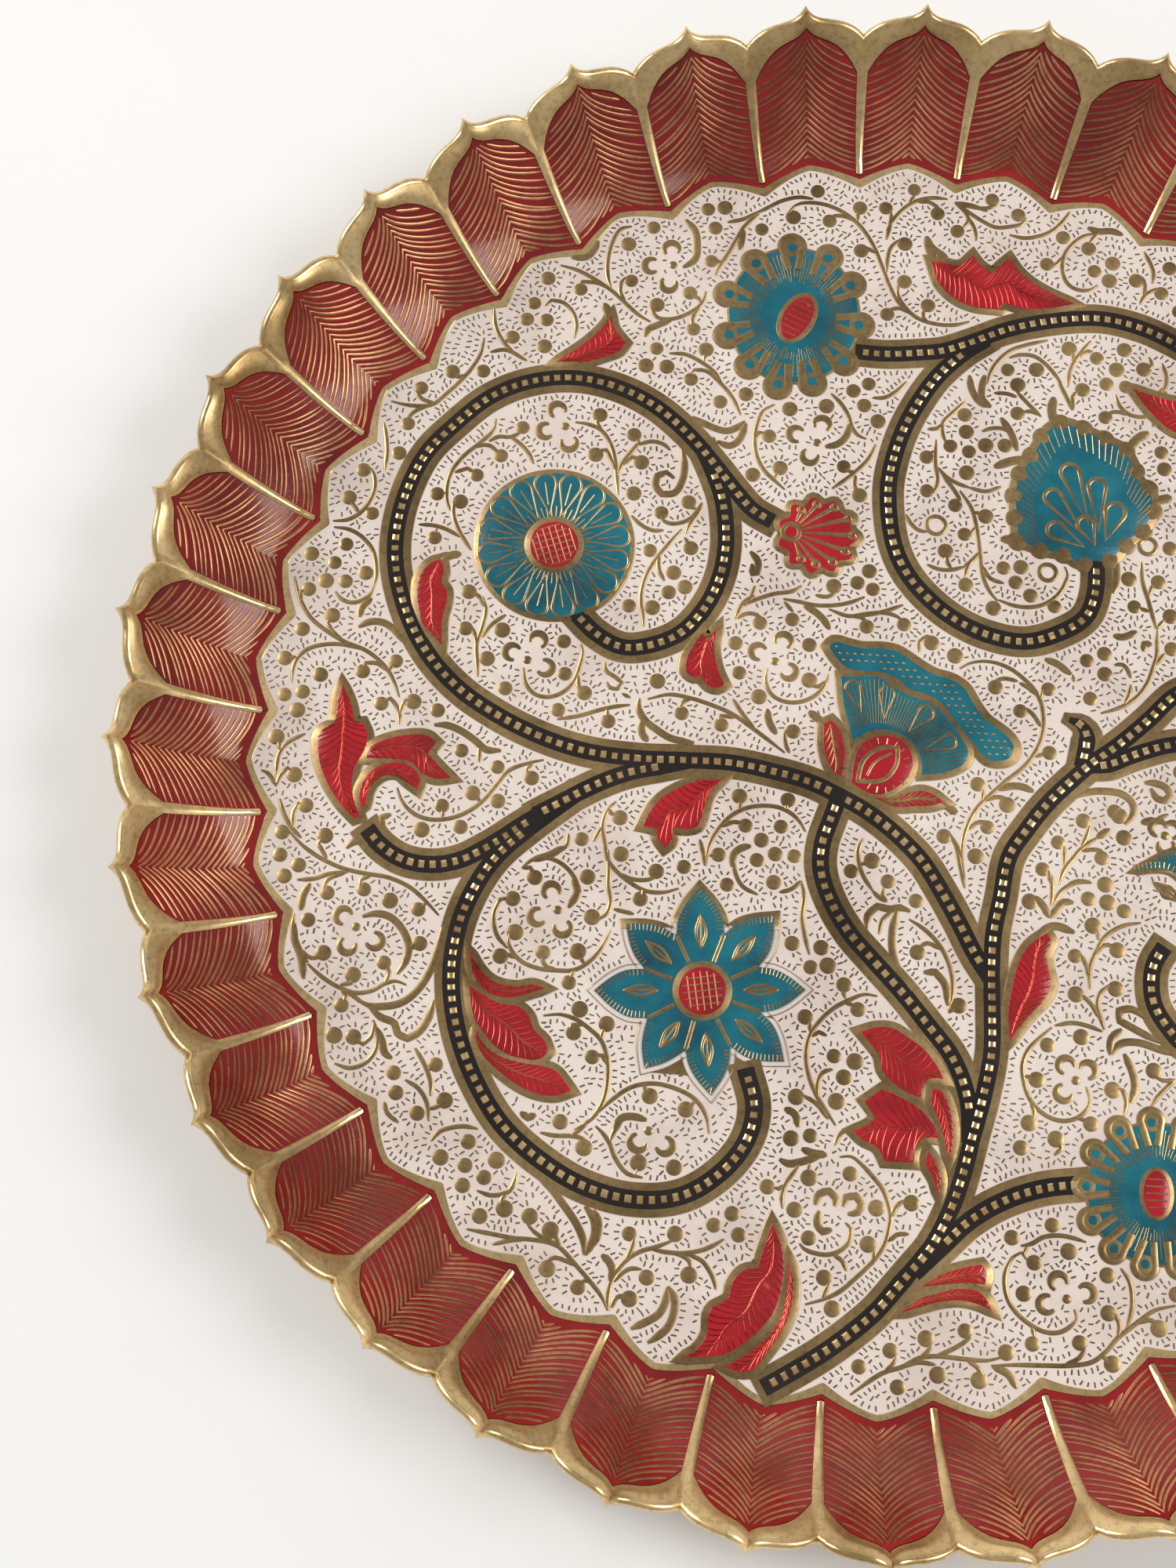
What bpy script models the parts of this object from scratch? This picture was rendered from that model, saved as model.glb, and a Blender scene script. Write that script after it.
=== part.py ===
"""Champleve tray: a brass plate with a rim of raised petals, and enamel in the cells cut into it.

The plate is one solid. Each filling of enamel is a solid of its own, held clear of its cell by GAP.
Lengths are in millimetres until a mesh is made. The floor's artwork is drawn in the plate's own
frame, with a petal's tip at +Y, for a floor of DRAWN_RADIUS, and scales as a whole with the floor.
"""
import math

import bmesh
import bpy
from mathutils import Vector
from mathutils.geometry import delaunay_2d_cdt, intersect_point_tri_2d

MM = 0.001

# Plate
TIP_RADIUS = 150.0        # rim, at a petal's tip
RIM_RISE = 22.7           # a petal's tip over the floor
RIM_LENGTH = 25.7         # radial length of the rim along a rib's line, to the tip circle
NOTCH_IN = 3.4            # a notch lies this far inside the tip circle
NOTCH_DROP = 6.0          # and this far below a tip
PETALS = 38
CREASE_IN = 3.9           # a petal's crease starts this far outside the ribs' inner ends
PROFILE_POWER = 1.4       # how late the rim turns up
FLOOR_THICKNESS = 2.2
LIP_THICKNESS = 1.7

# Cells and fillings
CELL_DEPTH = 1.0
RECESS = 0.1              # top of the enamel below the brass
GAP = 0.3                 # between a filling and its cell
RED_LINE = 1.2            # red round the inner end of each rib
GROUND_BORDER = 1.1       # brass between the red and the white ground, at a crease
GROUND_SCALLOP = 0.8      # more brass than that at a rib
RIB_INNER = 1.2           # widths of a rib
RIB_OUTER = 2.5
PANEL_TOP = 0.87          # where a panel ends along the rim's profile: at the crease, between, at a rib
PANEL_SHOULDER = 0.845
PANEL_SIDE = 0.73
SHOULDER_AT = 0.55        # column between the crease and a panel's side

# Artwork
DRAWN_RADIUS = 124.3
VINE_HALF = 1.8           # half width of a vine's cell
VINE_BORDER = 1.4         # brass along a vine
MOTIF_BORDER = 1.3        # brass round a flower or leaf
WALL = 0.9                # least brass between two coloured cells
VINE_STEP = 11.0          # spacing of a vine's sections
SMALLEST_CELL = 5.0       # square millimetres; smaller leftovers stay brass

FLOOR_RADIUS = TIP_RADIUS - RIM_LENGTH
SCALE = FLOOR_RADIUS / DRAWN_RADIUS
HALF_PETAL = math.pi / PETALS

BRASS = (0.50, 0.36, 0.15, 1.0)
WHITE = (0.72, 0.62, 0.58, 1.0)
TEAL = (0.005, 0.14, 0.19, 1.0)
RED = (0.38, 0.008, 0.014, 1.0)
BLACK = (0.008, 0.006, 0.005, 1.0)

# Vines: centre lines from root to tip
VINES = {
    "trunk": [(-21, -122.6), (-10, -115.6), (-0.7, -107.8), (6.1, -99.6), (12.6, -89), (16.6, -75),
              (20, -59), (19.8, -43), (21.4, -29), (26.4, -15), (34.8, -5), (43, 2), (50, 8.3),
              (61, 16), (71, 19.5), (81, 18.5), (91, 16.5), (100, 20), (105, 29), (104.5, 40),
              (99.5, 50)],
    "lower_right": [(39, -1.5), (46, 0.6), (55, 3.7), (64, 4), (74, 1.5), (84, -4), (92, -12), (96, -23),
                    (94, -35), (87, -45), (77, -52), (66, -56.5), (57, -55.5), (51, -48), (50.4, -43),
                    (53.4, -36.4)],
    "south_east": [(94.5, -34), (100, -44), (101, -55), (96, -63), (90, -67)],
    "stub": [(37.2, -3), (37.9, 3), (36.6, 6.8), (34.4, 7.8)],
    "parallel": [(-10.5, -11), (-13.4, -20.2), (-12.1, -30.1), (-2.9, -42.6), (8.2, -54.8),
                 (14.4, -64), (16.2, -76)],
    "upper": [(19.8, -45), (13.6, -34.7), (6.1, -22.7), (-4.3, -13.8), (-16.4, -8.1), (-31.8, -5.2),
              (-50, -5.4), (-69.8, -2), (-86.1, 6.6), (-97.7, 21.6), (-101.2, 38.6), (-96.4, 56),
              (-84.1, 69.1), (-67, 74.2), (-50.4, 68.9), (-37.9, 57.1), (-30.6, 48.2), (-25.6, 45.4)],
    "to_bars": [(-40.5, 60.5), (-36.2, 50.6), (-34.8, 39.5), (-38.4, 26.4), (-48.6, 18), (-60, 19.8),
                (-65, 25)],
    "spray_stem": [(-42, -6), (-54, -9.3), (-66, -16), (-78, -24.6), (-89, -29), (-98, -26.6),
                   (-102, -22.6)],
    "star_stem": [(-62, -13.4), (-76.4, -26.5), (-82.6, -39.6), (-83, -55), (-77.4, -70.2),
                  (-64.3, -84), (-46.3, -90.2), (-30, -83.9), (-24.6, -72), (-27.4, -62)],
    "south_aster_stem": [(6, -100.5), (16.1, -90.6), (27, -84.6), (40, -82)],
    "top": [(-12, 83.6), (-2, 83.4), (8.2, 84.9), (20.7, 90), (30.7, 93.1), (41.4, 94), (53.9, 90.4),
            (62, 86), (71, 79.5), (79, 71), (84, 62), (85, 52)],
    "to_palmette": [(17, 88), (7, 79), (0.4, 67), (-2.4, 55), (-1, 42), (5.7, 31.4), (18.9, 23.9),
                    (32.9, 25.6), (39.5, 34), (39.8, 42)],
}

# Flowers of free outline, anticlockwise or clockwise alike
FAN_BAND = [(-13.4, 19.8), (-9.5, 20.3), (0, 19.6), (8, 15.1), (13.6, 12.8), (17.9, 6.6), (23, 2.6),
            (22.8, -0.9), (18.4, -1.4), (12.4, 5.4), (6.4, 11), (0.4, 13.9), (-9.6, 15.5)]
FAN_RIBS = [(-10.8, 13.8), (-3, 13.2), (2.4, 10.6), (8.2, 7.4), (14.6, 0), (11.8, -4), (5.6, -5.4),
            (4.4, 0.2), (0, 3.1), (-5, 2.7), (-8, 0.4)]
FAN_DISC = [(-8, -7.6), (-7, -0.8), (-2.6, 1.8), (2.2, 0.4), (3.8, -3.4), (1.4, -7.6), (-3, -9.9),
            (-6.2, -9.1)]
FAN_PETAL_LEFT = [(-13.4, 4.3), (-11, 3.2), (-9.6, -2.6), (-9.9, -6.2), (-12, -5.4), (-13.9, 0)]
FAN_PETAL_RIGHT = [(-3, -11.1), (5.8, -8.6), (10, -10.6), (4.4, -11.8), (0.6, -12.1)]
PALMETTE = [(24, 44.4), (23.4, 54), (26.6, 62.4), (30.4, 69), (36, 69.6), (45, 65.4), (48.4, 58.6),
            (51.1, 54), (49, 48.2), (43, 42.2), (36.4, 41), (30, 42.6)]
EAST_FLOWER = [(54.2, -37.6), (47.4, -23), (48.4, -17.4), (54.4, -21), (59.2, -14.2), (63.6, -22.6),
               (69.7, -18.1), (69.6, -27), (76.4, -27), (70.4, -32.8), (76.9, -38.1), (66, -38.6)]
BUD = [(-22.6, 50.4), (-14.4, 50.5), (-10.8, 46.2), (-9.4, 41.6), (-15.2, 35.2), (-20.8, 34.9),
       (-23.6, 37), (-23.4, 44)]

# Leaves: one outline for each cell
LEAVES = {
    "leaf_north_west": [(-71.5, 77.6), (-66, 81.8), (-62, 86.2), (-60.6, 88.7), (-58.8, 84.3),
                        (-57.3, 82.4), (-61, 79.6), (-66, 78)],
    "leaf_north": [(5.2, 105), (11.2, 104.4), (13.9, 106.9), (18.2, 102.9), (21.6, 106.7),
                   (26.5, 101.3), (35.2, 97.1), (24, 95.4), (14, 95.2), (7, 100)],
    "leaf_west": [(-91.6, 33.4), (-91, 28.8), (-90, 24.5), (-90.3, 15.4), (-94.4, 19.6),
                  (-96.1, 26), (-95.2, 30.6)],
    "leaf_under_bars": [(-35.6, 22.6), (-35.9, 16), (-33.8, 10.7), (-37, 10.2), (-41.6, 12.6),
                        (-41.5, 16), (-38.6, 21.2)],
    "spray_upright": [(-109.3, 6.2), (-106.8, 1), (-103.4, -3.6), (-105.6, -11), (-104, -20.4),
                      (-109, -16.2), (-112.6, -9), (-112.8, -3.6), (-110, 0.6)],
    "spray_upper": [(-103.3, -8.4), (-99.6, -4.5), (-91.6, -3.3), (-90.4, -6.4), (-86.4, -11.5),
                    (-92.2, -10.9), (-95, -8.6), (-100, -7.9)],
    "spray_lower": [(-102.7, -18.4), (-103.2, -13.2), (-99, -10.4), (-95, -10.7), (-93, -13.8),
                    (-97, -12.4), (-101, -14)],
    "leaf_centre": [(-33.6, -8.8), (-41.4, -10.8), (-46.4, -14.6), (-48.5, -18.9), (-45.6, -19.6),
                    (-44.1, -23), (-42.4, -19.2), (-37.8, -18.3), (-36.1, -12.3)],
    "leaf_south_west_upper": [(-80.2, -45.6), (-77.3, -49.6), (-73, -51.6), (-65.4, -51.7),
                              (-70.7, -53.7), (-75.4, -53.4), (-79, -50)],
    "leaf_south_west_middle": [(-79.8, -52.2), (-75, -55.3), (-70.2, -55.6), (-67, -59.6),
                               (-64, -63.6), (-65.6, -65.2), (-70, -64.4), (-76, -60.4), (-79.4, -56)],
    "leaf_south_west_lower": [(-77.8, -61.2), (-73, -65.6), (-65, -66.8), (-61.4, -68.2),
                              (-59.4, -70.8), (-63, -72), (-69.3, -70.4), (-75.4, -66)],
    "leaf_south_upper": [(-5, -56.4), (1.1, -55.4), (7.1, -59), (10.6, -64), (7.4, -66),
                         (6.8, -68.3), (1.1, -65.4), (-1.3, -60.8)],
    "leaf_south_lower": [(-3.8, -69.4), (-0.6, -67.4), (6.4, -70.6), (9.8, -75.4), (5.6, -77.6),
                         (5.4, -80.4), (0.2, -80.4), (-5.8, -75.2), (-1.8, -72.6)],
    "leaf_south_edge": [(8.9, -66.8), (10.6, -66.8), (12.7, -72), (12.2, -79.4), (10.6, -72.4)],
    "leaf_south_foot": [(8.2, -78.6), (9.8, -80.2), (10.8, -83), (10.2, -86.6), (8.8, -82.8)],
    "leaf_trunk": [(23.4, -56.5), (23.2, -49), (25, -41.2), (30.2, -35.3), (30.4, -40.6),
                   (31.2, -45.2), (27.8, -50.6)],
    "leaf_root_left": [(-20.4, -93), (-18, -99.5), (-18.4, -105.6), (-21.9, -112.2), (-28.4, -117.1),
                       (-34.4, -117.4), (-31.7, -112.6), (-27.8, -105.2), (-22.9, -101.3)],
    "leaf_root_edge": [(-17, -99.4), (-16.1, -106.4), (-18.6, -113.5), (-23.2, -119.2),
                       (-27.2, -119), (-21.4, -114.4), (-17.4, -107.4)],
    "leaf_root_right_upper": [(7.6, -102.7), (13, -99.8), (18.6, -98.2), (19.4, -101.2), (13, -101.7)],
    "leaf_root_right_lower": [(3.8, -107.8), (9, -104.6), (15, -103.2), (19.4, -104.1),
                              (20.7, -106.4), (14, -105.1)],
}
# Leaves on the right repeat the shapes of others: source, centre, turn in degrees, mirrored
REPEATED_LEAVES = {
    "leaf_north_east": ("leaf_north", (63, 71), -40, True),
    "leaf_far_north_east": ("leaf_north_west", (94.7, 57.3), -35, True),
    "leaf_east": ("leaf_west", (105, -17), -45, True),
    "leaf_east_inner": ("leaf_centre", (84, -19), 90, False),
    "leaf_south_east": ("leaf_under_bars", (68, -65), 150, False),
    "leaf_east_upper": ("leaf_trunk", (101.3, 5.4), -117, False),
}


def ellipse(centre, half_width, half_height, points, turn=0.0, wave=0.0, lobes=0):
    """Closed outline; with lobes, its radius swings by the wave as a share."""
    tilt = math.radians(turn)
    outline = []
    for i in range(points):
        angle = 2 * math.pi * i / points
        swing = 1 + wave * math.cos(lobes * angle)
        x = half_width * swing * math.cos(angle)
        y = half_height * swing * math.sin(angle)
        outline.append((centre[0] + x * math.cos(tilt) - y * math.sin(tilt),
                        centre[1] + x * math.sin(tilt) + y * math.cos(tilt)))
    return outline


def star(centre, tip, valley, points, first):
    """Pointed petals; first is the angle of the first tip in degrees."""
    outline = []
    for i in range(2 * points):
        angle = math.radians(first) + math.pi * i / points
        radius = valley if i % 2 else tip
        outline.append((centre[0] + radius * math.cos(angle), centre[1] + radius * math.sin(angle)))
    return outline


def repeated(source, centre, turn, mirrored):
    """An outline again, about another centre."""
    middle_x = sum(x for x, _ in source) / len(source)
    middle_y = sum(y for _, y in source) / len(source)
    angle = math.radians(turn)
    outline = []
    for x, y in source:
        x = middle_x - x if mirrored else x - middle_x
        y -= middle_y
        outline.append((centre[0] + x * math.cos(angle) - y * math.sin(angle),
                        centre[1] + x * math.sin(angle) + y * math.cos(angle)))
    return outline


FLOWERS = {
    "aster_north": ellipse((-23.2, 90.9), 13.6, 15.4, 22, 0, 0.05, 11),
    "aster_bars": ellipse((-69.2, 37.9), 14.6, 14.6, 24),
    "aster_south": ellipse((51.2, -83.4), 12.8, 13.2, 20),
    "star_flower": star((-35.6, -50.3), 20.4, 12.0, 8, 2.0),
    "palmette": PALMETTE,
    "fan_band": FAN_BAND,
    "fan_ribs": FAN_RIBS,
    "east_flower": EAST_FLOWER,
    "aster_north_east": ellipse((84, 38), 13.6, 13.6, 20),
    "aster_south_east": ellipse((81, -71), 10.4, 10.4, 16),
}
RED_FLOWERS = {
    "fan_disc": FAN_DISC,
    "fan_petal_left": FAN_PETAL_LEFT,
    "fan_petal_right": FAN_PETAL_RIGHT,
    "bud": BUD,
}
CENTRES = {
    "aster_north_centre": ellipse((-22.2, 90.4), 5.4, 3.0, 12, 66),
    "aster_bars_centre": ellipse((-69.3, 37.8), 4.8, 4.8, 12),
    "aster_south_centre": ellipse((51.4, -83.5), 2.5, 4.3, 12),
    "star_flower_centre": ellipse((-35.5, -50.3), 4.6, 4.6, 12),
    "aster_north_east_centre": ellipse((84, 38), 4.6, 4.6, 12),
    "aster_south_east_centre": ellipse((81, -71), 3.2, 3.2, 10),
}


# Plane geometry

def scaled(outline):
    return [(x * SCALE, y * SCALE) for x, y in outline]


def area_of(outline):
    total = 0.0
    for (x0, y0), (x1, y1) in zip(outline, outline[1:] + outline[:1]):
        total += x0 * y1 - x1 * y0
    return total / 2


def grown(outline, distance):
    """The outline moved outwards; a sharp point moves at most twice the distance."""
    if area_of(outline) < 0:
        outline = outline[::-1]
    count = len(outline)
    moved = []
    for i, point in enumerate(outline):
        here = Vector(point)
        before = (here - Vector(outline[i - 1])).normalized()
        after = (Vector(outline[(i + 1) % count]) - here).normalized()
        side = Vector((before.y, -before.x)) + Vector((after.y, -after.x))
        side.normalize()
        slant = max(0.5, side.dot(Vector((before.y, -before.x))))
        here += side * (distance / slant)
        moved.append((here.x, here.y))
    return moved


def smooth(points, step):
    """Points about a step apart on a smooth curve through the given ones."""
    knots = [Vector(p) for p in points]
    knots = [2 * knots[0] - knots[1]] + knots + [2 * knots[-1] - knots[-2]]
    curve = []
    for a, b, c, d in zip(knots, knots[1:], knots[2:], knots[3:]):
        pieces = max(1, round((c - b).length / step))
        for i in range(pieces):
            t = i / pieces
            curve.append(0.5 * (2 * b + (c - a) * t + (2 * a - 5 * b + 4 * c - d) * t * t
                                + (3 * b - a - 3 * c + d) * t * t * t))
    curve.append(knots[-2])
    return curve


def stroke(points, half_width):
    """Outline of a band along a curve, with pointed round ends."""
    left = []
    right = []
    last = len(points) - 1
    for i, point in enumerate(points):
        along = (points[min(i + 1, last)] - points[max(i - 1, 0)]).normalized()
        side = Vector((-along.y, along.x)) * half_width
        left.append(point + side)
        right.append(point - side)
    start = points[0] - (points[1] - points[0]).normalized() * half_width * 0.6
    end = points[-1] + (points[-1] - points[-2]).normalized() * half_width * 0.6
    return [tuple(p) for p in [start] + right + [end] + left[::-1]]


# The rim's surface

def outline_share(s):
    """Height of the rim's outline, from 1 at a tip (s = 0) to 0 at a notch (s = 1)."""
    return 0.52 * (1 - s ** 4) + 0.48 * math.exp(-s / 0.12)


def profile(s, v):
    """Radius and height over the floor at share s from crease to rib and v from floor to rim."""
    share = (1 - v * v) * (1 - s ** 1.25) + v * v * outline_share(s)
    start = FLOOR_RADIUS + CREASE_IN * share
    end = TIP_RADIUS - NOTCH_IN * (1 - share)
    height = (RIM_RISE - NOTCH_DROP * (1 - share)) * v ** PROFILE_POWER
    return start + (end - start) * v, height


def wall_point(s, v, depth):
    """Radius and height of the point this far under the rim's surface, square to its profile."""
    radius, height = profile(s, v)
    if v <= 0:
        return radius, height - depth
    low = profile(s, v - 0.01)
    high = profile(s, min(1.0, v + 0.01))
    slope = math.atan2(high[1] - low[1], high[0] - low[0])
    return radius + depth * math.sin(slope), height - depth * math.cos(slope)


COLUMNS = (0.0, SHOULDER_AT, 1.0, None, -1.0, -SHOULDER_AT)
PANEL_ENDS = {0.0: PANEL_TOP, SHOULDER_AT: PANEL_SHOULDER, 1.0: PANEL_SIDE, None: PANEL_SIDE}


def panel_end(column):
    return PANEL_ENDS[abs(column) if column is not None else None]


def rim_place(petal, column, v, clear):
    """Share from the crease, and angle, of a column; None is the middle of a rib."""
    crease = math.pi / 2 + 2 * HALF_PETAL * petal
    if column is None:
        return 1.0, crease + HALF_PETAL
    half_rib = (RIB_INNER + (RIB_OUTER - RIB_INNER) * max(0.0, v)) / 2 + clear
    edge = 1 - half_rib / (profile(1.0, max(0.0, v))[0] * HALF_PETAL)
    s = abs(column) * edge
    if column < 0:
        return s, crease + (2 - s) * HALF_PETAL
    return s, crease + s * HALF_PETAL


def polar(radius, angle, height):
    return (radius * math.cos(angle), radius * math.sin(angle), height)


def rim_row(v_of, depth, clear=0.0, inwards=0.0, columns=COLUMNS):
    """A ring of points: v for each column, depth under the surface, and a step towards the middle."""
    row = []
    for petal in range(PETALS):
        for column in columns:
            v = v_of(column)
            s, angle = rim_place(petal, column, v, clear)
            radius, height = wall_point(s, v, depth)
            row.append(polar(radius - inwards, angle, height))
    return row


def ground_outline(clear):
    """Scalloped edge of the white ground."""
    outline = []
    for petal in range(PETALS):
        for s in (0.0, 0.5, 1.0, 1.5):
            share = min(s, 2 - s)
            radius = profile(share, 0)[0] - RED_LINE - GROUND_BORDER - GROUND_SCALLOP * share ** 2
            angle = math.pi / 2 + (2 * petal + s) * HALF_PETAL
            outline.append(polar(radius - clear, angle, 0)[:2])
    return outline


# Cells of the floor

def arrangement(clear):
    """Labelled triangles of the floor, with every cell smaller all round by clear."""
    shapes = []
    for name, outline in CENTRES.items():
        shapes.append((("cell", 0, name), grown(scaled(outline), -clear)))
        shapes.append((("wall", 0, name), grown(scaled(outline), (WALL + clear))))
    for name, outline in {**FLOWERS, **RED_FLOWERS}.items():
        shapes.append((("cell", 1, name), grown(scaled(outline), -clear)))
        shapes.append((("wall", 1, name), grown(scaled(outline), MOTIF_BORDER + clear)))
    for name, points in VINES.items():
        line = smooth([Vector(p) * SCALE for p in points], VINE_STEP * SCALE)
        shapes.append((("cell", 2, "vine"), stroke(line, VINE_HALF - clear)))
        shapes.append((("wall", 2, name), stroke(line, VINE_HALF + WALL + clear)))
        shapes.append((("wall", 4, name), stroke(line, VINE_HALF + VINE_BORDER + clear)))
    for name, outline in leaf_outlines().items():
        shapes.append((("cell", 3, name), grown(scaled(outline), -clear)))
        shapes.append((("wall", 4, name), grown(scaled(outline), MOTIF_BORDER + clear)))
    shapes.append((("cell", 5, "ground"), ground_outline(clear)))
    points = []
    faces = []
    for _, outline in shapes:
        if area_of(outline) < 0:
            outline = outline[::-1]
        faces.append(list(range(len(points), len(points) + len(outline))))
        points += [Vector(p) for p in outline]
    found = delaunay_2d_cdt(points, [], faces, 0, 1e-3)
    spots = found[0]
    triangles = []
    labels = []
    for face, origins in zip(found[2], found[5]):
        inside = {shapes[i][0] for i in origins}
        triangles.append(face)
        labels.append(label_of(inside))
    drop_small(spots, triangles, labels)
    return spots, triangles, labels


def leaf_outlines():
    leaves = dict(LEAVES)
    for name, (source, centre, turn, mirrored) in REPEATED_LEAVES.items():
        leaves[name] = repeated(LEAVES[source], centre, turn, mirrored)
    return leaves


def label_of(inside):
    """The first level that claims a place decides: a cell's name, or None for brass."""
    if ("cell", 5, "ground") not in inside:
        return None
    for level in range(6):
        names = [name for kind, at, name in inside if kind == "cell" and at == level]
        if names:
            return min(names)
        if any(kind == "wall" and at == level for kind, at, _ in inside):
            return None
    return None


def corners(spots, face):
    return [spots[i] for i in face]


def face_area(spots, face):
    a, b, c = corners(spots, face)
    return abs((b - a).cross(c - a)) / 2


def components(triangles, labels):
    """Groups of neighbouring triangles with one label."""
    at_edge = {}
    for i, face in enumerate(triangles):
        for a, b in zip(face, face[1:] + face[:1]):
            at_edge.setdefault((min(a, b), max(a, b)), []).append(i)
    neighbours = [[] for _ in triangles]
    for pair in at_edge.values():
        if len(pair) == 2 and labels[pair[0]] == labels[pair[1]]:
            neighbours[pair[0]].append(pair[1])
            neighbours[pair[1]].append(pair[0])
    seen = set()
    groups = []
    for first in range(len(triangles)):
        if first in seen:
            continue
        seen.add(first)
        group = [first]
        for i in group:
            for j in neighbours[i]:
                if j not in seen:
                    seen.add(j)
                    group.append(j)
        groups.append(group)
    return groups


def drop_small(spots, triangles, labels):
    for group in components(triangles, labels):
        if labels[group[0]] is None:
            continue
        if sum(face_area(spots, triangles[i]) for i in group) < SMALLEST_CELL * SCALE ** 2:
            for i in group:
                labels[i] = None


def borders(triangles, labels, chosen):
    """Directed edges that have a chosen label on their left and another on their right."""
    owner = {}
    for face, label in zip(triangles, labels):
        for a, b in zip(face, face[1:] + face[:1]):
            owner[(a, b)] = label
    return [(a, b) for (a, b), label in owner.items()
            if chosen(label) and owner.get((b, a), "outside") != label]


def counter_clockwise(spots, triangles):
    result = []
    for face in triangles:
        a, b, c = corners(spots, face)
        result.append(list(face) if (b - a).cross(c - a) > 0 else list(face)[::-1])
    return result


def retriangulated(spots, edges):
    """Triangles that use only the corners of the given edges."""
    used = sorted({i for edge in edges for i in edge})
    renumber = {old: new for new, old in enumerate(used)}
    points = [spots[i] for i in used]
    pairs = [(renumber[a], renumber[b]) for a, b in edges]
    found = delaunay_2d_cdt(points, pairs, [], 0, 1e-5)
    origin = [ids[0] if ids else None for ids in found[3]]
    return found[0], counter_clockwise(found[0], found[2]), pairs, origin


def spread_labels(triangles, known):
    """Gives each triangle the label known on its edges, and passes it on to its neighbours."""
    owner = {}
    for i, face in enumerate(triangles):
        for a, b in zip(face, face[1:] + face[:1]):
            owner[(a, b)] = i
    labels = ["unset"] * len(triangles)
    queue = []
    for edge, label in known.items():
        if edge in owner and labels[owner[edge]] == "unset":
            labels[owner[edge]] = label
            queue.append(owner[edge])
    for i in queue:
        face = triangles[i]
        for a, b in zip(face, face[1:] + face[:1]):
            j = owner.get((b, a))
            if j is not None and labels[j] == "unset" and (a, b) not in known and (b, a) not in known:
                labels[j] = labels[i]
                queue.append(j)
    return labels


# Meshes

def material(name, colour, roughness, metallic=0.0):
    made = bpy.data.materials.new(name)
    made.use_nodes = True
    shader = made.node_tree.nodes["Principled BSDF"]
    shader.inputs["Base Color"].default_value = colour
    shader.inputs["Roughness"].default_value = roughness
    shader.inputs["Metallic"].default_value = metallic
    made.diffuse_color = colour
    return made


def solid(name, points, faces, finish):
    """A closed mesh object from points in millimetres over the floor's surface."""
    mesh = bpy.data.meshes.new(name)
    mesh.from_pydata([(x * MM, y * MM, (z + FLOOR_THICKNESS) * MM) for x, y, z in points], [], faces)
    shape = bmesh.new()
    shape.from_mesh(mesh)
    bmesh.ops.triangulate(shape, faces=shape.faces[:])
    bmesh.ops.recalc_face_normals(shape, faces=shape.faces[:])
    loose = [v for v in shape.verts if not v.link_faces]
    bmesh.ops.delete(shape, geom=loose, context="VERTS")
    shape.to_mesh(mesh)
    shape.free()
    mesh.shade_smooth()
    mesh.set_sharp_from_angle(angle=math.radians(35))
    piece = bpy.data.objects.new(name, mesh)
    bpy.context.scene.collection.objects.link(piece)
    piece.data.materials.append(finish)
    return piece


def prism(name, spots, edges, finish):
    """A filling: the region left of the edges, from the cell's clearance up to the recess."""
    flat, triangles, _, origin = retriangulated(spots, edges)
    used = sorted({i for edge in edges for i in edge})
    number = {used[old]: new for new, old in enumerate(origin) if old is not None}
    known = {}
    for a, b in edges:
        known[(number[a], number[b])] = True
        known[(number[b], number[a])] = False
    inside = spread_labels(triangles, known)
    count = len(flat)
    points = [(p.x, p.y, -RECESS) for p in flat]
    points += [(p.x, p.y, GAP - CELL_DEPTH) for p in flat]
    faces = []
    for face, held in zip(triangles, inside):
        if held is True:
            faces.append(face)
            faces.append([i + count for i in reversed(face)])
    for a, b in edges:
        a, b = number[a], number[b]
        faces.append([b, a, a + count, b + count])
    return solid(name, points, faces, finish)


class Skin:
    """Points and faces of the plate, gathered row by row."""

    def __init__(self):
        self.points = []
        self.faces = []

    def add(self, points):
        first = len(self.points)
        self.points += points
        return list(range(first, len(self.points)))

    def band(self, lower, upper, keep=lambda column: True):
        """Quads between two rings, over the columns that are kept."""
        count = len(lower)
        for i in range(count):
            if keep(i % len(COLUMNS)):
                j = (i + 1) % count
                self.faces.append([lower[i], lower[j], upper[j], upper[i]])


RIB_SPANS = (2, 3)        # columns whose next span lies on a rib
PANEL_SHARES = (0.0, 0.5, 1.0)   # rows along a panel, as shares of its length


def on_rib(column):
    return column in RIB_SPANS


def on_panel(column):
    return column not in RIB_SPANS


def holds(spots, triangles, group, middle):
    """Whether a point lies in a group of triangles."""
    return any(intersect_point_tri_2d(middle, *corners(spots, triangles[i])) for i in group)


def middles_of_fillings():
    """A point inside each filling: in its largest triangle."""
    spots, triangles, labels = arrangement(GAP)
    middles = []
    for group in components(triangles, labels):
        if labels[group[0]] is not None:
            widest = max(group, key=lambda i: face_area(spots, triangles[i]))
            middles.append(sum(corners(spots, triangles[widest]), Vector((0, 0))) / 3)
    return middles


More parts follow.
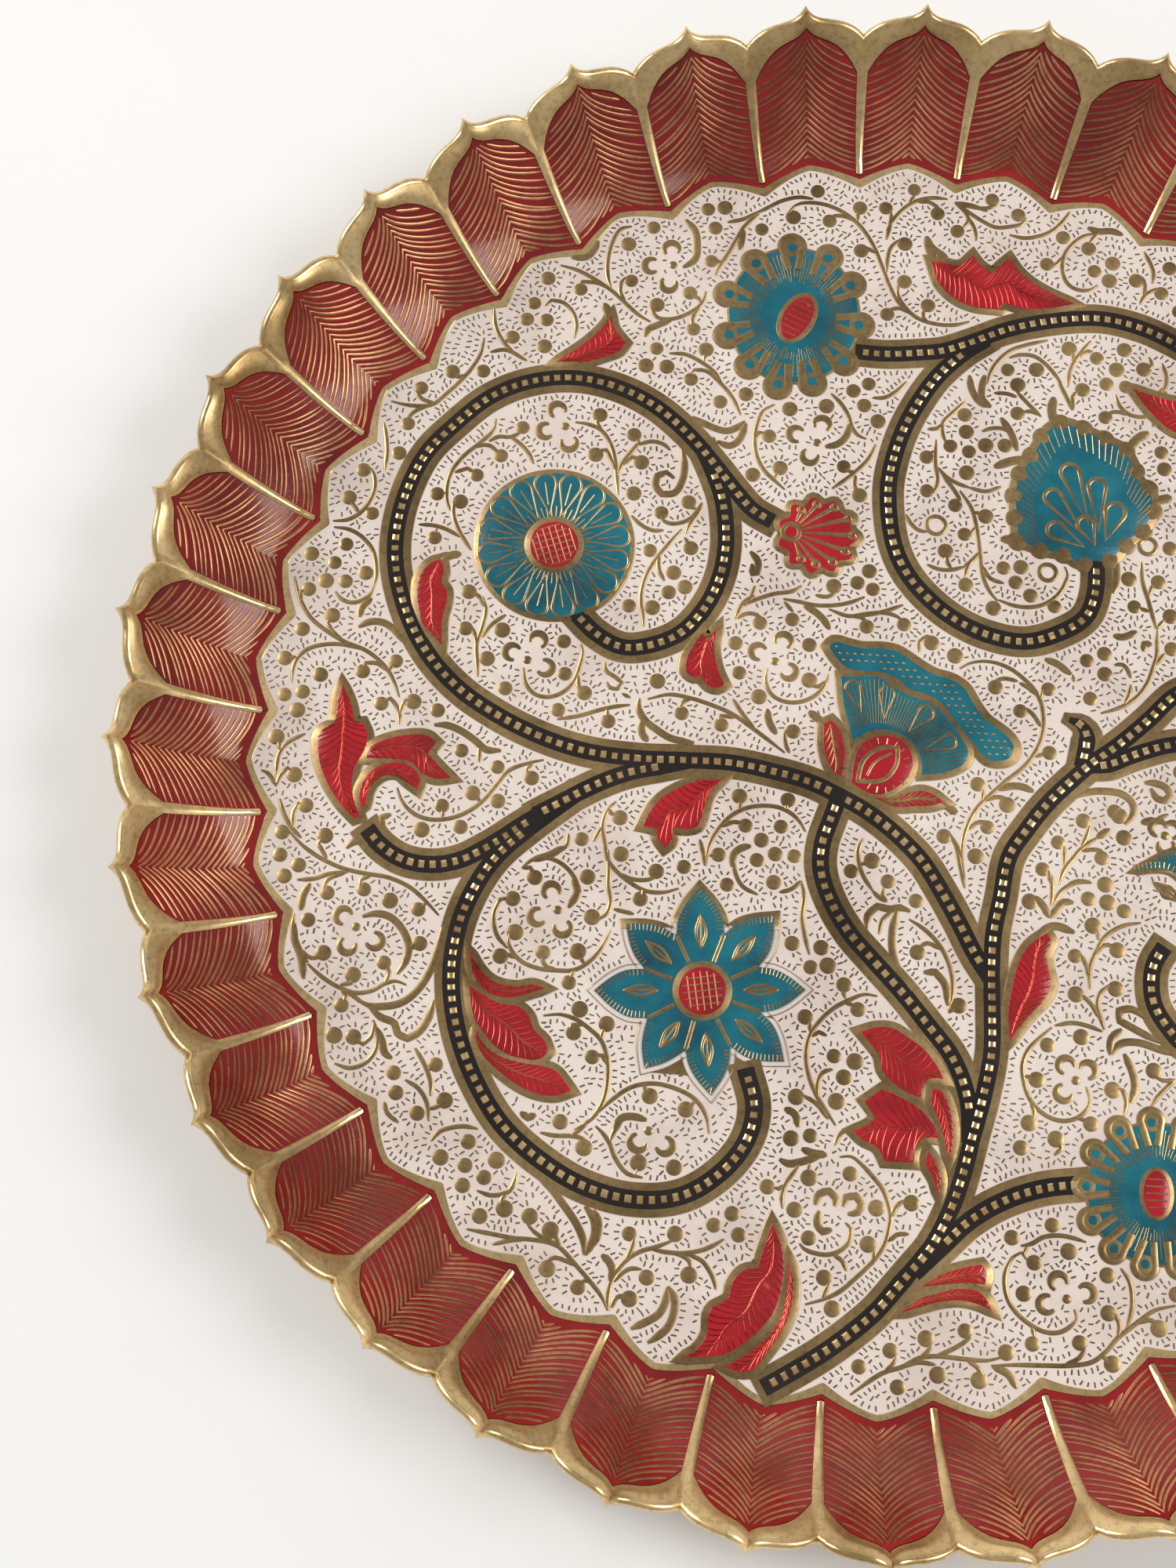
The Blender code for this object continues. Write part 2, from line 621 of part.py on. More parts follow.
def floor_of_plate(skin, rim_edge):
    """The floor's top with a cell for each filling, joined to the ring of points at the rim."""
    spots, triangles, labels = arrangement(0.0)
    triangles = counter_clockwise(spots, triangles)
    middles = middles_of_fillings()
    for group in components(triangles, labels):
        if not any(holds(spots, triangles, group, middle) for middle in middles):
            for i in group:
                labels[i] = None
    edges = borders(triangles, labels, lambda label: label is not None)
    flat = [p.copy() for p in spots]
    ring = list(range(len(flat), len(flat) + len(rim_edge)))
    flat += [Vector(skin.points[i][:2]) for i in rim_edge]
    ring_edges = list(zip(ring, ring[1:] + ring[:1]))
    found, faces, _, origin = retriangulated(flat, edges + ring_edges)
    used = sorted({i for edge in edges + ring_edges for i in edge})
    number = {used[old]: new for new, old in enumerate(origin) if old is not None}
    known = {}
    for a, b in edges:
        known[(number[a], number[b])] = "cell"
    for a, b in edges:
        known.setdefault((number[b], number[a]), "land")
    for a, b in ring_edges:
        known[(number[a], number[b])] = "land"
        known[(number[b], number[a])] = "outside"
    kinds = spread_labels(faces, known)
    ring_of = {number[spot]: rim_edge[i] for i, spot in enumerate(ring)}
    top = {}
    bottom = {}
    for face, kind in zip(faces, kinds):
        for i in face:
            if kind == "land" and i not in top:
                top[i] = ring_of[i] if i in ring_of else skin.add([(found[i].x, found[i].y, 0.0)])[0]
            if kind == "cell" and i not in bottom:
                bottom[i] = skin.add([(found[i].x, found[i].y, -CELL_DEPTH)])[0]
    for face, kind in zip(faces, kinds):
        if kind == "land":
            skin.faces.append([top[i] for i in face])
        elif kind == "cell":
            skin.faces.append([bottom[i] for i in face])
    for a, b in edges:
        a, b = number[a], number[b]
        if known[(b, a)] == "land":
            skin.faces.append([top[a], top[b], bottom[b], bottom[a]])


def tray_body(finish):
    skin = Skin()

    def at(share):
        return lambda column: share * panel_end(column)

    inner_top = skin.add(rim_row(at(0), 0.0, inwards=RED_LINE))
    inner_low = skin.add(rim_row(at(0), CELL_DEPTH, inwards=RED_LINE))
    high = [skin.add(rim_row(at(share), 0.0)) for share in PANEL_SHARES]
    low = [skin.add(rim_row(at(share), CELL_DEPTH)) for share in PANEL_SHARES]
    lip_top = skin.add(rim_row(lambda column: 0.975, 0.0))
    lip_mid = skin.add(rim_row(lambda column: 1.0, LIP_THICKNESS * 0.5))
    lip_low = skin.add(rim_row(lambda column: 0.975, LIP_THICKNESS))
    under_mid = (FLOOR_THICKNESS + LIP_THICKNESS) / 2
    under = skin.add(rim_row(lambda column: 0.5, under_mid))
    base = skin.add(rim_row(lambda column: 0.0, FLOOR_THICKNESS))

    floor_of_plate(skin, inner_top)
    skin.band(inner_low, inner_top)
    skin.band(inner_low, low[0])
    skin.band(low[0], high[0], on_rib)
    for k in range(len(PANEL_SHARES) - 1):
        skin.band(low[k], low[k + 1], on_panel)
        skin.band(high[k], high[k + 1], on_rib)
        for i in range(len(low[0])):
            if i % len(COLUMNS) in (2, 4):
                skin.faces.append([low[k][i], low[k + 1][i], high[k + 1][i], high[k][i]])
    skin.band(low[-1], high[-1], on_panel)
    skin.band(high[-1], lip_top)
    skin.band(lip_top, lip_mid)
    skin.band(lip_mid, lip_low)
    skin.band(lip_low, under)
    skin.band(under, base)
    skin.faces.append(base)
    return solid("tray_body", skin.points, skin.faces, finish)


def rim_enamel(finish):
    """The red of the 38 panels, joined round the inner ends of the ribs."""
    skin = Skin()
    top_depth = RECESS
    low_depth = CELL_DEPTH - GAP
    end_clear = GAP / (RIM_LENGTH * 1.3)
    rows = []
    for depth in (top_depth, low_depth):
        layer = [skin.add(rim_row(lambda column: 0.0, depth, GAP, RED_LINE - GAP)),
                 skin.add(rim_row(lambda column: 0.0, depth, GAP, GAP))]
        for share in PANEL_SHARES[1:]:
            trim = end_clear if share == 1.0 else 0.0
            layer.append(skin.add(rim_row(lambda column: share * panel_end(column) - trim, depth, GAP)))
        rows.append(layer)
    upper, lower = rows
    for layer in rows:
        skin.band(layer[0], layer[1])
        for k in range(1, len(PANEL_SHARES)):
            skin.band(layer[k], layer[k + 1], on_panel)
    skin.band(lower[0], upper[0])
    skin.band(lower[1], upper[1], on_rib)
    skin.band(lower[-1], upper[-1], on_panel)
    for k in range(1, len(PANEL_SHARES)):
        for i in range(len(upper[0])):
            if i % len(COLUMNS) in (2, 4):
                skin.faces.append([lower[k][i], lower[k + 1][i], upper[k + 1][i], upper[k][i]])
    return solid("rim_enamel", skin.points, skin.faces, finish)


def floor_enamels(finishes):
    """One solid for each filled cell of the floor."""
    spots, triangles, labels = arrangement(GAP)
    triangles = counter_clockwise(spots, triangles)
    by_label = {}
    for group in components(triangles, labels):
        label = labels[group[0]]
        if label is not None:
            area = sum(face_area(spots, triangles[i]) for i in group)
            by_label.setdefault(label, []).append((area, group))
    for label, groups in sorted(by_label.items()):
        groups.sort(key=lambda item: -item[0])
        for order, (_, group) in enumerate(groups):
            marked = [False] * len(triangles)
            for i in group:
                marked[i] = True
            edges = borders(triangles, marked, lambda mark: mark)
            name = label + "_enamel" + ("" if order == 0 else "_" + str(order + 1))
            prism(name, spots, edges, finishes[label])


def finishes_by_label(white, teal, red, black):
    finishes = {"ground": white, "vine": black}
    finishes.update({name: teal for name in FLOWERS})
    for names in (RED_FLOWERS, CENTRES, leaf_outlines()):
        finishes.update({name: red for name in names})
    return finishes


def main():
    for old in list(bpy.data.objects):
        bpy.data.objects.remove(old, do_unlink=True)
    brass = material("brass", BRASS, 0.34, 1.0)
    white = material("white_enamel", WHITE, 0.3)
    teal = material("teal_enamel", TEAL, 0.16)
    red = material("red_enamel", RED, 0.14)
    black = material("black_enamel", BLACK, 0.16)
    tray_body(brass)
    rim_enamel(red)
    floor_enamels(finishes_by_label(white, teal, red, black))


main()
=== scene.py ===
"""Looks of the champleve tray: petalled rim, enamelled floor, brass line work, light and camera.

Everything is drawn in millimetres in the plate's own frame, with a petal's tip at +Y, and scaled to
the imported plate. Heights of the artwork are measured from the land, the floor's brass surface.
"""
import itertools
import math
import random

import bpy
import numpy as np
from mathutils import Matrix, Vector
from mathutils.geometry import tessellate_polygon


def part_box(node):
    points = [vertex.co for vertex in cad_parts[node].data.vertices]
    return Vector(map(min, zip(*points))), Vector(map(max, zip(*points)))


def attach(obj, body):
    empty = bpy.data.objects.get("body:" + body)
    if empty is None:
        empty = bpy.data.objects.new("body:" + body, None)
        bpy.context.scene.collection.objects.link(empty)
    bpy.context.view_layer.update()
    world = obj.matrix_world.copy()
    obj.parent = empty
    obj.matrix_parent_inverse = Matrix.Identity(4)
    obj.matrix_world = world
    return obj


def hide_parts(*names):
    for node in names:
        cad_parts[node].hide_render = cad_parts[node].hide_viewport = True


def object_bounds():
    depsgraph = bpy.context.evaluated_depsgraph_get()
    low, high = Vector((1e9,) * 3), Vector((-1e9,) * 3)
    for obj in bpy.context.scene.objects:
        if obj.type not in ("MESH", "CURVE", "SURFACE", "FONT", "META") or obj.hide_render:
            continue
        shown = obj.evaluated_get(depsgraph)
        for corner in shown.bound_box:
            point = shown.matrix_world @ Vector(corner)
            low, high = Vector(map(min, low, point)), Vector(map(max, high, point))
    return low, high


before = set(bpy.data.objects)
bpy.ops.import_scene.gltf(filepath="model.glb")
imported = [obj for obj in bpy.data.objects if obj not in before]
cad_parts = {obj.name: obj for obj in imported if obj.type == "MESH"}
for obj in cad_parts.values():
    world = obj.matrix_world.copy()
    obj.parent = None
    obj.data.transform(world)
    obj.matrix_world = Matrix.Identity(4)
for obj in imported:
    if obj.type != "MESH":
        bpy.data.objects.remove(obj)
CAD_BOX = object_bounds()
random.seed(38)

DRAWN_HALF = 150.85       # half of the drawn plate's depth
UNIT = CAD_BOX[1].y / DRAWN_HALF
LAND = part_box("ground_enamel")[1].z / UNIT + 0.1

# Plate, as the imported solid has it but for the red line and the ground's border
TIP_RADIUS = 150.0
RIM_RISE = 22.7
RIM_LENGTH = 25.7
NOTCH_IN = 3.4
NOTCH_DROP = 6.0
PETALS = 38
CREASE_IN = 3.9
PROFILE_POWER = 1.4
FLOOR_THICKNESS = 2.2
LIP_THICKNESS = 1.7
RED_LINE = 0.85
GROUND_BORDER = 1.3
GROUND_SCALLOP = 0.8
RIB_INNER = 1.2
RIB_OUTER = 2.5
PANEL_TOP = 0.87
PANEL_FALL = 0.14         # how much lower the panel ends at a rib
FLOOR_RADIUS = TIP_RADIUS - RIM_LENGTH
HALF_PETAL = math.pi / PETALS

# Relief of the rim
PANEL_DEPTH = 0.32
RED_DEPTH = 0.14
RIB_CROWN = 0.2
BAND_CROWN = 0.18
LIP_AT = 0.962            # share of the rim's profile where the lip's bead stands
LIP_BEAD = 0.92
PANEL_COLUMNS = 24
RIB_COLUMNS = 6
PANEL_ROWS = 18
RED_ROWS = 20
GROUND_RECESS = 0.35      # how far the floor lies under the land, below the white enamel
UNDERSIDE_RADII = (119, 80, 40)
FEATHERS = 20             # brass lines in a petal, and how their height over the rim runs
FEATHER_PITCH = 0.0475
FEATHER_APEX = 0.13
FEATHER_HALF = 0.29
FEATHER_POINTS = 29

# Heights of the artwork over the land
GROUND_TOP = -0.10
DASH_TOP = 0.0
STEM_TOP = 0.05
BORDER_TOP = 0.10
ENAMEL_TOP = 0.15
LINE_TOP = 0.22
VINE_BORDER_TOP = 0.08
VINE_TOP = 0.12
BEAD_TOP = 0.36
UNDER = -0.3              # foot of every raised piece, under the ground's enamel

# Widths of the artwork
VINE_HALF = 1.8
VINE_OUTER = 3.2
BEAD_HALF = 0.66
BEAD_PITCH = 2.25
MOTIF_BORDER = 1.3
STEM_HALF = 0.42
THICK_HALF = 0.72
DOT_RADIUS = 1.5
HAIR_HALF = 0.16
VINE_STEP = 0.9           # between the points of a vine
VINE_TIP = 0.35           # share of its width that a vine has at a free end
VINE_TAPER = 9            # length in which it would widen by a whole width from there
DASH_ROWS = (1.0, 2.55, 4.1, 5.65, 7.2)     # from the nearest outline
DASH_PITCH = 1.06
DASH_LEFT_OUT = 0.08      # share of the strokes that is missing
DASH_TURN = 0.22          # spread of their turn, in radians
FLORET_DOT = 0.85
FLORET_PETAL = 1.55
FLORET_REACH = 2.1
FLORET_OPENING = 0.95     # radians either side of the way to the floret's middle
CENTRE_RISE = 0.06        # of a flower's red boss over the other enamel
CENTRE_PITCH = 1.3
BUD_CENTRE = (-16.4, 43.0)
BUD_RADIUS = 7.5
BUD_SCALLOP = 0.7
BUD_LOBES = 11
STAR_CENTRE = (-35.4, -50.4)
STAR_FLANK = ((0.85, 0.2), (0.73, 0.36))    # share of a petal's reach, and of the way to the next

# Camera, from a fit to the petals' tips, the notches and the ribs' inner ends
FOCAL_LENGTH = 46.66
CAMERA_TURNS = (("Z", -4.90), ("Y", -0.81), ("X", -13.26), ("Z", 1.5869))
CAMERA_AWAY = (0.401, 0.049, -2.665)        # the floor's middle from the camera, in tip radii

# Sheet under the tray, in metres
SHEET_HALF = 2.2
SHEET_BEND = 0.5
SHEET_RISE = 2.4


# Plane geometry

def unit_rows(vectors):
    length = np.linalg.norm(vectors, axis=-1, keepdims=True)
    return vectors / np.maximum(length, 1e-9)


def smooth(points, step=0.8, closed=False, corner=55.0):
    """A curve through the points; it keeps a corner where they turn by more than that many degrees."""
    knots = np.array(points, float)
    before = knots - np.roll(knots, 1, axis=0)
    after = np.roll(knots, -1, axis=0) - knots
    if not closed:
        before[0] = after[0]
        after[-1] = before[-1]
    arriving = unit_rows(before)
    leaving = unit_rows(after)
    mean = unit_rows(arriving + leaving)
    sharp = (arriving * leaving).sum(axis=1) < math.cos(math.radians(corner))
    arriving = np.where(sharp[:, None], arriving, mean)
    leaving = np.where(sharp[:, None], leaving, mean)
    curve = []
    for i in range(len(knots) if closed else len(knots) - 1):
        j = (i + 1) % len(knots)
        length = np.linalg.norm(knots[j] - knots[i])
        pieces = max(1, round(length / step))
        t = (np.arange(pieces) / pieces)[:, None]
        curve.append((2 * t**3 - 3 * t**2 + 1) * knots[i] + (t**3 - 2 * t**2 + t) * leaving[i] * length
                     + (3 * t**2 - 2 * t**3) * knots[j] + (t**3 - t**2) * arriving[j] * length)
    if not closed:
        curve.append(knots[-1:])
    return np.concatenate(curve)


def along(line, pitch):
    """Points at an even pitch along a line, and their directions."""
    steps = np.linalg.norm(np.diff(line, axis=0), axis=1)
    run = np.concatenate([[0], np.cumsum(steps)])
    count = max(2, round(run[-1] / pitch) + 1)
    at = np.linspace(0, run[-1], count)
    points = np.stack([np.interp(at, run, line[:, 0]), np.interp(at, run, line[:, 1])], axis=1)
    return points, unit_rows(np.gradient(points, axis=0))


def area_of(outline):
    after = np.roll(outline, -1, axis=0)
    return ((outline[:, 0] * after[:, 1] - after[:, 0] * outline[:, 1]).sum()) / 2


def grown(outline, distance):
    """A closed outline moved outwards; a sharp point moves at most twice the distance."""
    outline = np.array(outline, float)
    if area_of(outline) < 0:
        outline = outline[::-1]
    before = unit_rows(outline - np.roll(outline, 1, axis=0))
    after = unit_rows(np.roll(outline, -1, axis=0) - outline)
    side = np.stack([before[:, 1], -before[:, 0]], axis=1)
    mean = unit_rows(side + np.stack([after[:, 1], -after[:, 0]], axis=1))
    slant = np.maximum(0.5, (mean * side).sum(axis=1))
    return outline + mean * (distance / slant)[:, None]


def ring(centre, half_width, half_height=None, turn=0.0, count=48):
    """Closed ellipse."""
    angle = np.arange(count) * 2 * math.pi / count
    x = half_width * np.cos(angle)
    y = (half_height or half_width) * np.sin(angle)
    tilt = math.radians(turn)
    return np.stack([centre[0] + x * math.cos(tilt) - y * math.sin(tilt),
                     centre[1] + x * math.sin(tilt) + y * math.cos(tilt)], axis=1)


def polar(centre, radius, angle):
    return np.array([centre[0] + radius * math.cos(angle), centre[1] + radius * math.sin(angle)])


def spoke(centre, start, stop, angle):
    """A straight line on a radius."""
    return np.array([polar(centre, start, angle), polar(centre, stop, angle)])


def ray_points(centre, degrees, start, stop, step=0.5):
    """Points at an even pitch on a radius."""
    return np.array([polar(centre, r, math.radians(degrees)) for r in np.arange(start, stop, step)])


def inside(outline, points):
    """Which points lie inside a closed outline."""
    x, y = points[..., 0], points[..., 1]
    hit = np.zeros(x.shape, bool)
    for (x0, y0), (x1, y1) in zip(outline, np.roll(outline, -1, axis=0)):
        crosses = (y0 > y) != (y1 > y)
        hit ^= crosses & (x < (x1 - x0) * (y - y0) / ((y1 - y0) or 1e-12) + x0)
    return hit


# Meshes

class Relief:
    """Gathers raised lines, patches and dots into one mesh."""

    def __init__(self):
        self.points = []
        self.faces = []
        self.count = 0

    def add(self, points, faces):
        base = self.count
        self.points.append(np.asarray(points, float))
        self.faces += [[base + i for i in face] for face in faces]
        self.count += len(points)

    def line(self, line, half, high, closed=False, low=UNDER, crown=0.05):
        """A raised line with rounded edges. half is its half width, or one for each point."""
        line = np.asarray(line, float)
        count = len(line)
        if closed:
            direction = unit_rows(np.roll(line, -1, axis=0) - np.roll(line, 1, axis=0))
        else:
            direction = unit_rows(np.gradient(line, axis=0))
        side = np.stack([-direction[:, 1], direction[:, 0]], axis=1)
        half = np.broadcast_to(np.asarray(half, float), (count,))[:, None]
        rows = []
        for across, height in ((-1, low), (-1, high - 0.06), (-0.7, high), (0, high + crown),
                               (0.7, high), (1, high - 0.06), (1, low)):
            flat = line + side * half * across
            rows.append(np.concatenate([flat, np.full((count, 1), LAND + height)], axis=1))
        width = len(rows)
        faces = []
        for i in range(count if closed else count - 1):
            j = (i + 1) % count
            for k in range(width - 1):
                faces.append((i * width + k, j * width + k, j * width + k + 1, i * width + k + 1))
        if not closed:
            faces.append(tuple(range(width)))
            faces.append(tuple((count - 1) * width + k for k in range(width))[::-1])
        self.add(np.stack(rows, axis=1).reshape(-1, 3), faces)

    def stroke(self, points, half, high, step=0.8, tail=0.45):
        """A line that tapers to its ends."""
        line = smooth(points, step)
        share = np.linspace(0, 1, len(line))
        end = np.minimum(share, 1 - share) / 0.16
        self.line(line, half * np.minimum(1, tail + (1 - tail) * end), high)

    def patch(self, outline, high, low=UNDER, bevel=0.1):
        """A flat raised area with a bevelled edge."""
        outline = np.asarray(outline, float)
        if area_of(outline) < 0:
            outline = outline[::-1]
        inner = grown(outline, -bevel)
        count = len(outline)
        rows = [np.concatenate([outline, np.full((count, 1), LAND + low)], axis=1),
                np.concatenate([outline, np.full((count, 1), LAND + high - bevel * 0.5)], axis=1),
                np.concatenate([inner, np.full((count, 1), LAND + high)], axis=1)]
        faces = []
        for row in range(2):
            for i in range(count):
                j = (i + 1) % count
                faces.append((row * count + i, row * count + j, (row + 1) * count + j, (row + 1) * count + i))
        for a, b, c in tessellate_polygon([[Vector((x, y, 0)) for x, y in inner]]):
            turn = np.cross(inner[b] - inner[a], inner[c] - inner[a])
            if abs(turn) > 1e-9:
                faces.append(tuple(2 * count + i for i in ((a, b, c) if turn > 0 else (a, c, b))))
        self.add(np.concatenate(rows), faces)

    def dot(self, centre, radius, high, low=UNDER, sides=14):
        """A low dome."""
        rings = ((1.0, low), (1.0, high - 0.06), (0.86, high), (0.45, high + 0.07))
        points = [(centre[0] + radius * share * math.cos(2 * math.pi * i / sides),
                   centre[1] + radius * share * math.sin(2 * math.pi * i / sides), LAND + height)
                  for share, height in rings for i in range(sides)]
        points.append((centre[0], centre[1], LAND + high + 0.09))
        faces = []
        for row in range(len(rings) - 1):
            for i in range(sides):
                j = (i + 1) % sides
                faces.append((row * sides + i, row * sides + j, (row + 1) * sides + j, (row + 1) * sides + i))
        top = (len(rings) - 1) * sides
        faces += [(top + i, top + (i + 1) % sides, len(points) - 1) for i in range(sides)]
        self.add(points, faces)

    def block(self, centre, direction, half_length, half_width, high, low=UNDER):
        """A small bar with a rounded top."""
        direction = np.asarray(direction)
        side = np.array([-direction[1], direction[0]])
        rings = ((1.0, low), (1.0, high - 0.16), (0.72, high))
        points = []
        for share, height in rings:
            for a, b in ((-1, -1), (1, -1), (1, 1), (-1, 1)):
                x, y = centre + direction * half_length * share * a + side * half_width * share * b
                points.append((x, y, LAND + height))
        faces = [(row * 4 + i, row * 4 + (i + 1) % 4, row * 4 + 4 + (i + 1) % 4, row * 4 + 4 + i)
                 for row in range(2) for i in range(4)]
        faces.append((8, 9, 10, 11))
        self.add(points, faces)

    def make(self, name, material, slot, replaced=(), angle=40):
        return make_piece(name, np.concatenate(self.points), self.faces, [material], replaced, angle)


def make_piece(name, points, faces, materials, replaced=(), angle=40, indices=None):
    """One piece of the object, from points in millimetres."""
    mesh = bpy.data.meshes.new(name)
    mesh.from_pydata((np.asarray(points) * UNIT).tolist(), [], faces)
    for material in materials:
        mesh.materials.append(material)
    if indices is not None:
        mesh.polygons.foreach_set("material_index", indices)
    mesh.polygons.foreach_set("use_smooth", [True] * len(mesh.polygons))
    mesh.set_sharp_from_angle(angle=math.radians(angle))
    piece = bpy.data.objects.new(name, mesh)
    bpy.context.scene.collection.objects.link(piece)
    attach(piece, "root")
    if replaced:
        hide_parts(*replaced)
    return piece


# Materials

class Surface:
    """A procedural material: a principled shader, and nodes in object coordinates."""

    def __init__(self, name, **values):
        self.material = bpy.data.materials.new(name)
        self.material.use_nodes = True
        self.nodes = self.material.node_tree.nodes
        self.links = self.material.node_tree.links
        self.shader = self.nodes["Principled BSDF"]
        for socket, value in values.items():
            self.shader.inputs[socket.replace("_", " ")].default_value = value
        self.place = self.nodes.new("ShaderNodeTexCoord").outputs["Object"]

    def noise(self, scale, detail=4.0, roughness=0.6, stretch=(1, 1, 1), turn=0.0):
        mapping = self.nodes.new("ShaderNodeMapping")
        mapping.inputs["Scale"].default_value = stretch
        mapping.inputs["Rotation"].default_value = (0, 0, math.radians(turn))
        texture = self.nodes.new("ShaderNodeTexNoise")
        texture.inputs["Scale"].default_value = scale
        texture.inputs["Detail"].default_value = detail
        texture.inputs["Roughness"].default_value = roughness
        self.links.new(self.place, mapping.inputs["Vector"])
        self.links.new(mapping.outputs["Vector"], texture.inputs["Vector"])
        return texture.outputs["Fac"]

    def ramp(self, source, stops):
        """Colour ramp: stops are (place, colour) or (place, grey)."""
        node = self.nodes.new("ShaderNodeValToRGB")
        elements = node.color_ramp.elements
        while len(elements) < len(stops):
            elements.new(0.5)
        for element, (place, colour) in zip(elements, stops):
            element.position = place
            element.color = (*colour, 1) if isinstance(colour, tuple) else (colour, colour, colour, 1)
        self.links.new(source, node.inputs["Fac"])
        return node.outputs["Color"]

    def mixed(self, factor, first, second, blend="MIX"):
        node = self.nodes.new("ShaderNodeMix")
        node.data_type = "RGBA"
        node.blend_type = blend
        for socket, value in (("Factor", factor), ("A", first), ("B", second)):
            target = next(i for i in node.inputs if i.name == socket and i.enabled)
            if isinstance(value, (float, int, tuple)):
                target.default_value = (*value, 1) if isinstance(value, tuple) else value
            else:
                self.links.new(value, target)
        return next(o for o in node.outputs if o.enabled)

    def set(self, socket, source):
        self.links.new(source, self.shader.inputs[socket])

    def bump(self, source, strength, distance):
        node = self.nodes.new("ShaderNodeBump")
        node.inputs["Strength"].default_value = strength
        node.inputs["Distance"].default_value = distance
        self.links.new(source, node.inputs["Height"])
        previous = self.shader.inputs["Normal"].links
        if previous:
            self.links.new(previous[0].from_socket, node.inputs["Normal"])
        self.links.new(node.outputs["Normal"], self.shader.inputs["Normal"])


def brass(name, bright, dull, low, high, rough=(0.16, 0.5), scratch=0.12):
    """Old brass: patina in patches, darker specks, fine scratches."""
    surface = Surface(name, Metallic=1.0)
    patches = surface.ramp(surface.noise(38, 6, 0.62), [(low, dull), (high, bright)])
    specks = surface.ramp(surface.noise(900, 3, 0.7), [(0.36, 0.55), (0.5, 1.0)])
    surface.set("Base Color", surface.mixed(0.55, patches, specks, "MULTIPLY"))
    surface.set("Roughness", surface.ramp(surface.noise(60, 5, 0.65), [(0.35, rough[0]), (0.75, rough[1])]))
    surface.bump(surface.noise(420, 3, 0.6, (1, 0.05, 1), 32), scratch, 0.00004)
    surface.bump(surface.noise(300, 3, 0.6, (0.06, 1, 1), 12), scratch, 0.00004)
    surface.bump(surface.noise(150, 4, 0.55), 0.16, 0.0002)
    return surface.material


def enamel(name, tones, rough=0.16, pits=0.12, scale=45, spill=None):
    """Fired enamel: uneven colour, a glossy skin, pits left by bubbles."""
    surface = Surface(name, Roughness=rough, Coat_Weight=0.15, Coat_Roughness=0.1, IOR=1.45)
    colour = surface.ramp(surface.noise(scale, 6, 0.62), list(zip((0.3, 0.5, 0.7), tones)))
    if spill:
        mask = surface.ramp(surface.noise(scale * 2.6, 3, 0.5), [(0.70, 0.0), (0.80, 1.0)])
        colour = surface.mixed(mask, colour, spill)
    surface.set("Base Color", colour)
    surface.bump(surface.ramp(surface.noise(1500, 2, 0.5), [(0.3, 0.0), (0.42, 1.0)]), pits, 0.0001)
    surface.bump(surface.noise(70, 3, 0.5), 0.12, 0.0006)
    return surface.material


POLISHED = brass("polished_brass", (0.90, 0.66, 0.33), (0.50, 0.33, 0.14), 0.34, 0.60, (0.2, 0.4))
FLOOR_BRASS = brass("floor_brass", (0.52, 0.36, 0.165), (0.24, 0.155, 0.07), 0.35, 0.66, (0.24, 0.5))
VEIN_BRASS = brass("vein_brass", (0.72, 0.16, 0.10), (0.40, 0.04, 0.03), 0.35, 0.66, (0.2, 0.45))
FEATHER_BRASS = brass("feather_brass", (0.70, 0.36, 0.18), (0.28, 0.12, 0.055), 0.38, 0.64, (0.3, 0.52))
# Dark brass of the ground's dashes: partly the brass's own dull tone, partly painted shade standing in for
# the shadow inside engraved cuts, which are drawn raised here.
DASH_BRASS_AND_SHADE = brass("dash_brass_and_painted_shade", (0.32, 0.25, 0.16), (0.13, 0.10, 0.06), 0.35, 0.66, (0.4, 0.7))
WHITE = enamel("white_enamel", ((0.62, 0.51, 0.45), (0.76, 0.655, 0.59), (0.82, 0.73, 0.66)), 0.24, 0.2)
RIM_RED = enamel("rim_red_enamel", ((0.13, 0.003, 0.004), (0.24, 0.006, 0.006), (0.33, 0.011, 0.010)))
LEAF_RED = enamel("leaf_red_enamel", ((0.22, 0.003, 0.010), (0.38, 0.005, 0.014), (0.50, 0.009, 0.022)), 0.18,
                  0.14, 90, (0.62, 0.13, 0.17))
TEAL = enamel("teal_enamel", ((0.002, 0.055, 0.08), (0.003, 0.12, 0.165), (0.010, 0.18, 0.23)), 0.18,
              0.14, 80)
BLACK = enamel("black_enamel", ((0.004, 0.003, 0.003), (0.010, 0.007, 0.006), (0.022, 0.015, 0.012)), 0.2)


# Rim

def outline_share(s):
    """Height of the rim's outline, from 1 at a tip (s = 0) to 0 at a notch (s = 1)."""
    return 0.52 * (1 - s ** 4) + 0.48 * np.exp(-s / 0.12)


def profile(s, v):
    """Radius and height over the floor at share s from crease to rib and v from floor to rim."""
    share = (1 - v * v) * (1 - s ** 1.25) + v * v * outline_share(s)
    start = FLOOR_RADIUS + CREASE_IN * share
    end = TIP_RADIUS - NOTCH_IN * (1 - share)
    height = (RIM_RISE - NOTCH_DROP * (1 - share)) * v ** PROFILE_POWER
    return start + (end - start) * v, height


def rim_place(t, v):
    """Share from crease to rib, and angle from the crease. In t the panel is -1 to 1, and the rib 1 to 3."""
    half_rib = (RIB_INNER + (RIB_OUTER - RIB_INNER) * v) / 2
    rib = half_rib / (profile(1.0, v)[0] * HALF_PETAL)
    share = np.where(t > 1, 1 - rib * np.abs(t - 2), np.abs(t) * (1 - rib))
    angle = np.where(t > 1, 1 + (t - 2) * rib, t * (1 - rib)) * HALF_PETAL
    return share, angle


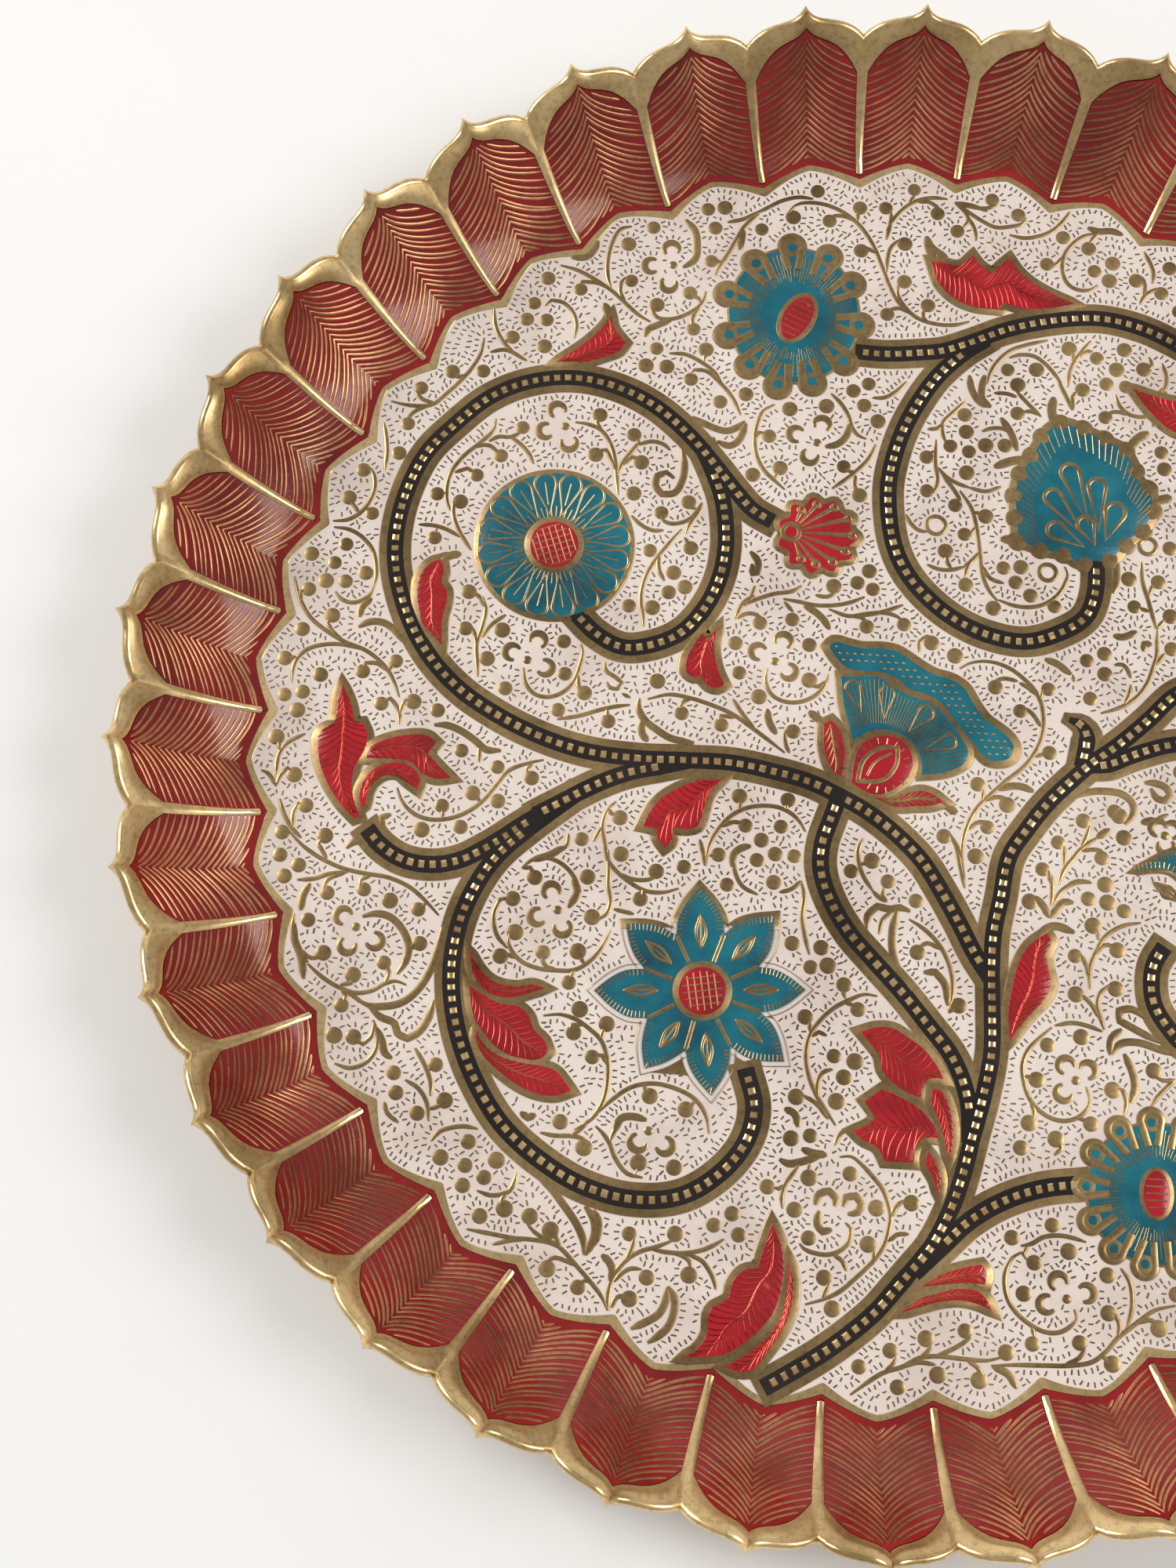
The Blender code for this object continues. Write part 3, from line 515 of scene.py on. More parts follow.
def rim_surface(petal, t, v, depth, out=0.0):
    """Points of the rim. Below 0, v counts millimetres inside the crease, on the flat."""
    raised = np.maximum(v, 0.0)
    share, offset = rim_place(t, raised)
    radius, height = profile(share, raised)
    low = profile(share, np.maximum(raised - 0.01, 0.0))
    high = profile(share, raised + 0.01)
    slope = np.where(v > 0, np.arctan2(high[1] - low[1], high[0] - low[0]), 0.0)
    radius = radius + depth * np.sin(slope) + out * np.cos(slope) + np.minimum(v, 0.0)
    height = height - depth * np.cos(slope) + out * np.sin(slope)
    angle = math.pi / 2 + 2 * HALF_PETAL * petal + offset
    return np.stack([radius * np.cos(angle), radius * np.sin(angle), LAND + height], axis=-1)


def panel_end(t):
    return PANEL_TOP - PANEL_FALL * np.minimum(np.abs(t), 1.0) ** 3


def ground_inset(t):
    """How far inside the crease the white ground ends."""
    share = np.minimum(np.where(t > 1, 1.0, np.abs(t)), 1.0)
    return RED_LINE + GROUND_BORDER + GROUND_SCALLOP * share ** 2


def petal_columns():
    """Places across a panel and its rib, and which are on the rib."""
    half = np.linspace(0, 1, PANEL_COLUMNS // 2 + 1) ** 1.25
    panel = np.concatenate([-half[:0:-1], half])
    rib = np.linspace(1, 3, RIB_COLUMNS + 1)
    return np.concatenate([panel, rib]), np.arange(len(panel) + len(rib)) >= len(panel)


def make_plate():
    t, on_rib = petal_columns()
    crown = np.where(on_rib, 1 - (t - 2) ** 2, 0.0)
    end = panel_end(t)
    inset = ground_inset(t)
    wall = 0.01
    rows = [(-inset, GROUND_RECESS, 0, 0), (-inset + 0.05, 0.05, 0, 1), (-inset + 0.12, 0, 0, 1),
            (-RED_LINE - 0.12, 0, 0, 1), (-RED_LINE - 0.05, 0.05, 0, 1), (-RED_LINE, PANEL_DEPTH, 0, 0),
            (-0.02, PANEL_DEPTH, 0, 0)]
    for k in range(PANEL_ROWS + 1):
        share = k / PANEL_ROWS
        v = wall + (end - wall) * share
        rise = RIB_CROWN * min(1.0, 0.5 + 3 * share)
        rows.append((v, np.where(on_rib, -rise * crown, PANEL_DEPTH), 0, 1))
    for k in range(9):
        share = k / 8
        v = end + wall + (LIP_AT - end - wall) * share
        rows.append((v, -(RIB_CROWN * (1 - share) ** 1.5) * crown
                     - BAND_CROWN * math.sin(math.pi * share) * (1 - crown), 0, 1))
    for k in range(9):
        turn = math.pi * k / 8
        rows.append((LIP_AT + 0.004, LIP_THICKNESS / 2 - LIP_BEAD * math.cos(turn),
                     LIP_BEAD * math.sin(turn), 1))
    for k in range(14):
        v = (LIP_AT - 0.01) * (1 - k / 13)
        rows.append((v, FLOOR_THICKNESS + (LIP_THICKNESS - FLOOR_THICKNESS) * v, 0, 1))
    rings = []
    for v, depth, out, _ in rows:
        v = np.broadcast_to(v, t.shape)
        rings.append(np.concatenate([rim_surface(p, t, v, depth, out) for p in range(PETALS)]))
    around = len(rings[0])
    angle = np.arctan2(rings[-1][:, 1], rings[-1][:, 0])
    for radius in UNDERSIDE_RADII:
        flat = np.full(around, LAND - FLOOR_THICKNESS)
        rings.append(np.stack([radius * np.cos(angle), radius * np.sin(angle), flat], axis=1))
    polished = [row[3] for row in rows] + [1] * len(UNDERSIDE_RADII)
    faces = []
    indices = []
    for row in range(len(rings) - 1):
        for i in range(around):
            j = (i + 1) % around
            faces.append((row * around + i, (row + 1) * around + i, (row + 1) * around + j, row * around + j))
        indices += [0 if polished[row] and polished[row + 1] else 1] * around
    last = (len(rings) - 1) * around
    middles = np.array([[0, 0, LAND - FLOOR_THICKNESS], [0, 0, LAND - GROUND_RECESS]])
    points = np.concatenate(rings + [middles])
    middle = len(points) - 2
    for i in range(around):
        j = (i + 1) % around
        faces.append((last + j, last + i, middle))
        faces.append((i, j, middle + 1))
    indices += [0, 1] * around
    make_piece("tray_plate", points, faces, [POLISHED, FLOOR_BRASS], ["tray_body"], 28, indices)


def make_rim_red():
    """Red of the panels, and of the line round the inner end of each rib."""
    t, on_rib = petal_columns()
    panel = t[~on_rib]
    rows = [-RED_LINE + 0.0 * panel, -0.5 * RED_LINE + 0.0 * panel, 0.0 * panel]
    rows += [panel_end(panel) * k / RED_ROWS for k in range(1, RED_ROWS + 1)]
    points = []
    faces = []
    count = 0
    for petal in range(PETALS):
        grid = [rim_surface(petal, panel, v, RED_DEPTH) for v in rows]
        points += grid
        width = len(panel)
        for row in range(len(rows) - 1):
            for i in range(width - 1):
                a = count + row * width + i
                faces.append((a, a + width, a + width + 1, a + 1))
        count += len(rows) * width
        rib = t[on_rib]
        for v in (-RED_LINE, -0.01):
            points.append(rim_surface(petal, rib, np.full(rib.shape, v), RED_DEPTH))
        for i in range(len(rib) - 1):
            a = count + i
            faces.append((a, a + len(rib), a + len(rib) + 1, a + 1))
        count += 2 * len(rib)
    make_piece("rim_red", np.concatenate(points), faces, [RIM_RED], ["rim_enamel"], 60)


def runs_of(mask):
    """Start and end of each run of true values."""
    edges = np.flatnonzero(np.diff(np.concatenate([[0], mask.astype(int), [0]])))
    return zip(edges[::2], edges[1::2])


def make_feathers():
    """Brass lines in the panels: chevrons that point to the petal's tip."""
    relief = Relief()
    t = np.linspace(-0.985, 0.985, FEATHER_POINTS)
    away = np.abs(t)
    for petal in range(PETALS):
        for j in range(-2, FEATHERS):
            level = 0.02 + FEATHER_PITCH * (j + random.uniform(-0.12, 0.12))
            skew = random.uniform(-0.012, 0.012)
            v = level + FEATHER_APEX * (1 - away) ** 2.4 + 0.02 * away ** 4 + skew * t
            keep = (v > 0.015) & (v < panel_end(t) - 0.012)
            for start, stop in runs_of(keep):
                if stop - start < 3:
                    continue
                here, high = t[start:stop], v[start:stop]
                centre = rim_surface(petal, here, high, 0.0)
                tangent = unit_rows(np.gradient(centre, axis=0))
                up = unit_rows(rim_surface(petal, here, high, -0.5) - centre)
                side = np.cross(up, tangent)
                share = np.linspace(0, 1, len(here))
                half = FEATHER_HALF * np.minimum(1, 0.45 + 5 * np.minimum(share, 1 - share))[:, None]
                half = half * random.uniform(0.85, 1.15)
                rows = [centre + side * half * across + up * height for across, height in
                        ((-1, -PANEL_DEPTH), (-0.9, -0.05), (-0.4, 0.02), (0.4, 0.02), (0.9, -0.05),
                         (1, -PANEL_DEPTH))]
                width = len(rows)
                faces = [(i * width + k, (i + 1) * width + k, (i + 1) * width + k + 1, i * width + k + 1)
                         for i in range(len(here) - 1) for k in range(width - 1)]
                faces += [tuple(range(width)), tuple((len(here) - 1) * width + k for k in range(width))[::-1]]
                relief.add(np.stack(rows, axis=1).reshape(-1, 3), faces)
    relief.make("rim_feathers", FEATHER_BRASS, "brass")


# Artwork, in millimetres

VINES = {
    "trunk": [(-21, -122.6), (-15, -118.9), (-10, -115.6), (-5, -111.7), (-0.7, -107.8), (2.9, -103.5),
              (6.1, -99.6), (9.3, -95.6), (12.6, -89), (14.8, -82.5), (16.6, -75), (18.6, -67), (20, -59),
              (20, -51), (19.8, -43), (20.1, -36), (21.4, -29), (23, -20.5), (26.4, -15), (30.4, -9.6),
              (34.8, -5), (39, -1), (43, 2), (46.5, 5), (50, 8.3), (56, 14.2), (61, 16), (71, 19.5),
              (81, 18.5), (91, 16.5), (100, 20), (105, 29), (104.5, 40), (99.5, 50)],
    "lower_right": [(39, -1.5), (42, -1.2), (46, 0.6), (50, 2.2), (55, 3.7), (64, 4), (74, 1.5), (84, -4),
                    (92, -12), (96, -23), (94, -35), (87, -45), (77, -52), (66, -56.5), (57, -55.5),
                    (53.4, -52), (51, -48), (50.4, -43.6), (51, -40), (53, -36.6)],
    "south_east": [(94.5, -34), (100, -44), (101, -55), (96, -63), (90, -67)],
    "stub": [(37, -2), (37.5, 0.5), (37.9, 4.8), (36.8, 6.6), (34.4, 7.6)],
    "parallel": [(-10.5, -11), (-12, -15.5), (-13.4, -20.2), (-13.6, -25), (-12.1, -30.1), (-7.9, -37.2),
                 (-2.9, -42.6), (2.9, -48.6), (8.2, -54.8), (12, -59.4), (14.4, -64), (15.8, -69),
                 (16.2, -76)],
    "upper": [(19.8, -45), (16.6, -40.3), (13.6, -34.7), (10.4, -29.2), (6.1, -22.7), (1.8, -18.4),
              (-4.3, -13.8), (-10.4, -10.6), (-16.4, -8.1), (-23.2, -6.5), (-31.8, -5.2), (-40, -5.2),
              (-50, -5.4), (-60.7, -4.5), (-69.8, -2), (-78.4, 1.8), (-86.1, 6.6), (-92.7, 13.2),
              (-97.7, 21.6), (-100.7, 31.1), (-101.2, 38.6), (-99.8, 47.4), (-96.4, 56), (-91.1, 62.5),
              (-84.1, 69.1), (-76.1, 72.9), (-67, 74.2), (-58.2, 72.6), (-50.4, 68.9), (-43.4, 63.2),
              (-37.9, 57.1), (-33.2, 51.4), (-29.6, 47.6), (-25.6, 45.4)],
    "to_bars": [(-40.5, 60.5), (-38.2, 55.6), (-36.2, 50.6), (-35.2, 45.7), (-34.8, 39.5), (-35.7, 33),
                (-38.4, 26.4), (-42.9, 20.9), (-48.6, 18), (-54.5, 17.2), (-60, 19.8), (-64.5, 24)],
    "lower_left": [(-40, -5.2), (-45, -6.6), (-51.8, -8.4), (-57.9, -11.1), (-64.3, -14.9), (-69.6, -18.1)],
    "spray_stem": [(-66, -16), (-72, -20.2), (-78, -24.6), (-83.6, -27.8), (-89, -29), (-94.6, -28.3),
                   (-99.3, -25.6), (-102, -22.6)],
    "star_stem": [(-62, -13.4), (-70.7, -20.8), (-76.4, -26.5), (-80, -32.4), (-82.6, -39.6), (-83.6, -48),
                  (-83, -55), (-81, -62.5), (-77.4, -70.2), (-71.8, -78), (-64.3, -84), (-55.9, -88.3),
                  (-46.3, -90.2), (-37.3, -88.9), (-30, -83.9), (-25.8, -78), (-24.6, -72), (-26.6, -64.6)],
    "south_aster_stem": [(6, -100.5), (11.4, -95.2), (16.1, -90.6), (22.5, -86.5), (29.6, -83.8),
                         (38, -82.4)],
    "top": [(-10, 83.6), (-3.9, 83.4), (3.2, 84.1), (8.2, 84.9), (14.5, 87.4), (20.7, 90.2), (28, 92.4),
            (35.9, 93.8), (41.4, 94), (49.1, 92.4), (53.9, 90.4), (62, 86), (71, 79.5), (79, 71), (84, 62),
            (85, 52)],
    "to_palmette": [(17, 88), (12.3, 84.5), (7, 79), (3.2, 73), (0.4, 67), (-1.4, 61), (-2.4, 55),
                    (-2.2, 48.6),
                    (-1, 42), (1.4, 36.6), (5.7, 31.4), (11.8, 26.8), (18.9, 23.9), (26, 23.2),
                    (32.9, 25.6),
                    (37.6, 29), (39.5, 34), (39.8, 41)],
}
SECOND_VINE = ("top", "to_palmette")
FREE_ENDS = ("stub",)
# Where the scrolls aren't drawn they repeat others: turn in degrees, flip across, move
# The photo ends at about x = 55; past SEEN_TO the scrolls are copies, turned and flipped
SEEN_TO = 53
REPEATS = ((0, -1, (0, 0)), (180, 1, (0, 0)), (90, 1, (0, 0)), (-90, 1, (0, 0)), (52, 1, (6, -3)),
           (-128, 1, (-4, 5)), (140, -1, (3, 8)), (-40, -1, (5, -12)), (15, 1, (20, 14)))

LEAVES = {
    "leaf_north_west": [(-71.5, 77.4), (-68.2, 80), (-66, 81.8), (-63.8, 84), (-62, 86.2),
                        (-60.6, 88.7), (-60, 86),
                        (-58.8, 84.3), (-57.3, 82.6), (-58.4, 80.8), (-61, 79.5), (-65, 78), (-68.5, 77.7)],
    "leaf_north": [(5.2, 105), (8, 104.8), (11.2, 104.4), (13.9, 106.9), (15.4, 104.9), (18.2, 102.9),
                   (19.8, 105),
                   (21.6, 106.7), (23.6, 103.8), (26.5, 101.3), (30, 99.3), (35.2, 97.1), (30, 95.8),
                   (24, 95.4),
                   (20.6, 96.4), (19.4, 94.8), (14, 95.2), (10.2, 96.8), (7, 100)],
    "leaf_west": [(-91.6, 33.4), (-91, 30.5), (-91.4, 28.6), (-90.2, 27), (-90, 24.5), (-90.6, 20.5),
                  (-90.5, 17.5),
                  (-90.3, 15.4), (-92.4, 17.6), (-94.4, 19.6), (-95.4, 22.5), (-96.1, 26), (-96, 28.5),
                  (-95.2, 30.6), (-93.6, 32.6)],
    "leaf_under_bars": [(-35.6, 22.6), (-36.2, 19), (-35.9, 16), (-35, 13), (-33.8, 10.7), (-35.2, 9.8),
                        (-37, 10.2),
                        (-38.7, 12.2), (-40, 11.8), (-41.6, 13), (-41.7, 15), (-40.6, 17.8), (-38.6, 21.2),
                        (-37.7, 19.2)],
    "spray_upright": [(-109.3, 6.2), (-107.8, 3.6), (-106.8, 1), (-106.3, -1.6), (-104.6, -1.4),
                      (-103.4, -4),
                      (-103.9, -7.2), (-105.2, -10), (-105.6, -15), (-103.6, -20.4), (-104.6, -20.8),
                      (-107, -18.6),
                      (-109, -16.2), (-110.8, -13.4), (-112.2, -10.4), (-113, -7), (-113, -4.4), (-112, -3),
                      (-110.4, -2.3), (-109.9, 0.4), (-110, 3.2)],
    "spray_upper": [(-103.4, -8.6), (-102.8, -6.5), (-99.6, -4.5), (-95.7, -3.4), (-91.6, -3.3),
                    (-89.8, -4.6),
                    (-91.4, -6.9), (-88.4, -9.8), (-86.4, -11.5), (-89.4, -11.9), (-92.2, -10.9),
                    (-94.6, -8.8),
                    (-98, -8.4)],
    "spray_lower": [(-103.4, -18.6), (-104.2, -15.6), (-103.2, -12.6), (-101.2, -10.4), (-98.4, -9.2),
                    (-95.4, -9.3),
                    (-93.2, -10.8), (-92.4, -12.4), (-92.8, -14.2), (-95, -12.8), (-96.8, -11.4),
                    (-99.4, -11.6),
                    (-101.4, -13.2), (-102.4, -15.4), (-102.8, -18)],
    "leaf_centre": [(-33.4, -8.6), (-37.6, -9.1), (-41.4, -10.6), (-45.2, -13.2), (-47.2, -15.9),
                    (-48.5, -18.9),
                    (-45.8, -19.3), (-45.4, -21.3), (-44.1, -23), (-42.8, -21.8), (-42.4, -18.9),
                    (-39.6, -19),
                    (-37.8, -18.3), (-36.7, -15), (-36.1, -12.3), (-35, -10.3)],
    "leaf_south_west_upper": [(-80.4, -45.4), (-77.5, -49.4), (-75, -51.1), (-70.7, -51.7), (-67.9, -51.1),
                              (-65.4, -51.7), (-67.9, -52.6), (-70.7, -53.6), (-73.9, -53.8),
                              (-77.1, -52.6),
                              (-79.3, -49.7)],
    "leaf_south_west_middle": [(-80, -52), (-76.8, -53.8), (-73.9, -55.1), (-70.2, -55.5), (-68.2, -57.1),
                               (-67, -59.8), (-65, -61.5), (-64, -63.6), (-65.6, -65.2), (-69.6, -65.2),
                               (-73.2, -64), (-76.4, -61.1), (-78.6, -57.9)],
    "leaf_south_west_lower": [(-77.9, -60.1), (-76.8, -62.6), (-73.2, -65.1), (-68.9, -66.1), (-65, -66.5),
                              (-62.5, -67.2), (-60.7, -69), (-59.3, -70.8), (-62.1, -71.9), (-65.7, -71.7),
                              (-69.3, -70.4), (-73.2, -67.9), (-76.4, -65.1), (-78, -61.9)],
    "leaf_south_upper": [(-5, -56.4), (-2.1, -55.4), (1.1, -55.4), (4, -56.9), (7.1, -59), (9.6, -61.9),
                         (11, -64.4),
                         (8.4, -64.5), (7.1, -66.3), (6.8, -68.3), (3.9, -67.2), (1.1, -65.4),
                         (-0.7, -63.3),
                         (-1.3, -60.8), (-3.2, -58.4)],
    "leaf_south_lower": [(-3.8, -69.4), (-0.6, -67), (3, -68.4), (6.4, -70.2), (9.2, -73), (10.6, -75.6),
                         (8, -75.6), (5.6, -77.6), (5.6, -80.4), (0.2, -80.4), (-1.2, -78), (-4.2, -76.6),
                         (-5.8, -75.2), (-2.6, -73.4), (-1.6, -72)],
    "leaf_south_edge": [(8.9, -66.4), (10.4, -66.6), (11.9, -69), (12.8, -72), (13, -75.6), (12.2, -79.4),
                        (11.4, -76), (10.2, -72), (8.8, -69)],
    "leaf_south_foot": [(8.2, -78), (9.7, -79.9), (10.8, -83), (10.5, -86.2), (9.5, -83.2), (7.9, -80.4)],
    "leaf_trunk": [(23.4, -56.5), (23.1, -51), (23.8, -46), (25, -41.2), (27.2, -37.6), (30.2, -35.3),
                   (31.2, -36.8),
                   (30.2, -39.5), (30.6, -42), (31.2, -45.2), (29.8, -48.4), (27.8, -50.6), (25.6, -53.4)],
    "leaf_root_left": [(-20.4, -93), (-18.9, -96), (-18, -99.5), (-17.9, -102.5), (-18.4, -105.6),
                       (-19.7, -109.2),
                       (-21.9, -112.2), (-25, -115), (-28.4, -117.1), (-33, -117.8), (-36, -118.2),
                       (-33.6, -116.6),
                       (-31.7, -113.6), (-31.3, -109.4), (-28, -106.9), (-27.4, -104.2), (-25.4, -101.9),
                       (-22.9, -101.3), (-21.8, -97.5)],
    "leaf_root_edge": [(-17.2, -99), (-16.3, -102.4), (-16.1, -106.4), (-16.9, -110), (-18.6, -113.5),
                       (-20.8, -116.7), (-23.2, -119.6), (-25.6, -120), (-28.2, -119.2), (-25.6, -117.7),
                       (-22.2, -115.2), (-19.5, -112.2), (-17.9, -108.8), (-17.2, -104.6)],
    "leaf_root_right_upper": [(7.6, -102.9), (11.1, -100.6), (14.6, -99.2), (18.6, -98.2), (19.6, -99.6),
                              (19.3, -101.8), (15.7, -101.7), (12, -102.2)],
    "leaf_root_right_lower": [(3.8, -107.8), (7.4, -105), (10.6, -103.9), (14, -102.9), (17.6, -103),
                              (19.4, -104.1),
                              (20.7, -106.4), (18.4, -105.5), (15, -104.9), (11.4, -105.3), (7.8, -106.4)],
}
# Leaves on the right repeat the shapes of others: source, its middle, new middle, turn in degrees, mirrored
REPEATED_LEAVES = {
    "leaf_north_east": ("leaf_north", (17.9, 101.3), (63, 71), -40, True),
    "leaf_far_north_east": ("leaf_north_west", (-62.2, 82.3), (94.7, 57.3), -35, True),
    "leaf_east": ("leaf_west", (-92.8, 24.8), (105, -17), -45, True),
    "leaf_east_inner": ("leaf_centre", (-41.6, -15.3), (84, -19), 90, False),
    "leaf_south_east": ("leaf_under_bars", (-37.5, 15.6), (68, -65), 150, False),
    "leaf_east_upper": ("leaf_trunk", (27.3, -45.4), (101.3, 5.4), -117, False),
}
SPIKES = {
    "leaf_north": [[(6.4, 104.4), (4.9, 107.4), (4.2, 110.6)]],
    "leaf_trunk": [[(27.2, -37.6), (31.4, -33.9), (35.6, -34.8)]],
    "leaf_north_west": [[(-61.4, 87.4), (-61.4, 89.4), (-62.3, 91.2)]],
    "leaf_west": [[(-91.8, 32.6), (-90.2, 34.2), (-87.9, 34.8)]],
}
FAN = {
    "band": [(-13.4, 19.8), (-12.4, 20.8), (-9.5, 20.3), (-6.5, 19.8), (-3, 20), (0, 19.6), (2.4, 18.3),
             (5, 16.6),
             (8, 15.1), (11, 14.4), (13.6, 12.8), (15.6, 9.6), (17.9, 6.6), (20.6, 4.7), (22.7, 3),
             (23.6, 1),
             (22.8, -0.9), (20.6, -1.7), (18.4, -1.4), (16.8, 0.2), (14.6, 2.8), (12.4, 5.4),
             (9.4, 9.2), (6.4, 11),
             (3, 11.9), (0.4, 13.9), (-2.6, 15), (-6, 15.1), (-9.6, 15.5), (-11.9, 17.6)],
    "ribs": [(-10.8, 13.8), (-7.5, 13.9), (-4, 14.1), (-2, 13.4), (0, 12), (2.6, 10.7), (6.2, 9.6),
             (8.8, 7.9),
             (11, 5.8), (13.2, 2.6), (14.6, 0), (14.2, -2.2), (11.8, -4), (8.6, -5), (5.6, -5.4),
             (5.4, -2.4),
             (4.4, 0.2), (2.5, 2), (0, 3.1), (-2.6, 3.4), (-5, 2.7), (-7, 1.5), (-8, 0.4), (-9, 4),
             (-10.2, 8.6)],
    "disc": [(-8.1, -7.8), (-7.8, -3.6), (-6.8, -0.6), (-4.8, 1.3), (-2, 2.1), (1, 1.7), (3, -0.3),
             (3.8, -3.4),
             (2.9, -6), (0.5, -8.4), (-2.9, -9.9), (-6, -9.1)],
    "left": [(-13.9, 3.8), (-12.4, 4.6), (-11, 3.2), (-10, 0.6), (-9.5, -2.6), (-9.8, -6.6), (-11.8, -5.8),
             (-13.1, -3.4), (-13.9, 0)],
    "right": [(-3.6, -10.6), (0.4, -10.2), (3, -9.3), (5.8, -8.6), (8.2, -9.3), (10, -10.6), (7.4, -11.5),
              (4.4, -11.8), (0.6, -12.1)],
}
PALMETTE = [(24, 44.4), (23.6, 50), (23.4, 55), (24.6, 58.8), (26.6, 62.4), (28.4, 66), (30.4, 69),
            (33, 70.2),
            (36, 69.5), (39, 68.2), (42, 66.8), (45, 65.4), (47, 62.4), (48, 59), (50.4, 56.6), (51.1, 54),
            (50.6, 51.2), (49, 48.2), (46.8, 46.4), (44.8, 44), (43, 41.9), (38.8, 40.8), (36.4, 40.4),
            (33.4, 42.2), (30, 42.6)]
STAR_TIPS = [(-36.8, -30.3), (-22.1, -35.1), (-15.7, -49), (-19.3, -62.9), (-32.9, -70.1), (-45.7, -65.8),
             (-56.1, -51.5), (-50.7, -38.3)]
EAST_TIPS = [(47.4, -22), (59.2, -14.2), (69.7, -18.1), (76.4, -27), (76.9, -38.1)]

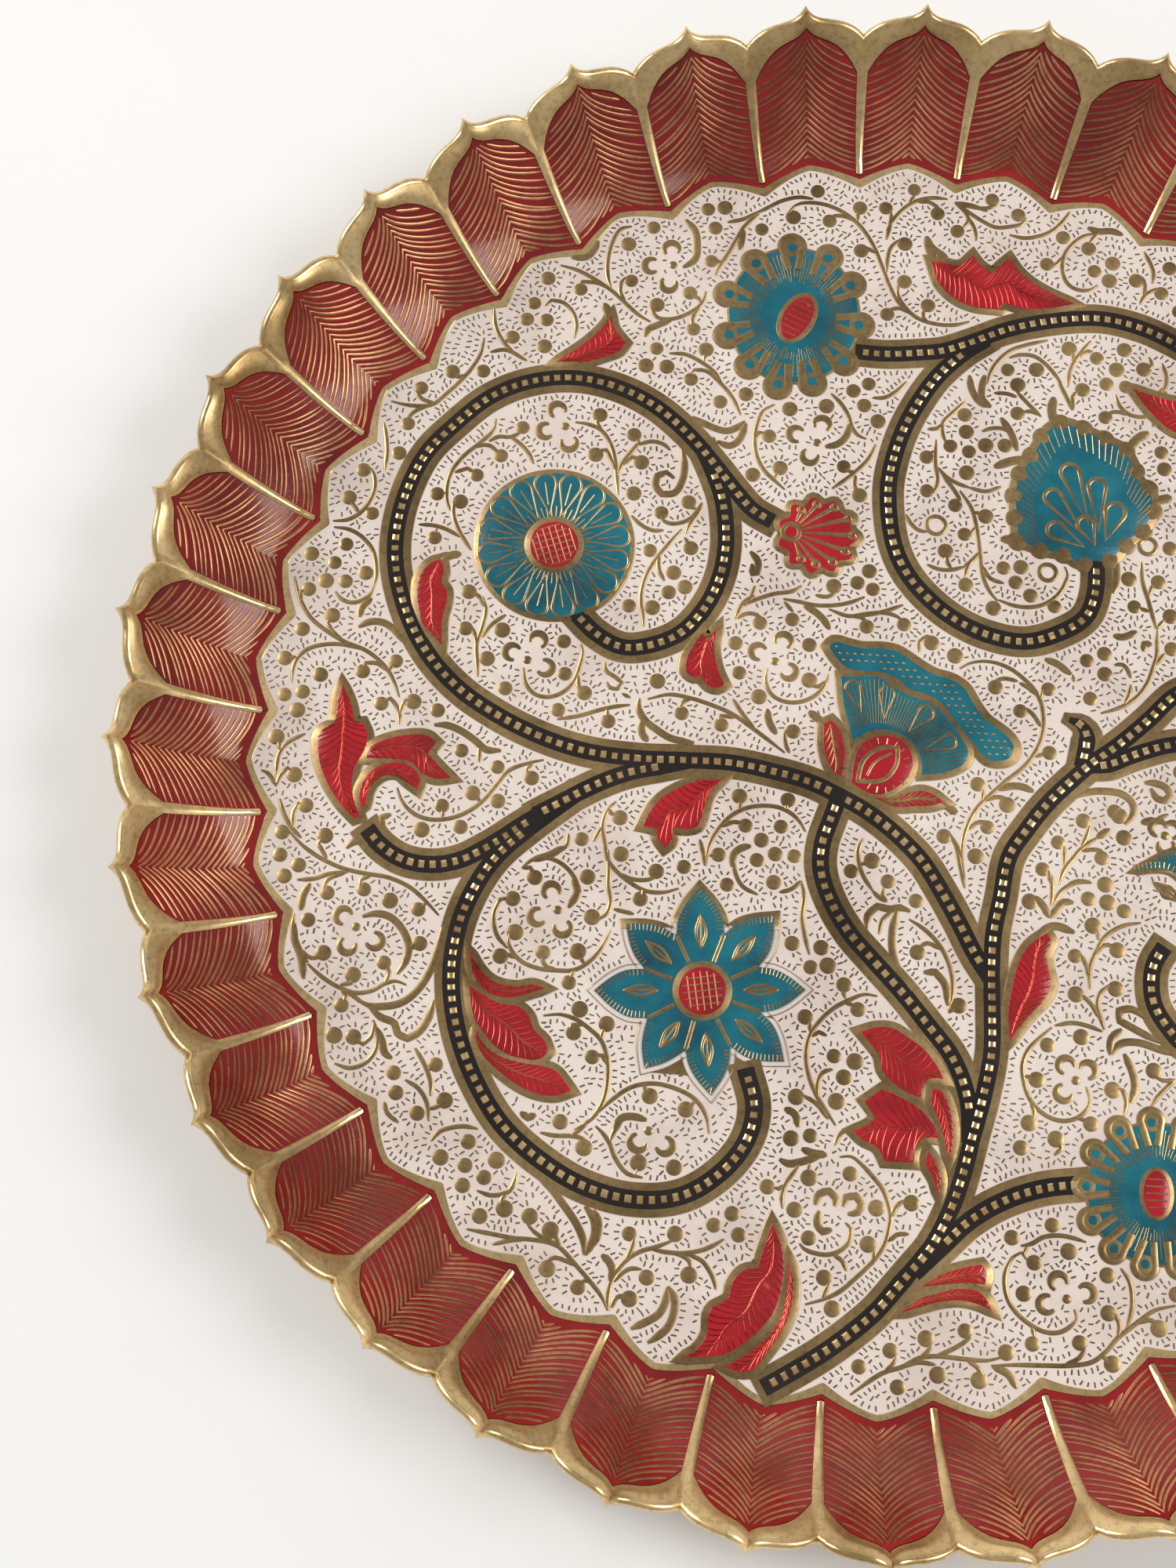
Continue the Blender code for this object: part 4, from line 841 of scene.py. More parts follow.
# Scrollwork of the ground, by part of the floor
SCROLLS = {
    "west": {
        "stems": [
            [(-120.8, 28), (-119.3, 23.4), (-116.8, 19.6), (-113.2, 16.9), (-109.6, 15), (-105.4, 13.5),
             (-102.9, 11.9), (-100.4, 9.4), (-98.9, 6.9), (-97.9, 4.3)],
            [(-119, 22.8), (-119.4, 24.8), (-118, 25.5)],
            [(-109.5, 14.8), (-112.1, 16.9), (-113.4, 18.7), (-112.8, 20)],
            [(-105.4, 13.5), (-110, 14.4), (-113.9, 14.1), (-116.8, 13), (-118.6, 11.2), (-119.3, 9.1),
             (-119.3, 6)],
            [(-118.6, 11.2), (-121, 10.9)],
            [(-100.4, 9.4), (-102.9, 10.9), (-105, 10.9), (-105.8, 9.3)],
            [(-100.6, 9.6), (-99.3, 11.3)],
            [(-97.4, -1.3), (-97.5, 0.5), (-98.4, 2.6), (-99.6, 3.9), (-101.1, 3)],
            [(-97.4, 0.5), (-97.1, 2.6), (-96.4, 3.7), (-95.2, 3.6)],
            [(-112.3, 25.3), (-111.1, 23.9), (-108.9, 23.2), (-106.8, 23.9), (-105.4, 25.1),
             (-104.8, 26.9)],
            [(-81.4, -5.2), (-81.1, -8)],
            [(-120.7, -13.4), (-120.5, -8.8), (-119.3, -6.6), (-115.7, -4.3)],
            [(-120.3, -8), (-120.9, -6)],
            [(-123.6, -12.2), (-122.3, -12.7), (-120.5, -15), (-119.6, -12.6), (-118.5, -11.4),
             (-117.4, -12.3)],
            [(-119.5, -17.7), (-118.6, -20.2), (-116.8, -23.1), (-114.6, -25.2)],
            [(-116.4, -23.4), (-116.6, -20.2), (-115.7, -18.3), (-114.6, -18.6)],
            [(-96.8, -14.1), (-95.7, -16.6), (-93.6, -18.8), (-90.4, -20), (-86.4, -19.7), (-82.9, -18.2),
             (-80, -15.8), (-77.5, -12.4), (-75.4, -9.5), (-71.8, -7.7), (-68.6, -6.8)],
            [(-87.4, -19.7), (-87.7, -18)],
            [(-80.2, -16), (-81.6, -14.8)],
            [(-82.9, 26), (-82.1, 23.4), (-82.6, 19.4), (-83.4, 16.2), (-83, 12), (-82.7, 9.4)],
            [(-85.5, 26.8), (-83.8, 26.2), (-82.4, 24)],
            [(-78, 22.5), (-80.7, 20.3), (-82.4, 17.6)],
            [(-85.6, 19.3), (-84.6, 19.4), (-83.7, 17.6), (-83.3, 15)],
            [(-117.1, -24), (-113.9, -26.9), (-110, -29.2), (-105.7, -30.8), (-101.4, -31.5), (-97.1, -32),
             (-92.9, -33.6), (-89.6, -36.1), (-86.8, -38.8)],
            [(-110.4, -24.8), (-111.2, -26.2), (-109.3, -28.9)],
            [(-114.6, -33.5), (-111.4, -33.1), (-108.6, -32), (-105, -31.4)],
            [(-105.4, -31.5), (-108.9, -33.3), (-109.4, -35.1)],
            [(-100.4, -31.7), (-102.3, -32.7), (-102.4, -34.3)],
            [(-89.4, -36.6), (-90.5, -37.6)],
            [(-111.1, -49.4), (-113.3, -47), (-114.6, -43.5), (-114.6, -40.1)],
            [(-112.9, -46.9), (-110.7, -48.5), (-108.4, -48)],
            [(-96.4, -48.8), (-95.4, -50.4), (-96.1, -52.6)],
            [(-102.3, -51.3), (-102.5, -52.9), (-104.5, -53.3)],
            [(-104.3, -54), (-103.2, -55.4), (-103.8, -56.8)],
            [(-111.1, -49.7), (-107.9, -52.2), (-104.3, -54), (-101.4, -54.7), (-98.2, -54), (-96.1, -52.6),
             (-93.9, -52), (-92, -52.6)],
            [(-104.3, -54), (-101.9, -55.3), (-100, -56.6)],
            [(-97.7, -59.7), (-96.6, -62.6), (-96.8, -65.4), (-98.6, -67.9), (-101.4, -69),
             (-104.3, -68.3)],
            [(-97.5, -60.1), (-97.7, -62.6), (-99.3, -64.4), (-100.8, -63.6)],
            [(-89.3, -64.5), (-87.1, -67.9), (-85.9, -70.8), (-85.7, -73.3)],
            [(-86.6, -68.5), (-85.4, -67.7)],
            [(-90.7, -70.6), (-88.2, -72), (-86.3, -74.7), (-85.7, -78)],
            [(-85.9, -75.8), (-84.2, -75.2), (-83.2, -74.2)],
            [(-91.4, -78.6), (-93.6, -77), (-94.3, -75)],
        ],
        "thick": [
            [(-107.1, 18.2), (-105, 19.4), (-102.2, 19.4), (-99.8, 17.9), (-97.6, 15.4)],
            [(-107.1, 20.3), (-106.8, 22.3), (-105, 24.4)],
            [(-90.5, -1), (-88.2, -0.9), (-85.4, -1.8), (-82.1, -3.8), (-80, -5.4), (-77.1, -5.4)],
            [(-97.6, -19.5), (-99.4, -20.3), (-99, -22.4), (-96.6, -24.6)],
            [(-105.7, -26.7), (-104.3, -25.4), (-101.8, -25.4), (-99.3, -27.2)],
            [(-101.4, -39.9), (-98.9, -39.2), (-96.1, -39.7), (-93.6, -41.9), (-92.1, -45.1),
             (-92.5, -48.3),
             (-93.9, -50.6)],
            [(-92.2, -45.6), (-90.6, -44.6)],
            [(-112.1, -34), (-113.2, -36.5), (-113.4, -39.4)],
            [(-114.4, -42), (-114.1, -45), (-112.6, -48.2), (-111.6, -52.6)],
            [(-100.4, -56.3), (-98.9, -56.9), (-96.1, -57), (-92.5, -56), (-89.6, -53.3), (-87.5, -49.4),
             (-86.4, -45.4), (-85.9, -41.1)],
            [(-98.9, -56.9), (-96.4, -59), (-93.6, -60.1), (-92.9, -61.9), (-90.9, -62.8), (-88.9, -61.5),
             (-87.1, -58.3), (-86.4, -55.1)],
            [(-97.1, -61.1), (-95.7, -63.6), (-95, -65.8), (-93.6, -66.7)],
        ],
        "dots": [(-117.7, 25.5), (-112.5, 20.3), (-118.2, 17.1), (-121.1, 10.9), (-113.8, 7.9),
                 (-120.5, 3.4),
                 (-117, 4.2), (-117.7, 0.4), (-105.5, 9.1), (-99.1, 11.6), (-101.3, 2.7), (-95, 3.5),
                 (-90.1, 2), (-84.8, -5.9), (-121.3, -5.3), (-117.1, -12.7), (-114.3, -18.7),
                 (-118.4, -24.3), (-110, -24.5), (-82, -14.3), (-87.8, -17.2), (-91.4, -22.2),
                 (-83.9, -21.2), (-81.1, 13.2), (-78.5, 19.3), (-85.8, 19.2), (-85.7, 26.9), (-77.1, 7.3),
                 (-77.5, -8.8), (-77, -15.6), (-118.4, -28.8), (-114.6, -30.6), (-117.2, -32.9),
                 (-108.6, -35.7), (-101.6, -34.6), (-96.4, -36.5), (-90.8, -37.9), (-111.8, -41.2),
                 (-108.3, -47.4), (-90, -44.5), (-96.6, -48.6), (-102.3, -51.3), (-104, -57.2),
                 (-104.9, -63), (-101.2, -63.1), (-93, -69.4), (-92.3, -73.1), (-85.2, -67.4),
                 (-83, -74), (-88, -76.7)],
        "florets": [(-102.5, -42, [(-105, -40.1), (-98.8, -44.4), (-103.8, -45.6)])],
    },
    "north_west": {
        "stems": [
            [(-104.5, 66.8), (-102.1, 66.3), (-99.3, 66.1), (-96.1, 66.6), (-93.2, 69.3), (-90.4, 72.5),
             (-88.4, 75.4), (-87.1, 78.2), (-86.5, 82)],
            [(-89.6, 73.6), (-91.4, 73), (-92.3, 73.6)],
            [(-95.6, 66.9), (-98.4, 67.8), (-99.6, 69.2), (-98.8, 70.1)],
            [(-96.4, 66.6), (-99.6, 64.8), (-101, 63)],
            [(-105.7, 62.1), (-105, 59.3), (-104.5, 55.7), (-104.6, 51.8)],
            [(-108.6, 52.6), (-107.3, 51.6), (-106.4, 48.9), (-106.8, 45.7), (-108.6, 42.5), (-111.1, 40.7),
             (-114.1, 40.2)],
            [(-111, 44.6), (-109.9, 43.4), (-109.1, 42.3)],
            [(-107.8, 43.4), (-106.8, 42.7)],
            [(-113.8, 38.9), (-110.7, 38.6), (-107.9, 37.1), (-105.7, 34.6), (-104.8, 31.8), (-104.5, 28.6),
             (-105, 26)],
            [(-96.8, 40.5), (-93.9, 40.5), (-91.1, 39.8), (-88.4, 38.4)],
            [(-93.6, 38.4), (-93, 39.8)],
            [(-90.2, 46.3), (-90, 42.9), (-88.6, 39.6), (-85.9, 35.7)],
            [(-90.1, 45.6), (-89, 45.8)],
            [(-90.7, 43.9), (-91.6, 46.1), (-91.8, 48.9), (-91.1, 52.1), (-88.9, 55.7), (-85.7, 58.9),
             (-83.2, 61.8), (-82.9, 64.3)],
            [(-91.8, 47.6), (-93.3, 47.3)],
            [(-90.4, 52.1), (-87.9, 53.2), (-86.3, 52.2)],
            [(-87.1, 57.9), (-83.9, 58.4), (-82, 57.1)],
            [(-83.9, 59.3), (-82.1, 60.4), (-79.6, 60.5), (-77.6, 61.6)],
            [(-79.6, 60.5), (-77.3, 58.9), (-75.7, 57.1), (-74.6, 55)],
            [(-85, 78.9), (-82.1, 79.6), (-77.5, 77.5)],
            [(-66.6, 64.5), (-64.3, 64.3), (-61.4, 63.2), (-59.3, 60.4), (-58.2, 57.1), (-57.6, 53.4),
             (-57.1, 49.3)],
            [(-61.9, 66), (-62.2, 64.8), (-61.2, 63)],
            [(-61.6, 58.6), (-60, 58.9), (-58.6, 56.4), (-57.9, 54.6)],
            [(-54.3, 62), (-53.4, 60.9), (-55, 58.6), (-56.8, 55.7), (-57.5, 53.4)],
            [(-53.6, 60.4), (-50.7, 61.3), (-48.2, 60.7), (-47, 59.6)],
            [(-53.2, 57.2), (-54.6, 57.7), (-56.4, 55.9)],
            [(-54.1, 45), (-52.1, 43.2), (-49.6, 42.1), (-47.5, 42.3)],
            [(-48.3, 45.2), (-47.4, 44.2), (-45.4, 43.8), (-42.1, 45.2), (-40, 48.6)],
            [(-42.5, 47.6), (-41.2, 47.3)],
            [(-40, 48.6), (-40.7, 46.4), (-42.1, 44.3), (-42.9, 41.8)],
            [(-43.8, 42.7), (-46.4, 39.3), (-48.9, 35.7), (-50.7, 31.8), (-51.3, 26.9), (-50.7, 24.1),
             (-50.5, 21.8)],
            [(-48.2, 37.1), (-48, 33.9), (-46.8, 31.6)],
            [(-43.2, 41), (-42.2, 39.6)],
            [(-43.5, 76.2), (-42.9, 77.5), (-40.7, 77.5), (-37.9, 75.4), (-35, 72.1), (-33, 68.2)],
            [(-48.2, 80.9), (-45, 80.9), (-41.8, 79.5), (-38.9, 77.4), (-37.2, 75)],
            [(-57.5, 109.1), (-59.6, 108.4), (-61.4, 104.9), (-62.1, 100.6), (-61.8, 97), (-61.1, 95)],
            [(-37.5, 111.3), (-34.3, 112.2), (-31, 114.1)],
            [(-31, 113.6), (-33.9, 110.6), (-35.4, 107.7), (-37.1, 104.1), (-38.6, 101.3), (-39.5, 99)],
            [(-38.2, 102.2), (-40.1, 102.2)],
            [(-71.8, 99.3), (-68.2, 98.4), (-64.6, 96.6), (-60.7, 94.1), (-57.9, 91.6), (-55, 89.1),
             (-52.5, 87.7)],
            [(-67.6, 94.6), (-67, 95.9), (-63.6, 95.7), (-61.4, 94.6)],
            [(-58, 97.4), (-58.9, 96.2), (-59.1, 94.1), (-57.9, 91.8)],
            [(-41.3, 95.2), (-42.1, 92.4), (-45, 89.9), (-48.2, 88.6), (-51.1, 88.8), (-52.5, 90.6),
             (-51.6, 91.8)],
            [(-44.2, 94.2), (-42.8, 93.6), (-42.3, 92.8)],
            [(-42.5, 91.6), (-43.9, 88.8), (-43.7, 87)],
            [(-74.3, 89.9), (-73.2, 91.3), (-70.7, 90.9), (-68.6, 88.8), (-67.7, 85.9), (-68, 83.1)],
            [(-85, 88.8), (-84.3, 84.5), (-82.5, 81.3), (-79.6, 78.4)],
            [(-82.3, 81.2), (-81.2, 82.1)],
            [(-40.7, 81.6), (-41, 79.6)],
        ],
        "thick": [
            [(-44.6, 60), (-43.9, 56.8), (-44.3, 52.9), (-45.7, 50.4), (-48.2, 50), (-49.6, 51.8),
             (-49.3, 53.9), (-47.5, 54.8), (-45.9, 53.6)],
            [(-42.9, 67.1), (-39.3, 65.4), (-35.7, 64.5), (-33.6, 65.4), (-32, 66.8)],
            [(-37.5, 62.1), (-35, 61.3), (-33.2, 62.5), (-31.8, 66.4)],
            [(-46.3, 111.3), (-44.3, 109.1), (-43.6, 105.9), (-43.9, 102.4), (-46.3, 100.4)],
            [(-34.3, 109.9), (-34.4, 107.6), (-34.8, 105.2)],
            [(-48.2, 88.4), (-51.1, 87), (-52.9, 85.9), (-53.4, 84.3)],
            [(-64.3, 105.4), (-65, 103.4), (-66.4, 101.6), (-69.6, 101.2)],
        ],
        "dots": [(-92.5, 74.1), (-86.2, 74.6), (-98.6, 70.1), (-100.7, 62.1), (-102, 55.6), (-108.9, 51.5),
                 (-111.3, 45.4), (-106.4, 42.3), (-93.6, 47.3), (-88.8, 45.9), (-85.9, 51.8),
                 (-81.3, 56.3), (-77.3, 62.7), (-93.4, 37.9), (-111, 35.4), (-117.8, 33), (-113, 31.4),
                 (-106.6, 29.6), (-114.4, 27.5), (-110.5, 27.6), (-52.9, 77.9), (-48.6, 77.9),
                 (-43.5, 75.4), (-37.3, 70.8), (-32.1, 72.8), (-61.7, 66.4), (-54.5, 62.5), (-62.1, 57.7),
                 (-52.7, 56.6), (-53.9, 49.8), (-42.7, 48.6), (-48.1, 46), (-41.8, 38.8), (-50, 37.8),
                 (-45, 33.4), (-42.6, 30.5), (-45.8, 29.2), (-41.7, 114), (-38.2, 114.6), (-40, 109.8),
                 (-52.9, 109.1), (-57.9, 105), (-56.9, 96.7), (-40.5, 102.2), (-44.6, 94.7),
                 (-51.3, 91.6), (-43.5, 86.6), (-67.3, 94.1), (-74.2, 96.2), (-76.7, 90.4), (-78, 86.7),
                 (-73.9, 86.8), (-80.7, 82.5), (-74, 80.9), (-50.9, 81.8), (-40.7, 82.2)],
        "florets": [(-68.6, 63.5, [(-70.4, 66.8), (-72.5, 62.3), (-67.7, 60)]),
                    (-48.4, 100.8, [(-48.9, 104.3), (-52.8, 100.4), (-49.1, 96.5)])],
    },
    "middle": {
        "stems": [
            [(-73.8, 11.8), (-73.2, 8.7), (-71.4, 6.6), (-68.9, 6), (-66.1, 6.9), (-63.9, 9.1),
             (-62.7, 12.6),
             (-62.3, 15.9), (-62.7, 17.3)],
            [(-62.9, 10.8), (-62.6, 8.6), (-61.8, 7.4)],
            [(-66.4, 1.6), (-62.1, 2.6), (-57.9, 4.1), (-54.6, 5), (-52.3, 5.4)],
            [(-66.2, 3.2), (-65.5, 1.9)],
            [(-56.4, 2), (-56.8, 4.2)],
            [(-53.9, 7.6), (-52.3, 6.9)],
            [(-48.8, 6.8), (-44.6, 8), (-40.4, 7.5), (-35.7, 6.2), (-32.1, 4.8), (-28.2, 2.3),
             (-24.6, -0.2),
             (-21.4, -2.5)],
            [(-42.4, 5.2), (-41.6, 6.8), (-40.4, 7.3)],
            [(-34.6, 3.4), (-34.3, 4.3), (-31.4, 4.1)],
            [(-71.4, -9.8), (-71.8, -8.9), (-70.7, -7.7)],
            [(-35.9, -26), (-35.4, -22), (-33.6, -18.4), (-31.1, -15.6), (-28.2, -14), (-25, -13.4),
             (-22.1, -13.6), (-19.6, -14.7), (-17.9, -16.3), (-16.8, -18.1)],
            [(-37.3, -20.9), (-36.4, -23.8), (-36, -26)],
            [(-53.9, -14.3), (-55.4, -15.9), (-56.3, -19.5), (-55.7, -22.7), (-54.8, -26.1), (-52.9, -28.3),
             (-50, -30.4), (-47.1, -31.7), (-43.6, -31.7), (-40.9, -30.8)],
            [(-53.6, -17.2), (-54.6, -16.8), (-55.4, -15.9)],
            [(-57.9, -22.5), (-56.4, -19.5)],
            [(-62.9, -21.3), (-62.9, -23.4), (-65, -25.2)],
            [(-57.7, 13.9), (-57.5, 12.3), (-55.4, 10.9), (-54.1, 9.8), (-55, 8.5), (-56.4, 8.7),
             (-57.1, 9.8)],
            [(-25.5, 14.6), (-25.7, 11.9), (-24.6, 9.4), (-22.1, 8), (-18.9, 8), (-15.7, 9.6),
             (-13.9, 11.9),
             (-13.4, 14.1)],
            [(-16.6, 11.6), (-15.2, 11.4), (-13.9, 12.6)],
            [(-31.8, 24.6), (-30, 25.7), (-27.9, 25.5), (-26.8, 24.3)],
            [(-32.3, 24.4), (-30.7, 28), (-28.6, 29.6)],
            [(-22.6, 28.6), (-20.8, 26.6)],
            [(-13.6, 27.6), (-9.6, 26.4), (-6.1, 27.1), (-2.5, 27.5), (0, 26.9), (1.2, 26)],
            [(-8.9, 26.4), (-6.8, 26.1), (-6, 24.8)],
            [(4.5, 19.8), (4.6, 21.9), (6.1, 23.1), (8, 22.5)],
            [(-32, 7.8), (-29.6, 4.4), (-27.5, 2)],
            [(-20.6, 2.6), (-21.5, 1.2), (-21.3, -0.6), (-20.5, -2.5)],
            [(-29.8, -12.6), (-29.6, -14.6)],
            [(-20.4, -12.4), (-20.8, -13.9)],
            [(-33.2, -18.1), (-30.7, -17), (-29, -17.2)],
            [(-35.2, -24), (-33.8, -23.8)],
            [(-5.5, -18.8), (-6.4, -20.9), (-6.3, -23.1), (-5.4, -26), (-3.4, -29)],
            [(-6.1, -24), (-4.3, -23.5)],
            [(14.4, -27.4), (13.2, -22), (12.5, -18.9), (11.4, -17)],
            [(-71.4, -28.6), (-69.6, -26.9), (-67.1, -26.3), (-64.3, -27), (-61.8, -29), (-60.4, -31.5),
             (-60.4, -34), (-62, -35.8)],
            [(-71.4, -28.6), (-69.8, -28.4), (-69, -29.6)],
            [(-72.8, -34.4), (-75.2, -35), (-76.2, -37.9), (-75.4, -41.9), (-73.2, -44.4)],
            [(-72.8, -40.8), (-73, -43.4), (-70.7, -46.5), (-67.1, -47.9), (-63.6, -48.1), (-60, -47.8),
             (-57.1, -45.8), (-55, -42.9), (-53.6, -39.7)],
            [(-73.6, -45.4), (-71.4, -46.2)],
            [(-66.6, -45.6), (-65.6, -47.4), (-63.4, -48)],
            [(-58.2, -46.6), (-59.2, -45.2)],
            [(-60, -47.8), (-60.8, -49.4)],
            [(-55, -24), (-54.6, -27.6), (-54.5, -31.1), (-53.9, -34.4), (-54.6, -36.6), (-56.2, -37.9)],
            [(-52.7, -28.5), (-50, -29.5), (-46.8, -29.4), (-45.2, -28.6)],
            [(-48, -32.6), (-47.9, -31.5)],
            [(-53.2, -35.6), (-49.3, -36.3)],
            [(-65.4, -56.9), (-62.1, -56.5), (-58.9, -57.4), (-56.4, -59), (-54.3, -60.8), (-53, -63.6),
             (-52.5, -66.9), (-52.9, -71.5), (-54.3, -74.7), (-56.4, -76.9), (-58.2, -78)],
            [(-60.4, -59.4), (-59.7, -58.3), (-57.9, -58.3)],
            [(-53.8, -58.6), (-54.2, -60.6)],
            [(-55, -63.8), (-53.8, -63.8), (-52.8, -65.4)],
            [(-54.6, -75.1), (-51.4, -71.9), (-47.9, -69.4), (-43.9, -68.5), (-39.6, -69.2), (-35.7, -71.1),
             (-33.6, -74), (-32.9, -77.2)],
            [(-45, -70.4), (-45.6, -68.8)],
            [(-36.9, -72.4), (-35.8, -71.4)],
        ],
        "thick": [
            [(-50.5, 6.8), (-50.5, 4.8), (-49.3, 2.6), (-47.1, 0.9), (-43.9, -0.9), (-39.3, -1.6)],
            [(-49.8, 2.3), (-49.6, -0.2), (-48.4, -1.8)],
            [(-18.6, 28), (-16.4, 26.9), (-14.6, 25.3), (-13.4, 23.4)],
            [(-25.2, 6.2), (-24.6, 3.4), (-23.2, 1.2)],
            [(-30.7, -26), (-30.5, -23.4), (-28.9, -22), (-27.3, -21.6)],
            [(-63.6, -24), (-66.4, -25.8), (-69.6, -26.9)],
            [(-61.4, -30.2), (-60.4, -32.4), (-62, -35.8)],
            [(-50.7, -77.6), (-49.6, -75.4), (-47.5, -74.9), (-44.8, -75.4)],
            [(-68.6, -75.4), (-67.1, -76.3), (-65.7, -75.6)],
        ],
        "dots": [(-53.6, 25.9), (-48.9, 25.8), (-66.1, 17.7), (-65.5, 11), (-66.4, 3.5), (-61.4, 7.3),
                 (-47.1, 10.6), (-56.4, 1.8), (-42, 4.3), (-34.1, 2.4), (-32, 19.4), (-31, 13.3),
                 (-70.7, -10.6), (-53, -17.5), (-60.2, -22.2), (-52.4, -24.7), (-33.5, -23.7),
                 (-27.3, 23.9), (-20.9, 25), (-17.3, 19.9), (-17.1, 12.6), (-26.9, 8.6), (-19.9, 1.9),
                 (-6, 24.4), (1.4, 25.3), (7, 21.8), (11.7, 19.4), (-29.9, -11.8), (-20.4, -12),
                 (-28.5, -17.6), (-21.6, -17.4), (-25.3, -20.3), (-22.5, -22.9), (-18.8, -23.1),
                 (-26, -24.3), (-3.7, -23.1), (10.2, -17.4), (-7.7, -25.4), (-45.4, -27.7),
                 (-40.1, -26.5), (-58.6, -29.6), (-68.8, -30.3), (-72.8, -34.7), (-57.3, -37.4),
                 (-71.9, -41.2), (-48.2, -33.3), (-66.3, -44.8), (-59.6, -44.2), (-74.4, -46),
                 (-61, -50.3), (-58.6, -55.3), (-53.3, -57.8), (-59.5, -59.8), (-55.7, -64.2),
                 (-44.4, -70.9), (-37.5, -73), (-61, -76.7), (-31.6, -29.5)],
        "florets": [(-73.1, 13.4, [(-71.3, 17.5), (-76.1, 14.8), (-69.6, 12.1)]),
                    (-24, 16.1, [(-22.5, 20.3), (-27.3, 17.8), (-21.3, 14.2)]),
                    (-64, -36.4, [(-65.4, -32.9), (-67.7, -37.9), (-62.9, -39.7)])],
    },
    "north": {
        "stems": [
            [(-14.6, 74), (-12.6, 72), (-11, 69.4), (-10.2, 66.9), (-8.9, 65.2), (-7.2, 64.5)],
            [(-26.2, 70.9), (-28.4, 69.3), (-29.6, 66), (-29.9, 62.3), (-29.3, 59.2), (-27.7, 56.4),
             (-25.4, 54.2), (-23.4, 52.5)],
            [(-29.8, 63.2), (-28.9, 64.6), (-28.2, 64.6)],
            [(-24.9, 56.2), (-25.6, 54.6)],
            [(-5.2, 63.4), (-6.6, 60.2), (-8.9, 57.5), (-11.4, 55.2), (-13.8, 53.3)],
            [(-10.8, 57.2), (-9.4, 57.2)],
            [(-9.1, 56.4), (-9.3, 54.2), (-8.6, 52.8)],
            [(-6.1, 73.6), (-3.7, 73.8), (-1, 75.6), (0.8, 77.6)],
            [(7, 65.2), (6.9, 61.9), (7.1, 59), (7.5, 56.6), (6.9, 54), (5.8, 53.4)],
            [(6.9, 62.8), (5.8, 61.9)],
            [(7.5, 59.2), (9.2, 57.3), (11.5, 56), (14, 55.2)],
            [(8.6, 57.4), (11.1, 54.2), (12.1, 51.9), (11.6, 51)],
            [(12.8, 73.9), (10.4, 71.4), (8.3, 68.8), (8.4, 66.3), (9.2, 64.6)],
            [(5.3, 67.4), (7.4, 67.8), (8.4, 68.8)],
            [(1.2, 48.6), (2.3, 46.8), (4, 45.4), (5.6, 45.2)],
            [(5.8, 38.2), (8, 37.4), (10.7, 37.4), (13.2, 38.2)],
            [(9.6, 40.4), (9.8, 39), (10.6, 37.8)],
            [(-28.6, 31.6), (-29.4, 29), (-30.4, 27.3)],
            [(-31.4, 27.2), (-28, 28.9), (-24.6, 30.2), (-21, 31), (-19.3, 32.2)],
            [(-16.4, 30.4), (-14.1, 30.2), (-12.3, 31.2)],
            [(-22.8, 29.2), (-19.6, 28.8), (-16.6, 28.3), (-12.6, 28.5), (-9.4, 29.3), (-6.6, 30.6)],
            [(1.1, 29.4), (-2.1, 28), (-5.4, 27), (-8.9, 26.6)],
        ],
        "thick": [
            [(-15.5, 62.3), (-13, 63), (-11.2, 65), (-10.7, 67.5)],
            [(-29.8, 38.8), (-28.2, 36.8), (-28.3, 34.4), (-29.2, 34.2), (-29.4, 36.2)],
        ],
        "dots": [(-23, 70.1), (-15.5, 71.2), (-27, 63.9), (-24.5, 57.1), (-30, 55.3), (-11.6, 58.2),
                 (-8.2, 52.2), (-7, 76.6), (-10.1, 74.9), (-7.8, 71.8), (-4.9, 68.5), (10, 64), (5.2, 61.3),
                 (5.4, 54), (11.2, 51.2), (9.4, 41.3), (-12.8, 32.5), (-8.1, 33.5), (-5.8, 36.1),
                 (-5, 32.3),
                 (12.8, 71), (13.2, 67.3), (13.4, 58.4), (13.2, 45.1)],
        "florets": [(-17.2, 63.1, [(-16.3, 67), (-21.4, 64.6), (-18.5, 60.1)])],
        "rings": [(7.4, 46.7, 1.9)],
    },
    "south": {
        "stems": [
            [(-30.6, -24.2), (-30.1, -27), (-28.6, -29.6), (-25.6, -31.1)],
            [(-17.3, -27.9), (-19.1, -29.6), (-21.4, -30.4)],
            [(-17.3, -27.9), (-16.6, -31), (-16.9, -34.6), (-16.2, -38.6), (-15.2, -42.2)],
            [(-3.4, -29), (-2.2, -30.2), (-0.7, -31)],
            [(-1.3, -28.2), (-1.5, -29.8), (-0.6, -30.9)],
            [(0.3, -33), (-1.4, -34.6), (-2, -37.4)],
            [(3.8, -34.2), (6.4, -35.7), (9.2, -38.2), (11.2, -41.4), (12.3, -45.2), (12.3, -48.8),
             (11.6, -51.2)],
            [(5.9, -39.4), (7.4, -38.6), (9.8, -39.6)],
            [(-2, -49.4), (-4.4, -49.2), (-7.2, -50.4), (-10.2, -52.2), (-12.8, -54.8), (-14.6, -57.6),
             (-15.2, -61), (-14.6, -65), (-13, -68.8), (-10.9, -71.8), (-9.2, -74.3)],
            [(-8.8, -48.4), (-8, -50.2)],
            [(-6.4, -51.4), (-8.4, -50.9)],
            [(-14.8, -55), (-14.4, -57.2)],
            [(-14.2, -57.8), (-12.9, -56.9), (-11.4, -57.5)],
            [(-10.1, -63.8), (-12, -64.6), (-12.9, -67), (-12.6, -69.6)],
            [(-15.6, -69), (-13, -70.4), (-10.6, -73.2)],
            [(-9.3, -78), (-8.2, -75.8), (-5.6, -74)],
        ],
        "thick": [
